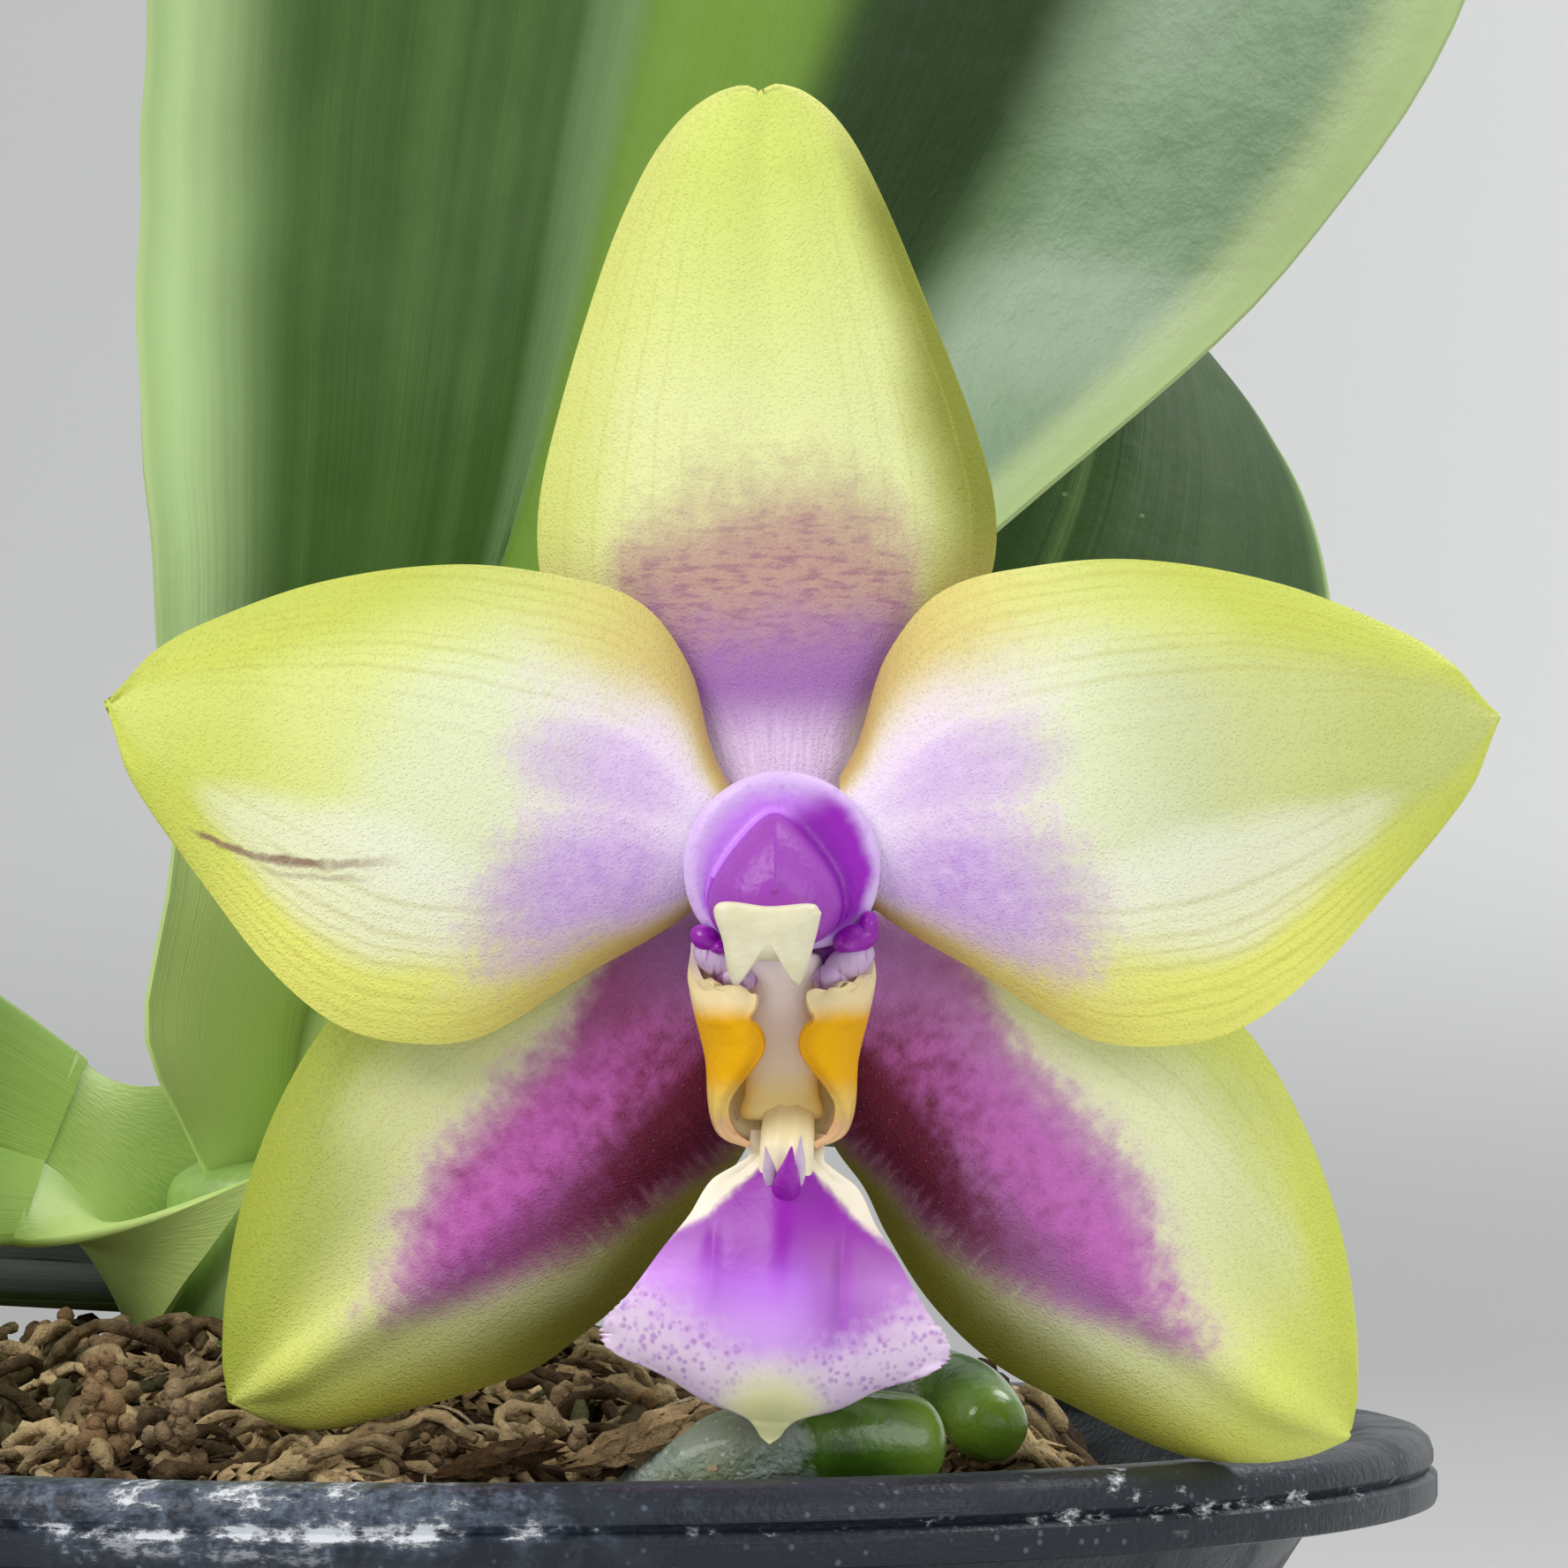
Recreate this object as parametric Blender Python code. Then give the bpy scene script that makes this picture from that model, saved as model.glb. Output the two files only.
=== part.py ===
"""A potted moth orchid with one open flower, at its real size: metres, +Z up.

The origin is the centre of the pot's underside, and the flower looks along -Y.
Each petal, sepal, leaf and root is its own solid. The flower's pieces are
modelled flat on their own axes and hang from the flower's empty.
"""

import bisect
import math
import random

import bmesh
import bpy
from mathutils import Matrix, Vector, noise

# What touches keeps this much clear
GAP = 0.0003

# Pot
POT_HEIGHT = 0.0850
RIM_RADIUS = 0.0500
RIM_DROP = 0.0039
RIM_GROOVE_DROP = 0.0021
RIM_GROOVE_DEPTH = 0.0005
RIM_INNER_RADIUS = 0.0450
NECK_RADIUS = 0.0412
NECK_DROP = 0.0085
FOOT_RADIUS = 0.0340
POT_WALL = 0.0013
FLOOR_THICKNESS = 0.0022
FLOOR_RECESS = 0.0008
FLOOR_BOSS_RADIUS = 0.0090
DRAIN_HOLES = 6
DRAIN_HOLE_RADIUS = 0.0040
DRAIN_CIRCLE_RADIUS = 0.0195
POT_SIDES = 44

# Moss
MOSS_LEVEL = 0.0832
MOSS_MOUND = 0.0058
MOSS_MOUND_CENTRE = (-0.0120, 0.0020)
MOSS_MOUND_SPREAD = 0.0200
MOSS_DIP = 0.0060
MOSS_DIP_FROM = 0.0270
MOSS_DIP_TO = 0.0360
MOSS_LUMP = 0.0011
MOSS_LUMP_SIZE = 0.0050
MOSS_RINGS = 11
MOSS_SIDES = 40
MOSS_EDGE_ROUND = 0.0020
SPRIG_COUNT = 36
SPRIG_LENGTH = (0.0055, 0.0105)
SPRIG_RADIUS = (0.0007, 0.0012)
SPRIG_CLEARANCE = 0.0025
SPRIG_REACH = 0.0385
SPRIG_SEED = 11

# Stem
STEM_CENTRE = (-0.0110, 0.0060)
STEM_RINGS = (
    # height, half-width along X, half-width along Y
    (0.0760, 0.0040, 0.0036),
    (0.0800, 0.0066, 0.0052),
    (0.0860, 0.0071, 0.0057),
    (0.0930, 0.0068, 0.0055),
    (0.0985, 0.0071, 0.0057),
    (0.1018, 0.0079, 0.0063),
    (0.1034, 0.0081, 0.0065),
    (0.1038, 0.0077, 0.0061),
    (0.1028, 0.0069, 0.0054),
    (0.0995, 0.0060, 0.0046),
)
STEM_SIDES = 20
COLLAR_DROP = 0.0056
COLLAR_DROP_FROM = 0.0955
COLLAR_DROP_SIDE = math.radians(-62)

# Leaves
LEAF_MIDDLE_THICKNESS = 0.0022
LEAF_MARGIN_SHARE = 0.55
LEAF_CELLS_ALONG = 16
LEAF_CELLS_ACROSS = 10

# Flower
FLOWER_CENTRE = (0.0154, -0.0380, 0.1130)
FLOWER_NOD = math.radians(3.0)
TEPAL_THICKNESS = 0.0011
TEPAL_MARGIN_SHARE = 0.6
TEPAL_CELLS_ALONG = 14
TEPAL_CELLS_ACROSS = 8
LIP_THICKNESS = 0.0009

# Roots
ROOT_SIDES_RESOLUTION = 3

# Colours of the finishes
BLACK_PLASTIC = (0.020, 0.021, 0.024)
DRY_MOSS = (0.46, 0.34, 0.20)
PALE_GREEN = (0.36, 0.52, 0.16)
LEAF_GREEN = (0.07, 0.20, 0.04)
SPIKE_GREEN = (0.22, 0.34, 0.10)
CHARTREUSE = (0.74, 0.76, 0.22)
ORCHID_PURPLE = (0.48, 0.10, 0.62)
CREAM = (0.90, 0.85, 0.62)
ROSE_CREAM = (0.82, 0.70, 0.66)
LIP_YELLOW = (0.88, 0.60, 0.10)
LIP_LILAC = (0.62, 0.30, 0.78)
ROOT_SILVER = (0.36, 0.40, 0.34)
PEDICEL_GREEN = (0.62, 0.66, 0.42)


def clear_scene():
    for old in list(bpy.data.objects):
        bpy.data.objects.remove(old)


def finish_of(name, colour, roughness):
    material = bpy.data.materials.new(name)
    material.use_nodes = True
    shader = material.node_tree.nodes["Principled BSDF"]
    shader.inputs["Base Color"].default_value = (*colour, 1)
    shader.inputs["Roughness"].default_value = roughness
    shader.inputs["Metallic"].default_value = 0
    return material


def add_solid(name, data, finish, parent=None, location=(0, 0, 0), turn=0.0):
    solid = bpy.data.objects.new(name, data)
    bpy.context.scene.collection.objects.link(solid)
    data.materials.append(finish)
    solid.parent = parent
    solid.location = location
    solid.rotation_euler = (0, 0, turn)
    return solid


def mesh_from(shape, name, smooth_angle=math.radians(40)):
    mesh = bpy.data.meshes.new(name)
    shape.to_mesh(mesh)
    shape.free()
    mesh.shade_smooth()
    mesh.set_sharp_from_angle(angle=smooth_angle)
    return mesh


def mix(a, b, share):
    return a + (b - a) * share


def ease(low, high, value):
    share = min(1.0, max(0.0, (value - low) / (high - low)))
    return share * share * (3 - 2 * share)


def through(stations, t):
    """The value at t of a smooth curve through (t, value) stations; values are numbers or vectors."""
    times = [station[0] for station in stations]
    values = [station[1] for station in stations]
    last = len(times) - 1
    i = max(0, min(last - 1, bisect.bisect_right(times, t) - 1))

    def slope(k):
        a, b = max(0, k - 1), min(last, k + 1)
        return (values[b] - values[a]) / (times[b] - times[a])

    span = times[i + 1] - times[i]
    x = (t - times[i]) / span
    start = values[i] * (2 * x**3 - 3 * x**2 + 1)
    end = values[i + 1] * (3 * x**2 - 2 * x**3)
    leave = slope(i) * (x**3 - 2 * x**2 + x) * span
    arrive = slope(i + 1) * (x**3 - x**2) * span
    return start + end + leave + arrive


def spaced(points):
    """The points as (t, vector) stations, with t running 0 to 1 by the distance between them."""
    vectors = [Vector(p) for p in points]
    reach = [0.0]
    for a, b in zip(vectors, vectors[1:]):
        reach.append(reach[-1] + (b - a).length)
    return [(d / reach[-1], v) for d, v in zip(reach, vectors)]


def blade_mesh(name, point, along, across, margin_share, tip_crowding=1.5):
    """A sheet shaped by point(t, s), with t 0 to 1 from base to tip and s -1 to 1 from side to side.

    It is in triangles before it is thickened, so that both of its faces split alike.
    """
    shape = bmesh.new()
    bmesh.ops.create_grid(shape, x_segments=along, y_segments=across, size=1)
    fullness = shape.verts.layers.deform.verify()
    for vertex in shape.verts:
        t = 1 - (1 - (vertex.co.x + 1) / 2) ** tip_crowding
        s = vertex.co.y
        vertex[fullness][0] = mix(1.0, margin_share, abs(s) ** 3)
        vertex.co = point(t, s)
    bmesh.ops.remove_doubles(shape, verts=shape.verts[:], dist=0.00004)
    bmesh.ops.triangulate(shape, faces=shape.faces[:], quad_method="ALTERNATE")
    return mesh_from(shape, name, math.radians(60))


def thicken(solid, thickness):
    solid.vertex_groups.new(name="fullness")
    wall = solid.modifiers.new("thickness", "SOLIDIFY")
    wall.thickness = thickness
    wall.offset = 0
    wall.vertex_group = "fullness"
    wall.use_even_offset = False
    return solid


def loft_mesh(name, loops, smooth_angle=math.radians(50)):
    """A closed skin over loops of points, each loop with as many points as the next."""
    shape = bmesh.new()
    rows = [[shape.verts.new(p) for p in loop] for loop in loops]
    count = len(rows[0])
    for low, high in zip(rows, rows[1:]):
        for i in range(count):
            j = (i + 1) % count
            shape.faces.new((low[i], low[j], high[j], high[i]))
    shape.faces.new(rows[0][::-1])
    shape.faces.new(rows[-1])
    bmesh.ops.recalc_face_normals(shape, faces=shape.faces[:])
    return mesh_from(shape, name, smooth_angle)


def turned_mesh(name, profile, sides):
    """A profile of (radius, height) points, from axis to axis, spun round Z."""
    shape = bmesh.new()
    verts = [shape.verts.new((r, 0, z)) for r, z in profile]
    edges = [shape.edges.new(pair) for pair in zip(verts, verts[1:])]
    bmesh.ops.spin(
        shape,
        geom=verts + edges,
        axis=(0, 0, 1),
        cent=(0, 0, 0),
        steps=sides,
        angle=2 * math.pi,
        use_merge=True,
    )
    bmesh.ops.remove_doubles(shape, verts=shape.verts[:], dist=0.00001)
    bmesh.ops.recalc_face_normals(shape, faces=shape.faces[:])
    return mesh_from(shape, name)


def tube_curve(name, points, radius_at, steps, resolution, tip_crowding=1.0):
    """A round stalk or root along a smooth line through the points, with its radius read along it."""
    line = spaced(points)
    curve = bpy.data.curves.new(name, "CURVE")
    curve.dimensions = "3D"
    curve.bevel_depth = 1.0
    curve.bevel_resolution = resolution
    curve.use_fill_caps = True
    spline = curve.splines.new("POLY")
    spline.points.add(steps)
    for i, spot in enumerate(spline.points):
        t = 1 - (1 - i / steps) ** tip_crowding
        spot.co = (*through(line, t), 1)
        spot.radius = radius_at(t)
    return curve


def mesh_of_curve(curve, name):
    """The curve's skin as a plain closed mesh."""
    holder = bpy.data.objects.new(name, curve)
    bpy.context.scene.collection.objects.link(holder)
    graph = bpy.context.evaluated_depsgraph_get()
    mesh = bpy.data.meshes.new_from_object(holder.evaluated_get(graph))
    bpy.data.objects.remove(holder)
    shape = bmesh.new()
    shape.from_mesh(mesh)
    bmesh.ops.remove_doubles(shape, verts=shape.verts[:], dist=0.000002)
    bmesh.ops.recalc_face_normals(shape, faces=shape.faces[:])
    return mesh_from(shape, name)


def evaluated_mesh(solid):
    graph = bpy.context.evaluated_depsgraph_get()
    return bpy.data.meshes.new_from_object(solid.evaluated_get(graph))


def boolean(solid, tools, operation, solver="EXACT"):
    """Cuts the tool solids out of solid, or joins them to it, and then removes them."""
    group = bpy.data.collections.new(solid.name + "_tools")
    bpy.context.scene.collection.children.link(group)
    for tool in tools:
        for user in list(tool.users_collection):
            user.objects.unlink(tool)
        group.objects.link(tool)
    step = solid.modifiers.new(operation.lower(), "BOOLEAN")
    step.operation = operation
    step.operand_type = "COLLECTION"
    step.collection = group
    step.solver = solver
    made = evaluated_mesh(solid)
    solid.modifiers.clear()
    solid.data = made
    for tool in tools:
        bpy.data.objects.remove(tool)
    bpy.data.collections.remove(group)
    return solid


def loose_object(name, mesh):
    tool = bpy.data.objects.new(name, mesh)
    bpy.context.scene.collection.objects.link(tool)
    return tool


def pot_profile():
    """Underside, side, flared neck, grooved and skirted rim, and the inside, from axis to axis."""
    top, neck = POT_HEIGHT, POT_HEIGHT - NECK_DROP
    skirt = top - RIM_DROP
    groove = top - RIM_GROOVE_DROP
    inner_floor = FOOT_RADIUS - POT_WALL - 0.0010
    underside = [
        (0.0, 0.0),
        (FLOOR_BOSS_RADIUS, 0.0),
        (FLOOR_BOSS_RADIUS + FLOOR_RECESS, FLOOR_RECESS),
        (FOOT_RADIUS - 0.0055, FLOOR_RECESS),
        (FOOT_RADIUS - 0.0047, 0.0),
        (FOOT_RADIUS - 0.0012, 0.0),
        (FOOT_RADIUS, 0.0012),
    ]
    side = [
        (NECK_RADIUS, neck),
        (NECK_RADIUS + 0.0012, neck + 0.0019),
        (NECK_RADIUS + 0.0029, neck + 0.0045),
        (NECK_RADIUS + 0.0049, top - POT_WALL),
    ]
    skirt_inside = [
        (RIM_RADIUS - POT_WALL - 0.0002, top - POT_WALL),
        (RIM_RADIUS - POT_WALL, skirt),
    ]
    rim = [
        (RIM_RADIUS - 0.0002, skirt),
        (RIM_RADIUS, skirt + 0.0003),
        (RIM_RADIUS, groove - 0.0003),
        (RIM_RADIUS - RIM_GROOVE_DEPTH, groove),
        (RIM_RADIUS - 0.0002, groove + 0.0004),
        (RIM_RADIUS - 0.0003, top - 0.0009),
        (RIM_RADIUS - 0.0008, top - 0.0003),
        (RIM_RADIUS - 0.0017, top),
        (RIM_INNER_RADIUS + 0.0011, top),
        (RIM_INNER_RADIUS + 0.0003, top - 0.0004),
        (RIM_INNER_RADIUS, top - 0.0012),
    ]
    inside = [
        (NECK_RADIUS + 0.0020, neck + 0.0053),
        (NECK_RADIUS - POT_WALL, neck + 0.0004),
        (inner_floor + 0.0010, FLOOR_THICKNESS + 0.0010),
        (inner_floor, FLOOR_THICKNESS),
        (0.0, FLOOR_THICKNESS),
    ]
    return underside + side + skirt_inside + rim + inside


def make_pot():
    pot = add_solid(
        "pot",
        turned_mesh("pot", pot_profile(), POT_SIDES),
        finish_of("black_plastic", BLACK_PLASTIC, 0.45),
    )
    cutters = []
    for i in range(DRAIN_HOLES):
        angle = 2 * math.pi * (i + 0.5) / DRAIN_HOLES
        shape = bmesh.new()
        bmesh.ops.create_cone(
            shape,
            cap_ends=True,
            segments=16,
            radius1=DRAIN_HOLE_RADIUS,
            radius2=DRAIN_HOLE_RADIUS,
            depth=4 * FLOOR_THICKNESS,
        )
        place = (
            DRAIN_CIRCLE_RADIUS * math.cos(angle),
            DRAIN_CIRCLE_RADIUS * math.sin(angle),
            FLOOR_THICKNESS / 2,
        )
        bmesh.ops.translate(shape, verts=shape.verts[:], vec=place)
        cutters.append(loose_object("drain", mesh_from(shape, "drain")))
    boolean(pot, cutters, "DIFFERENCE")
    return pot


def moss_height(x, y):
    """The moss bed's surface: a mound round the stem that falls away to the pot's right-hand side."""
    away = math.hypot(x - MOSS_MOUND_CENTRE[0], y - MOSS_MOUND_CENTRE[1])
    mound = MOSS_MOUND * math.exp(-((away / MOSS_MOUND_SPREAD) ** 2) / 2)
    dip = MOSS_DIP * ease(MOSS_DIP_FROM, MOSS_DIP_TO, x)
    spot = Vector((x, y, 0)) / MOSS_LUMP_SIZE
    lumps = MOSS_LUMP * (noise.noise(spot) + 0.5 * noise.noise(spot * 2.1))
    return MOSS_LEVEL + mound - dip + lumps


def pot_inside_radius(height):
    """The inside radius of the pot at a height, over its floor's rounded corner."""
    neck = POT_HEIGHT - NECK_DROP + 0.0004
    if height > neck:
        return NECK_RADIUS - POT_WALL + 0.0033 * min(1.0, (height - neck) / 0.0049)
    return mix(FOOT_RADIUS - POT_WALL, NECK_RADIUS - POT_WALL, (height - 0.0032) / (neck - 0.0032))


def moss_mesh():
    """Rings of points over the bed, down its side and across its foot."""
    foot = FLOOR_THICKNESS + GAP

    def ring(radius, height_at):
        loop = []
        for i in range(MOSS_SIDES):
            angle = 2 * math.pi * i / MOSS_SIDES
            x, y = math.cos(angle), math.sin(angle)
            height = height_at(x * radius, y * radius)
            reach = min(radius, pot_inside_radius(height) - 3 * GAP)
            loop.append((x * reach, y * reach, height))
        return loop

    top_radius = NECK_RADIUS - POT_WALL + 0.0018
    loops = [ring(FOOT_RADIUS - POT_WALL - 0.0020, lambda x, y: foot)]
    loops.append(ring(top_radius, lambda x, y: foot + 0.0020))
    loops.append(ring(top_radius, lambda x, y: MOSS_LEVEL - MOSS_DIP - 0.0050))
    loops.append(ring(top_radius, lambda x, y: min(0.0766, moss_height(x, y) - 0.0035)))
    loops.append(ring(top_radius, lambda x, y: moss_height(x, y) - MOSS_EDGE_ROUND))
    for k in range(MOSS_RINGS):
        radius = (top_radius - 0.0012) * (1 - k / MOSS_RINGS) + 0.0004
        loops.append(ring(radius, moss_height))
    return loft_mesh("moss", loops)


def sprig_spots(keep_clear):
    """Random spots on the bed for the sprigs, clear of the roots, the stem and the flower."""
    draw = random.Random(SPRIG_SEED)
    spots = []
    while len(spots) < SPRIG_COUNT:
        angle, reach = draw.uniform(0, 2 * math.pi), draw.random() ** 0.5
        x, y = SPRIG_REACH * reach * math.cos(angle), SPRIG_REACH * reach * math.sin(angle)
        if x > MOSS_DIP_FROM:
            continue
        base = Vector((x, y, moss_height(x, y)))
        length = draw.uniform(*SPRIG_LENGTH)
        heading = draw.uniform(0, 2 * math.pi)
        rise = draw.uniform(0.05, 0.32)
        radius = draw.uniform(*SPRIG_RADIUS)
        lean = Vector((math.cos(heading), math.sin(heading), rise)) * length
        middle, end = base + lean * 0.5, base + lean
        end.z -= 0.0012
        reaches = (base, middle, end)
        if max(math.hypot(p.x, p.y) for p in reaches) > SPRIG_REACH + 0.002:
            continue
        clear = all(
            (p - q).length > r + radius + SPRIG_CLEARANCE for p in reaches for q, r in keep_clear
        )
        if clear:
            root = base - Vector((lean.x, lean.y, 0)) * 0.15
            root.z = base.z - 0.0016
            spots.append((root, middle, end, radius))
    return spots


def sprig_mesh(root, middle, end, radius):
    """One strand of moss, thick at its head and sunk in the bed at its foot."""

    def radius_at(t):
        return radius * through(((0, 0.8), (0.45, 0.9), (0.8, 1.25), (0.95, 0.9), (1, 0.35)), t)

    curve = tube_curve("sprig", (root, middle, end), radius_at, 5, 1)
    return mesh_of_curve(curve, "sprig")


def make_moss(buried, keep_clear):
    """The bed, its sprigs, and plain holes for what stands or lies in it."""
    moss = add_solid("moss", moss_mesh(), finish_of("dry_moss", DRY_MOSS, 0.95))
    sprigs = [
        loose_object("sprig", sprig_mesh(*spot)) for spot in sprig_spots(keep_clear)
    ]
    boolean(moss, sprigs, "UNION", "MANIFOLD")
    boolean(moss, buried, "DIFFERENCE", "MANIFOLD")
    return moss


def stem_loops(grow=0.0):
    """Rings up the stem, whose open collar slopes down at the front, where a leaf comes out of it."""
    loops = []
    for height, half_x, half_y in STEM_RINGS:
        loop = []
        foot = grow if height == STEM_RINGS[0][0] else 0
        for i in range(STEM_SIDES):
            angle = 2 * math.pi * i / STEM_SIDES
            x = STEM_CENTRE[0] + (half_x + grow) * math.cos(angle)
            y = STEM_CENTRE[1] + (half_y + grow) * math.sin(angle)
            slope = COLLAR_DROP * (0.5 + 0.5 * math.cos(angle - COLLAR_DROP_SIDE))
            drop = slope * ease(COLLAR_DROP_FROM, 0.1030, height)
            loop.append((x, y, height - foot - drop))
        loops.append(loop)
    return loops


def make_stem():
    return add_solid(
        "stem", loft_mesh("stem", stem_loops()), finish_of("stem_green", PALE_GREEN, 0.45)
    )


# A leaf half's width along the leaf, as a share of its widest
LEAF_OUTLINE = (
    (0.00, 0.15),
    (0.06, 0.25),
    (0.16, 0.42),
    (0.32, 0.78),
    (0.50, 1.00),
    (0.70, 0.95),
    (0.84, 0.75),
    (0.93, 0.50),
    (0.98, 0.25),
    (1.00, 0.00),
)
UPRIGHT_LEFT_OUTLINE = (
    (0.00, 0.15),
    (0.02, 0.20),
    (0.05, 0.24),
    (0.08, 0.31),
    (0.11, 0.38),
    (0.15, 0.44),
    (0.20, 0.515),
    (0.26, 0.655),
    (0.32, 0.78),
    (0.50, 1.00),
    (0.70, 0.95),
    (0.84, 0.75),
    (0.93, 0.50),
    (0.98, 0.25),
    (1.00, 0.00),
)
UPRIGHT_RIGHT_OUTLINE = (
    (0.00, 0.15),
    (0.06, 0.25),
    (0.16, 0.41),
    (0.22, 0.54),
    (0.29, 0.735),
    (0.36, 0.895),
    (0.50, 1.05),
    (0.70, 0.98),
    (0.84, 0.76),
    (0.93, 0.50),
    (0.98, 0.25),
    (1.00, 0.00),
)
BACK_RIGHT_OUTLINE = (
    (0.00, 0.15),
    (0.04, 0.42),
    (0.09, 0.78),
    (0.16, 1.00),
    (0.32, 1.03),
    (0.50, 1.00),
    (0.70, 0.95),
    (0.84, 0.75),
    (0.93, 0.50),
    (0.98, 0.25),
    (1.00, 0.00),
)
LEFT_LEAF_OUTLINE = (
    (0.00, 0.15),
    (0.04, 0.26),
    (0.08, 0.36),
    (0.16, 0.47),
    (0.32, 0.78),
    (0.50, 1.00),
    (0.70, 0.95),
    (0.84, 0.75),
    (0.93, 0.50),
    (0.98, 0.25),
    (1.00, 0.00),
)
# Each leaf: its midrib's points, the way its upper face looks at the base and at
# the tip, its half-widths and their outlines, how far each half turns back at the
# base, in the blade's first third and at the tip, and how much more it bends at
# its margin.
LEAVES = {
    "leaf_upright": {
        "midrib": (
            (-0.0113, 0.0092, 0.1016),
            (-0.0105, 0.0082, 0.1060),
            (-0.0080, 0.0058, 0.1120),
            (0.0000, 0.0035, 0.1300),
            (0.0066, 0.0060, 0.1590),
            (0.0125, 0.0140, 0.1900),
            (0.0195, 0.0290, 0.2180),
            (0.0270, 0.0500, 0.2400),
            (0.0335, 0.0720, 0.2510),
        ),
        "facing": ((-0.10, -1.0, 0.0), (-0.45, -0.40, 1.0)),
        "half_widths": (0.0430, 0.0535),
        "outlines": (UPRIGHT_LEFT_OUTLINE, UPRIGHT_RIGHT_OUTLINE),
        "fold": ((-1.05, 0.18, -0.20), (-1.05, 0.05, 0.00)),
        "bend": (0.20, -0.25),
    },
    "leaf_back": {
        "midrib": (
            (-0.0044, 0.0104, 0.0902),
            (0.0055, 0.0190, 0.0990),
            (0.0165, 0.0310, 0.1110),
            (0.0270, 0.0420, 0.1250),
            (0.0337, 0.0520, 0.1390),
            (0.0362, 0.0610, 0.1505),
            (0.0362, 0.0700, 0.1580),
        ),
        "facing": ((-0.5, -0.55, 0.8), (0.2, -1.0, 0.6)),
        "half_widths": (0.0200, 0.0212),
        "outlines": (LEAF_OUTLINE, BACK_RIGHT_OUTLINE),
        "fold": ((-0.95, 0.25, 0.25), (-0.95, 0.25, 0.25)),
        "bend": (0.20, 0.20),
    },
    "leaf_left": {
        "midrib": (
            (-0.0209, 0.0040, 0.0958),
            (-0.0260, 0.0030, 0.0985),
            (-0.0420, 0.0000, 0.1015),
            (-0.0680, -0.0035, 0.1030),
            (-0.0960, -0.0055, 0.1000),
            (-0.1210, -0.0065, 0.0930),
            (-0.1400, -0.0070, 0.0850),
        ),
        "facing": ((0.25, -0.10, 1.0), (-0.3, 0.0, 1.0)),
        "half_widths": (0.0300, 0.0300),
        "outlines": (LEFT_LEAF_OUTLINE, LEFT_LEAF_OUTLINE),
        "fold": ((0.40, 0.22, 0.20), (-1.00, -0.42, -0.20)),
        "bend": (0.12, 0.15),
    },
    "leaf_low": {
        "midrib": (
            (-0.0170, 0.0098, 0.0915),
            (-0.0290, 0.0150, 0.0922),
            (-0.0460, 0.0225, 0.0924),
            (-0.0700, 0.0320, 0.0902),
            (-0.0930, 0.0430, 0.0834),
            (-0.1110, 0.0515, 0.0742),
        ),
        "facing": ((0.15, 0.0, 1.0), (-0.4, 0.15, 1.0)),
        "half_widths": (0.0260, 0.0260),
        "outlines": (LEAF_OUTLINE, LEAF_OUTLINE),
        "fold": ((0.15, 0.05, -0.02), (-0.75, -0.02, -0.02)),
        "bend": (0.18, 0.18),
    },
}
LEAF_CLASP_ENDS = 0.30


def leaf_point(leaf, t, s):
    """A point of the leaf's middle sheet: s is -1 at its left margin and 1 at its right one."""
    line = spaced(leaf["midrib"])
    step = 0.01
    ahead, behind = min(1.0, t + step), max(0.0, t - step)
    along = (through(line, ahead) - through(line, behind)).normalized()
    base_face, tip_face = (Vector(v) for v in leaf["facing"])
    face = base_face.normalized().lerp(tip_face.normalized(), t)
    right = along.cross(face).normalized()
    up = right.cross(along)
    side = 1 if s > 0 else 0
    outward = right if s > 0 else -right
    half = leaf["half_widths"][side] * max(0.0, through(leaf["outlines"][side], t))
    base_fold, blade_fold, tip_fold = leaf["fold"][side]
    fold = mix(base_fold, blade_fold, ease(0.0, LEAF_CLASP_ENDS, t))
    fold = mix(fold, tip_fold, ease(LEAF_CLASP_ENDS, 0.8, t))
    angle = fold + leaf["bend"][side] * abs(s) * ease(0.1, 0.5, t)
    reach = abs(s) * half
    return through(line, t) + outward * reach * math.cos(angle) - up * reach * math.sin(angle)


def make_leaves():
    finish = finish_of("leaf_green", LEAF_GREEN, 0.35)
    for name, leaf in LEAVES.items():
        mesh = blade_mesh(
            name,
            lambda t, s, leaf=leaf: leaf_point(leaf, t, s),
            LEAF_CELLS_ALONG,
            LEAF_CELLS_ACROSS,
            LEAF_MARGIN_SHARE,
        )
        thicken(add_solid(name, mesh, finish), LEAF_MIDDLE_THICKNESS)


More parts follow.
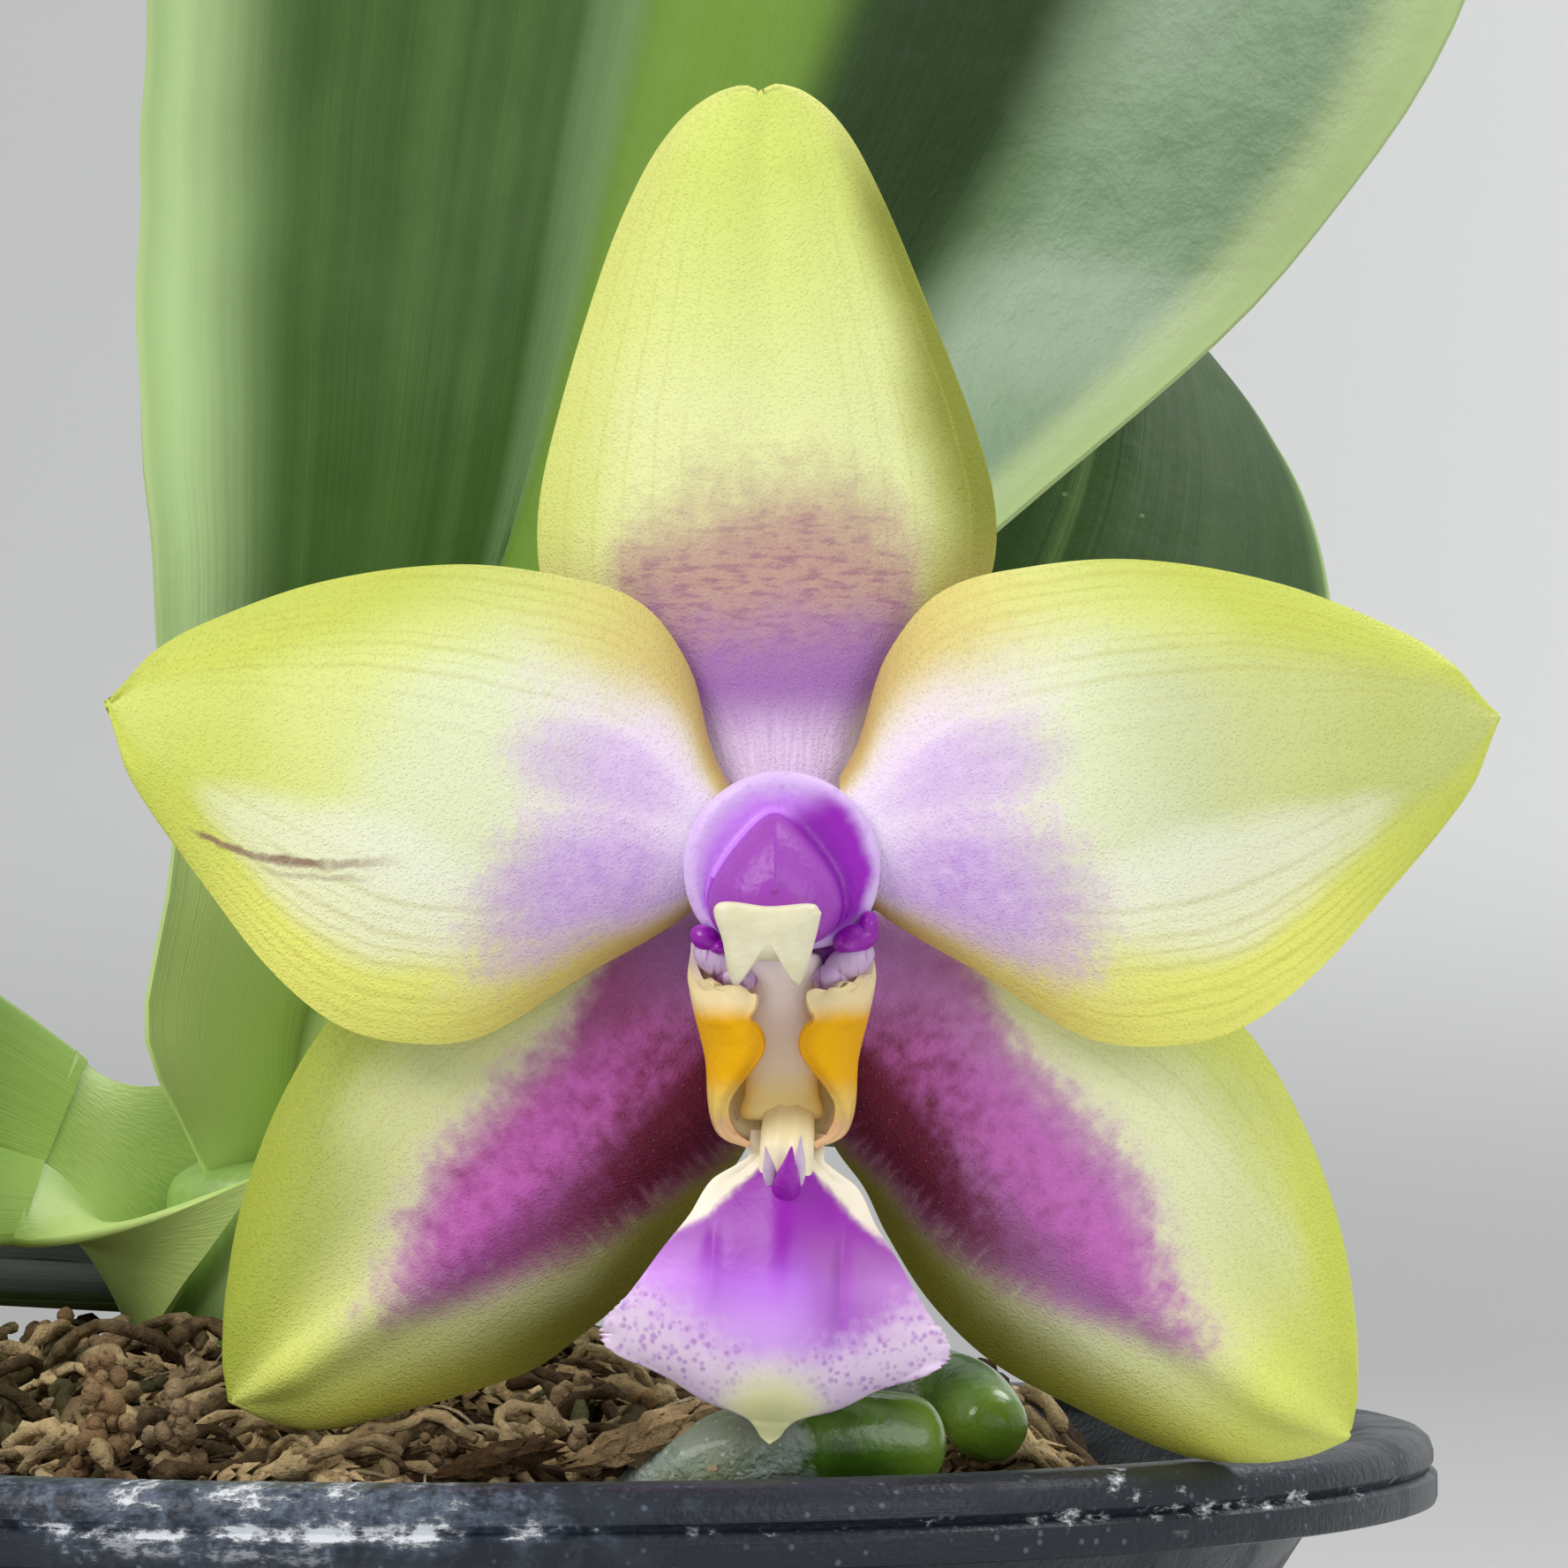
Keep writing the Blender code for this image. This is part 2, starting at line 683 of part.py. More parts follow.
# Each root: its line's points, its radius, and whether its tip is still growing.
ROOTS = {
    "root_front": (
        (
            (-0.0020, -0.0060, 0.0800),
            (0.0030, -0.0190, 0.0785),
            (0.0062, -0.0290, 0.0805),
            (0.0095, -0.0345, 0.0835),
            (0.0135, -0.0360, 0.0855),
            (0.0180, -0.0354, 0.0862),
            (0.0230, -0.0338, 0.0858),
        ),
        0.0023,
    ),
    "root_right": (
        (
            (-0.0005, 0.0040, 0.0820),
            (0.0080, -0.0020, 0.0830),
            (0.0150, -0.0100, 0.0862),
            (0.0205, -0.0178, 0.0880),
            (0.0243, -0.0232, 0.0876),
            (0.0259, -0.0282, 0.0858),
        ),
        0.0019,
    ),
    "root_back": (
        (
            (-0.0130, 0.0150, 0.0860),
            (-0.0170, 0.0220, 0.0878),
            (-0.0200, 0.0300, 0.0860),
            (-0.0215, 0.0345, 0.0800),
        ),
        0.0021,
    ),
    "root_back_right": (
        (
            (0.0000, 0.0115, 0.0840),
            (0.0080, 0.0175, 0.0870),
            (0.0160, 0.0240, 0.0850),
            (0.0200, 0.0275, 0.0780),
        ),
        0.0020,
    ),
}
ROOT_STEPS = 16


ROOT_SWELL = (
    (0.00, 0.80),
    (0.30, 0.92),
    (0.80, 1.02),
    (0.91, 1.05),
    (0.96, 0.90),
    (0.987, 0.60),
    (1.00, 0.16),
)


def root_line(name, points, radius, grow=0.0):
    """A root's tube: thinner where it leaves the stem and rounded at its tip."""
    return tube_curve(
        name,
        points,
        lambda t: radius * through(ROOT_SWELL, t) + grow,
        ROOT_STEPS,
        ROOT_SIDES_RESOLUTION,
        1.6,
    )


def make_roots():
    """Returns the cutters of their holes in the moss, and spots that the sprigs keep clear of."""
    finish = finish_of("root_silver", ROOT_SILVER, 0.6)
    holes, spots = [], []
    for name, (points, radius) in ROOTS.items():
        add_solid(name, root_line(name, points, radius), finish)
        hole = root_line("hole", points, radius, 2 * GAP)
        holes.append(loose_object("hole", mesh_of_curve(hole, "hole")))
        line = spaced(points)
        spots += [(through(line, i / 12), radius) for i in range(13)]
    return holes, spots


SPIKE_POINTS = (
    (-0.0030, -0.0020, 0.0840),
    (0.0010, -0.0065, 0.0920),
    (0.0055, -0.0112, 0.1010),
    (0.0092, -0.0145, 0.1100),
    (0.0118, -0.0160, 0.1185),
    (0.0150, -0.0165, 0.1260),
)
SPIKE_RADIUS = 0.0018
SPIKE_STEPS = 18
# Where each bract clasps the spike: its place along it, and the way that it points
BRACTS = ((0.30, 200), (0.52, 20), (0.70, 200), (0.84, 20), (0.97, 200))
BRACT_LENGTH = 0.0048
BRACT_RADIUS = 0.0026


def bract_mesh(place, along, turn):
    """A small pointed scale that clasps the stalk and stands out on one side."""
    shape = bmesh.new()
    bmesh.ops.create_cone(
        shape,
        cap_ends=True,
        segments=8,
        radius1=BRACT_RADIUS,
        radius2=BRACT_RADIUS * 0.12,
        depth=BRACT_LENGTH,
    )
    upright = along.to_track_quat("Z", "Y").to_matrix().to_4x4()
    lean = Matrix.Rotation(math.radians(turn), 4, "Z") @ Matrix.Rotation(math.radians(24), 4, "Y")
    shift = Matrix.Translation((0, 0, BRACT_LENGTH * 0.4))
    bmesh.ops.transform(
        shape, verts=shape.verts[:], matrix=Matrix.Translation(place) @ upright @ lean @ shift
    )
    return mesh_from(shape, "bract")


def spike_radius(t):
    return SPIKE_RADIUS * through(((0, 1.0), (0.4, 1.0), (0.8, 0.85), (0.96, 0.7), (1, 0.35)), t)


def make_spike():
    """The flower spike from the stem's foot, with its bracts."""
    line = spaced(SPIKE_POINTS)
    stalk = mesh_of_curve(
        tube_curve("flower_spike", SPIKE_POINTS, spike_radius, SPIKE_STEPS, 3), "flower_spike"
    )
    spike = add_solid("flower_spike", stalk, finish_of("spike_green", SPIKE_GREEN, 0.5))
    bracts = []
    for t, turn in BRACTS:
        along = (through(line, t + 0.02) - through(line, t - 0.02)).normalized()
        bracts.append(loose_object("bract", bract_mesh(through(line, t), along, turn)))
    boolean(spike, bracts, "UNION")
    hole = tube_curve(
        "hole", SPIKE_POINTS[:3], lambda t: SPIKE_RADIUS + 3 * GAP, SPIKE_STEPS, 3
    )
    spots = [(through(line, i / 12), SPIKE_RADIUS) for i in range(7)]
    return [loose_object("hole", mesh_of_curve(hole, "hole"))], spots


# Each tepal lies along its own X, with its face to +Z: its base and the turn of
# its axis in the flower, its length, the half-width on its -Y and its +Y side,
# its outline on each side, how far its middle swells towards the viewer, how far
# its tip leans, and how far its margins fall back at the base and at the tip.
PETAL_UPPER = (
    (0.00, 0.26),
    (0.04, 0.40),
    (0.10, 0.72),
    (0.20, 0.96),
    (0.34, 1.00),
    (0.51, 0.94),
    (0.71, 0.73),
    (0.875, 0.44),
    (0.945, 0.26),
    (0.975, 0.11),
    (1.00, 0.00),
)
PETAL_LOWER = (
    (0.00, 0.24),
    (0.04, 0.36),
    (0.155, 0.61),
    (0.30, 0.94),
    (0.44, 1.03),
    (0.54, 1.00),
    (0.66, 0.84),
    (0.79, 0.58),
    (0.89, 0.37),
    (0.945, 0.23),
    (0.975, 0.10),
    (1.00, 0.00),
)
DORSAL_LEFT = (
    (0.00, 0.24),
    (0.04, 0.28),
    (0.10, 0.36),
    (0.195, 0.76),
    (0.29, 0.96),
    (0.385, 1.00),
    (0.50, 0.94),
    (0.74, 0.71),
    (0.866, 0.54),
    (0.942, 0.38),
    (0.985, 0.20),
    (1.00, 0.00),
)
DORSAL_RIGHT = (
    (0.00, 0.24),
    (0.04, 0.28),
    (0.10, 0.34),
    (0.195, 0.74),
    (0.29, 0.95),
    (0.385, 1.00),
    (0.50, 0.93),
    (0.74, 0.65),
    (0.866, 0.48),
    (0.942, 0.34),
    (0.985, 0.18),
    (1.00, 0.00),
)
LATERAL_OUTER = (
    (0.00, 0.30),
    (0.08, 0.43),
    (0.21, 0.69),
    (0.355, 0.94),
    (0.495, 1.00),
    (0.638, 0.89),
    (0.79, 0.65),
    (0.905, 0.37),
    (0.97, 0.15),
    (1.00, 0.00),
)
LATERAL_INNER = (
    (0.0, 0.18),
    (0.08, 0.45),
    (0.172, 0.74),
    (0.259, 0.83),
    (0.324, 0.94),
    (0.437, 1.07),
    (0.56, 1.09),
    (0.69, 0.96),
    (0.85, 0.74),
    (0.933, 0.48),
    (0.98, 0.22),
    (1.0, 0.0),
)
LEFT_LATERAL_INNER = (
    (0.0, 0.18),
    (0.08, 0.50),
    (0.17, 0.78),
    (0.27, 0.87),
    (0.38, 0.93),
    (0.47, 0.99),
    (0.54, 0.99),
    (0.63, 0.965),
    (0.71, 0.86),
    (0.82, 0.67),
    (0.933, 0.44),
    (0.98, 0.20),
    (1.0, 0.0),
)
TEPALS = {
    "petal_right": {
        "base": (0.0033, 0.0015, 0.0016),
        "turn": 10.5,
        "length": 0.0305,
        "halves": (0.0119, 0.0108),
        "outlines": (PETAL_LOWER, PETAL_UPPER),
        "swell": 0.0022,
        "lean": 0.0000,
        "fall": (0.0034, 0.0016),
    },
    "petal_left": {
        "base": (-0.0032, 0.0013, 0.0016),
        "turn": 167.2,
        "length": 0.0289,
        "halves": (0.0104, 0.0120),
        "outlines": (PETAL_UPPER, PETAL_LOWER),
        "swell": 0.0022,
        "lean": 0.0000,
        "fall": (0.0034, 0.0016),
    },
    "dorsal_sepal": {
        "base": (-0.0002, 0.0033, -0.0001),
        "turn": 91.2,
        "length": 0.0338,
        "halves": (0.0106, 0.0111),
        "outlines": (DORSAL_RIGHT, DORSAL_LEFT),
        "swell": -0.0006,
        "lean": -0.0022,
        "fall": (0.0030, 0.0040),
    },
    "lateral_sepal_right": {
        "base": (0.0021, -0.0045, -0.0019),
        "turn": -42.2,
        "length": 0.0332,
        "halves": (0.0080, 0.0110),
        "outlines": (LATERAL_INNER, LATERAL_OUTER),
        "swell": 0.0006,
        "lean": 0.0000,
        "fall": (0.0016, 0.0042),
    },
    "lateral_sepal_left": {
        "base": (-0.0019, -0.0043, -0.0019),
        "turn": 220.8,
        "length": 0.0318,
        "halves": (0.0106, 0.0086),
        "outlines": (LATERAL_OUTER, LEFT_LATERAL_INNER),
        "swell": 0.0006,
        "lean": 0.0000,
        "fall": (0.0016, 0.0042),
    },
}


def tepal_point(tepal, t, s):
    side = 1 if s > 0 else 0
    half = tepal["halves"][side] * max(0.0, through(tepal["outlines"][side], t))
    base_fall, tip_fall = tepal["fall"]
    fall = mix(base_fall, tip_fall, t) * (half / tepal["halves"][side]) * abs(s) ** 2.2
    rise = tepal["swell"] * math.sin(math.pi * t) + tepal["lean"] * t
    return Vector((tepal["length"] * t, s * half, rise - fall))


def make_tepals(flower):
    finish = finish_of("chartreuse", CHARTREUSE, 0.45)
    for name, tepal in TEPALS.items():
        mesh = blade_mesh(
            name,
            lambda t, s, tepal=tepal: tepal_point(tepal, t, s),
            TEPAL_CELLS_ALONG,
            TEPAL_CELLS_ACROSS,
            TEPAL_MARGIN_SHARE,
        )
        solid = add_solid(name, mesh, finish, flower, tepal["base"], math.radians(tepal["turn"]))
        thicken(solid, TEPAL_THICKNESS)


COLUMN_RINGS = (
    # height towards the viewer, half-width, reach up, reach down, middle's height in the flower
    (-0.0010, 0.0022, 0.0022, 0.0022, 0.0000),
    (0.0022, 0.0023, 0.0023, 0.0023, 0.0000),
    (0.0026, 0.0040, 0.0040, 0.0034, 0.0002),
    (0.0031, 0.0044, 0.0044, 0.0036, 0.0002),
    (0.0036, 0.0043, 0.0043, 0.0035, 0.0002),
    (0.0037, 0.0036, 0.0036, 0.0033, 0.0000),
    (0.0044, 0.0033, 0.0033, 0.0033, -0.0003),
    (0.0056, 0.0032, 0.0031, 0.0033, -0.0005),
    (0.0065, 0.0028, 0.0028, 0.0030, -0.0007),
    (0.0072, 0.0019, 0.0020, 0.0021, -0.0009),
    (0.0075, 0.0008, 0.0010, 0.0010, -0.0009),
)
COLUMN_SIDES = 20
COLUMN_KNOBS = ((-0.0031, -0.0031), (0.0034, -0.0030))
COLUMN_KNOB_RADIUS = 0.0009
COLUMN_KNOB_HEIGHT = 0.0036


def column_ring(height, half, up, down, middle):
    """An egg-shaped ring, drawn in towards its top."""
    loop = []
    for i in range(COLUMN_SIDES):
        angle = 2 * math.pi * i / COLUMN_SIDES
        rise = math.sin(angle)
        narrowing = 1 - 0.20 * max(0.0, rise) ** 2
        reach = up if rise > 0 else down
        loop.append((half * math.cos(angle) * narrowing, middle + reach * rise, height))
    return loop


def make_column(flower):
    """The purple column, with the two knobs at the foot of its hood."""
    loops = [column_ring(*ring) for ring in COLUMN_RINGS]
    column = add_solid(
        "column", loft_mesh("column", loops), finish_of("orchid_purple", ORCHID_PURPLE, 0.4), flower
    )
    knobs = []
    for x, y in COLUMN_KNOBS:
        shape = bmesh.new()
        bmesh.ops.create_uvsphere(shape, u_segments=10, v_segments=7, radius=COLUMN_KNOB_RADIUS)
        bmesh.ops.translate(shape, verts=shape.verts[:], vec=(x, y, COLUMN_KNOB_HEIGHT))
        knob = loose_object("knob", mesh_from(shape, "knob"))
        knob.parent = flower
        knobs.append(knob)
    boolean(column, knobs, "UNION")


# The cap's outline from the front, about the middle of its top edge
ANTHER_CAP_OUTLINE = (
    (-0.0024, 0.0000),
    (-0.0021, -0.0014),
    (-0.0018, -0.0028),
    (-0.0013, -0.0034),
    (-0.0007, -0.0029),
    (0.0000, -0.0018),
    (0.0008, -0.0029),
    (0.0015, -0.0034),
    (0.0019, -0.0028),
    (0.0021, -0.0014),
    (0.0023, 0.0000),
    (0.0010, 0.0004),
    (-0.0010, 0.0004),
)
ANTHER_CAP_TOP = (-0.0006, -0.0018)
ANTHER_CAP_BACK = 0.0079
ANTHER_CAP_DEPTH = 0.0014


def make_anther_cap(flower):
    loops = []
    for share, depth in ((0.92, 0.0), (1.0, 0.3), (0.97, 0.7), (0.72, 1.0)):
        height = ANTHER_CAP_BACK + ANTHER_CAP_DEPTH * depth
        loops.append(
            [
                (ANTHER_CAP_TOP[0] + x * share, ANTHER_CAP_TOP[1] + y * share, height)
                for x, y in ANTHER_CAP_OUTLINE
            ]
        )
    add_solid("anther_cap", loft_mesh("anther_cap", loops), finish_of("cream", CREAM, 0.5), flower)


FOOT_STRAP_RINGS = (
    # height in the flower, half-width, back face, front face
    (-0.0039, 0.0017, 0.0012, 0.0034),
    (-0.0060, 0.0016, 0.0008, 0.0028),
    (-0.0085, 0.0016, 0.0006, 0.0022),
    (-0.0104, 0.0017, 0.0005, 0.0018),
    (-0.0117, 0.0017, 0.0007, 0.0016),
)


def make_column_foot(flower):
    """The pale strap that runs down from the column to the lip."""
    loops = []
    sides = 12
    for y, half, back, front in FOOT_STRAP_RINGS:
        middle, depth = (back + front) / 2, (front - back) / 2
        loop = []
        for i in range(sides):
            angle = 2 * math.pi * i / sides
            loop.append((half * math.cos(angle), y, middle + depth * math.sin(angle)))
        loops.append(loop)
    add_solid(
        "column_foot", loft_mesh("column_foot", loops), finish_of("rose_cream", ROSE_CREAM, 0.45), flower
    )


# The lip's trough, read down it: how far out its wall stands, how far in the free
# edge of the side lobe turns, and how far that edge and the floor lie towards the
# viewer. The lobe's top edge slopes, and its free edge has a tooth.
LIP_TOP = -0.0041
LIP_FOOT = -0.0128
LIP_WALL = (
    (0.00, 0.00405),
    (0.10, 0.00402),
    (0.28, 0.00372),
    (0.53, 0.00320),
    (0.76, 0.00306),
    (0.88, 0.00282),
    (0.95, 0.00240),
    (1.00, 0.00160),
)
LIP_EDGE = (
    (0.00, 0.00380),
    (0.08, 0.00340),
    (0.15, 0.00240),
    (0.21, 0.00125),
    (0.28, 0.00125),
    (0.33, 0.00145),
    (0.37, 0.00105),
    (0.48, 0.00080),
    (0.56, 0.00115),
    (0.66, 0.00185),
    (0.76, 0.00245),
    (0.88, 0.00270),
    (0.95, 0.00230),
    (1.00, 0.00150),
)
LIP_FRONT = ((0.0, 0.0032), (0.2, 0.0047), (0.5, 0.0046), (0.76, 0.0036), (1.0, 0.0026))
LIP_BACK = ((0.0, -0.0004), (0.6, -0.0004), (0.85, 0.0000), (1.0, 0.0010))


def lip_point(t, s):
    """t runs down the trough, and s from the left lobe's free edge across the floor to the right one's."""
    wall, edge = through(LIP_WALL, t), through(LIP_EDGE, t)
    front, back = through(LIP_FRONT, t), through(LIP_BACK, t)
    reach = abs(s)
    x = through(((0, 0), (0.30, 0.78 * wall), (0.55, wall), (0.78, mix(wall, edge, 0.42)), (1, edge)), reach)
    deep = through(((0, 0), (0.30, 0.06), (0.55, 0.50), (0.78, 0.90), (1, 1)), reach)
    return Vector((math.copysign(x, s), mix(LIP_TOP, LIP_FOOT, t), mix(back, front, deep)))


MIDLOBE_OUTLINE = (
    (0.00, 0.22),
    (0.03, 0.29),
    (0.09, 0.43),
    (0.217, 0.55),
    (0.333, 0.69),
    (0.452, 0.82),
    (0.54, 0.92),
    (0.62, 1.00),
    (0.69, 0.99),
    (0.73, 0.90),
    (0.774, 0.73),
    (0.84, 0.48),
    (0.90, 0.25),
    (0.967, 0.08),
    (1.00, 0.00),
)
MIDLOBE_BASE = (0.0002, -0.0135, 0.0026)
MIDLOBE_TURN = -93.4
MIDLOBE_LENGTH = 0.0130
MIDLOBE_HALF = 0.0078
MIDLOBE_RIDGE = 0.0026
MIDLOBE_SLOPE = 0.36
KEEL_LENGTH = 0.0060
KEEL_RADIUS = 0.0007


def midlobe_point(t, s):
    half = MIDLOBE_HALF * max(0.0, through(MIDLOBE_OUTLINE, t))
    rise = MIDLOBE_RIDGE * math.sin(math.pi * min(1.0, t * 1.1) * 0.8)
    return Vector((MIDLOBE_LENGTH * t, s * half, rise - MIDLOBE_SLOPE * abs(s) * half))


def make_lip(flower):
    """The lip's trough with its side lobes, and its trowel-shaped middle lobe with the keel on it."""
    lobes = add_solid(
        "lip_side_lobes",
        blade_mesh("lip_side_lobes", lip_point, 13, 14, 1.0, 1.0),
        finish_of("lip_yellow", LIP_YELLOW, 0.4),
        flower,
    )
    thicken(lobes, LIP_THICKNESS)
    midlobe = add_solid(
        "lip_midlobe",
        blade_mesh("lip_midlobe", midlobe_point, 15, 8, 0.75, 1.0),
        finish_of("lip_lilac", LIP_LILAC, 0.4),
        flower,
        MIDLOBE_BASE,
        math.radians(MIDLOBE_TURN),
    )
    thicken(midlobe, LIP_THICKNESS)
    shape = bmesh.new()
    bmesh.ops.create_cone(
        shape, cap_ends=True, segments=8, radius1=KEEL_RADIUS, radius2=KEEL_RADIUS * 0.3, depth=KEEL_LENGTH
    )
    lie = Matrix.Translation((KEEL_LENGTH * 0.62, 0, 0.0023)) @ Matrix.Rotation(math.radians(75), 4, "Y")
    bmesh.ops.transform(shape, verts=shape.verts[:], matrix=lie)
    keel = loose_object("keel", mesh_from(shape, "keel"))
    keel.parent = flower
    keel.location = midlobe.location
    keel.rotation_euler = midlobe.rotation_euler
    midlobe.data = evaluated_mesh(midlobe)
    midlobe.modifiers.clear()
    boolean(midlobe, [keel], "UNION")


PEDICEL_POINTS = (
    (0.0154, -0.0366, 0.1130),
    (0.0154, -0.0320, 0.1137),
    (0.0148, -0.0270, 0.1144),
    (0.0134, -0.0220, 0.1146),
    (0.0114, -0.0176, 0.1142),
)
PEDICEL_RADIUS = 0.0016


def make_pedicel():
    """The flower's stalk and ovary, from the spike to the back of the flower."""

    def radius_at(t):
        return PEDICEL_RADIUS * through(((0, 1.25), (0.25, 1.1), (0.6, 0.95), (1, 0.62)), t)

    curve = tube_curve("pedicel", PEDICEL_POINTS, radius_at, 10, 3)
    add_solid("pedicel", curve, finish_of("pedicel_green", PEDICEL_GREEN, 0.5))


def make_flower():
    flower = bpy.data.objects.new("flower", None)
    bpy.context.scene.collection.objects.link(flower)
    flower.location = FLOWER_CENTRE
    flower.rotation_euler = (math.pi / 2 + FLOWER_NOD, 0, 0)
    bpy.context.view_layer.update()
    make_tepals(flower)
    make_column(flower)
    make_anther_cap(flower)
    make_column_foot(flower)
    make_lip(flower)


def main():
    clear_scene()
    make_pot()
    make_stem()
    make_leaves()
    root_holes, root_spots = make_roots()
    spike_holes, spike_spots = make_spike()
    make_pedicel()
    make_flower()
    stem_hole = loose_object("hole", loft_mesh("hole", stem_loops(2 * GAP)))
    stem_spots = [(Vector((*STEM_CENTRE, z)), 0.008) for z in (0.084, 0.088, 0.092)]
    flower_spots = [(Vector((0.015, -0.042, 0.089)), 0.004), (Vector((-0.010, -0.037, 0.091)), 0.003)]
    make_moss(
        [stem_hole] + root_holes + spike_holes,
        stem_spots + root_spots + spike_spots + flower_spots,
    )


main()
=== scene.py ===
"""The looks of a potted moth orchid: its fine pieces, their finishes and the stage.

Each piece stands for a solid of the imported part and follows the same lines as
that solid. Lengths are in metres, and +Z is up.
"""

import bisect
import functools
import random
from math import copysign, cos, exp, hypot, pi, radians, sin, sqrt

import bpy
from mathutils import Matrix, Vector, noise


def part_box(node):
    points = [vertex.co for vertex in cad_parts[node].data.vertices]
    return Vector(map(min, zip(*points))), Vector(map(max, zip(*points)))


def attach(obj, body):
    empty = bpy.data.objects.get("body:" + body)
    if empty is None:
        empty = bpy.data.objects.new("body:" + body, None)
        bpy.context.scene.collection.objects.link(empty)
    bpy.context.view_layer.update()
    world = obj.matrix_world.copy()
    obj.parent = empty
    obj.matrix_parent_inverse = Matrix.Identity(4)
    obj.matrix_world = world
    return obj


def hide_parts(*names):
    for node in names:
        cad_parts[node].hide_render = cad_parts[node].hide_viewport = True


bl_info = {
    "name": "Potted Moth Orchid",
    "version": (1, 0, 0),
    "blender": (4, 5, 0),
    "location": "View3D > Sidebar > Orchid",
    "description": "Builds the fine pieces, finishes and stage of a potted moth orchid",
    "category": "Object",
}

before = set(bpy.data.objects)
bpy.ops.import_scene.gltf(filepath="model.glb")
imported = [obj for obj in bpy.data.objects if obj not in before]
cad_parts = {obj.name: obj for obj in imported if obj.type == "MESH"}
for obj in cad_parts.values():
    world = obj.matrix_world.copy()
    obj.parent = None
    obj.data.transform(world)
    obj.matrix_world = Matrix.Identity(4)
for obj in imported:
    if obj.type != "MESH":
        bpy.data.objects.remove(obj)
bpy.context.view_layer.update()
POT_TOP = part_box("pot")[1].z
RIM_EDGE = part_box("pot")[1].x

# The flower's centre, on which its pieces are placed
FLOWER_CENTRE = (0.0154, -0.038, 0.113)


def tint(red, green, blue):
    """A screen colour, in numbers from 0 to 255, as the linear colour that a shader takes."""

    def linear(value):
        share = value / 255
        return share / 12.92 if share <= 0.04045 else ((share + 0.055) / 1.055) ** 2.4

    return (linear(red), linear(green), linear(blue))


def colour_setting(name, description, colour):
    return bpy.props.FloatVectorProperty(
        name=name, description=description, subtype="COLOR", size=3, min=0, max=1, default=colour
    )


def length_setting(name, description, length):
    return bpy.props.FloatProperty(
        name=name, description=description, subtype="DISTANCE", unit="LENGTH", min=0, default=length
    )


def share_setting(name, description, share):
    return bpy.props.FloatProperty(
        name=name, description=description, subtype="FACTOR", min=0, max=1, default=share
    )


def number_setting(name, description, number, unit="NONE"):
    return bpy.props.FloatProperty(name=name, description=description, unit=unit, default=number)


def count_setting(name, description, count):
    return bpy.props.IntProperty(name=name, description=description, min=0, default=count)


class PotSettings(bpy.types.PropertyGroup):
    height: length_setting("Height", "Height of the pot", POT_TOP)
    rim_radius: length_setting("Rim radius", "Outer radius of the rim", RIM_EDGE)
    plastic: colour_setting("Plastic", "Colour of the pot's plastic", tint(28, 34, 44))
    crust: colour_setting("Crust", "Colour of the mineral crust", tint(222, 226, 232))
    crust_cover: share_setting("Crust cover", "How much of the rim is crusted", 0.4)


class MossSettings(bpy.types.PropertyGroup):
    tails: count_setting("Tails", "Number of scaly moss tails", 170)
    stalks: count_setting("Stalks", "Number of gnarled stalks", 980)
    fibres: count_setting("Fibres", "Number of thin fibres", 300)
    knobs: count_setting("Knobs", "Number of small round knobs", 620)
    straw: colour_setting("Straw", "Colour of dry moss", tint(234, 204, 150))
    bark: colour_setting("Bark", "Colour of dark, damp moss", tint(78, 54, 28))
    amber: colour_setting("Amber", "Colour of the palest strands", tint(224, 196, 150))


class LeafSettings(bpy.types.PropertyGroup):
    thickness: length_setting("Thickness", "Thickness at the midrib", 0.0022)
    deep: colour_setting("Deep green", "Colour of the blade", tint(50, 82, 20))
    fresh: colour_setting("Fresh green", "Colour of the blade's pale stripes", tint(76, 110, 44))
    margin: colour_setting("Margin", "Colour of the thin margin", tint(178, 200, 138))
    underside: colour_setting("Underside", "Colour below", tint(118, 146, 82))


class StemSettings(bpy.types.PropertyGroup):
    pale: colour_setting("Pale green", "Colour of the leaf sheaths", tint(152, 184, 98))
    shade: colour_setting("Shaded green", "Colour of the foot", tint(62, 84, 14))


class RootSettings(bpy.types.PropertyGroup):
    silver: colour_setting("Silver", "Colour of the dry root skin", tint(146, 160, 148))
    growing_tip: colour_setting("Growing tip", "Colour of the green tips", tint(84, 124, 30))


class FlowerSettings(bpy.types.PropertyGroup):
    nod: number_setting("Nod", "How far the flower looks up", radians(3.0), "ROTATION")
    thickness: length_setting("Thickness", "Thickness of the tepals", 0.0011)
    chartreuse: colour_setting("Chartreuse", "Colour of the margins", tint(214, 223, 96))
    lemon: colour_setting("Lemon", "Colour between margin and middle", tint(232, 239, 146))
    cream: colour_setting("Cream", "Colour of the middle", tint(238, 245, 200))
    lilac: colour_setting("Lilac", "Pale colour round the column", tint(250, 226, 255))
    violet: colour_setting("Violet", "Strong colour of the lilac zones", tint(196, 144, 232))
    rose: colour_setting("Rose", "Colour of the fine bars", tint(172, 122, 134))
    magenta: colour_setting("Magenta", "Colour of the lower sepals' blaze", tint(164, 76, 136))
    maroon: colour_setting("Maroon", "Dark colour of the blaze's inner side", tint(114, 22, 58))
    olive: colour_setting("Olive", "Colour of the lower sepals' inner margin", tint(140, 136, 48))
    honey: colour_setting("Honey", "Colour of the petals' margin near the base", tint(222, 190, 112))


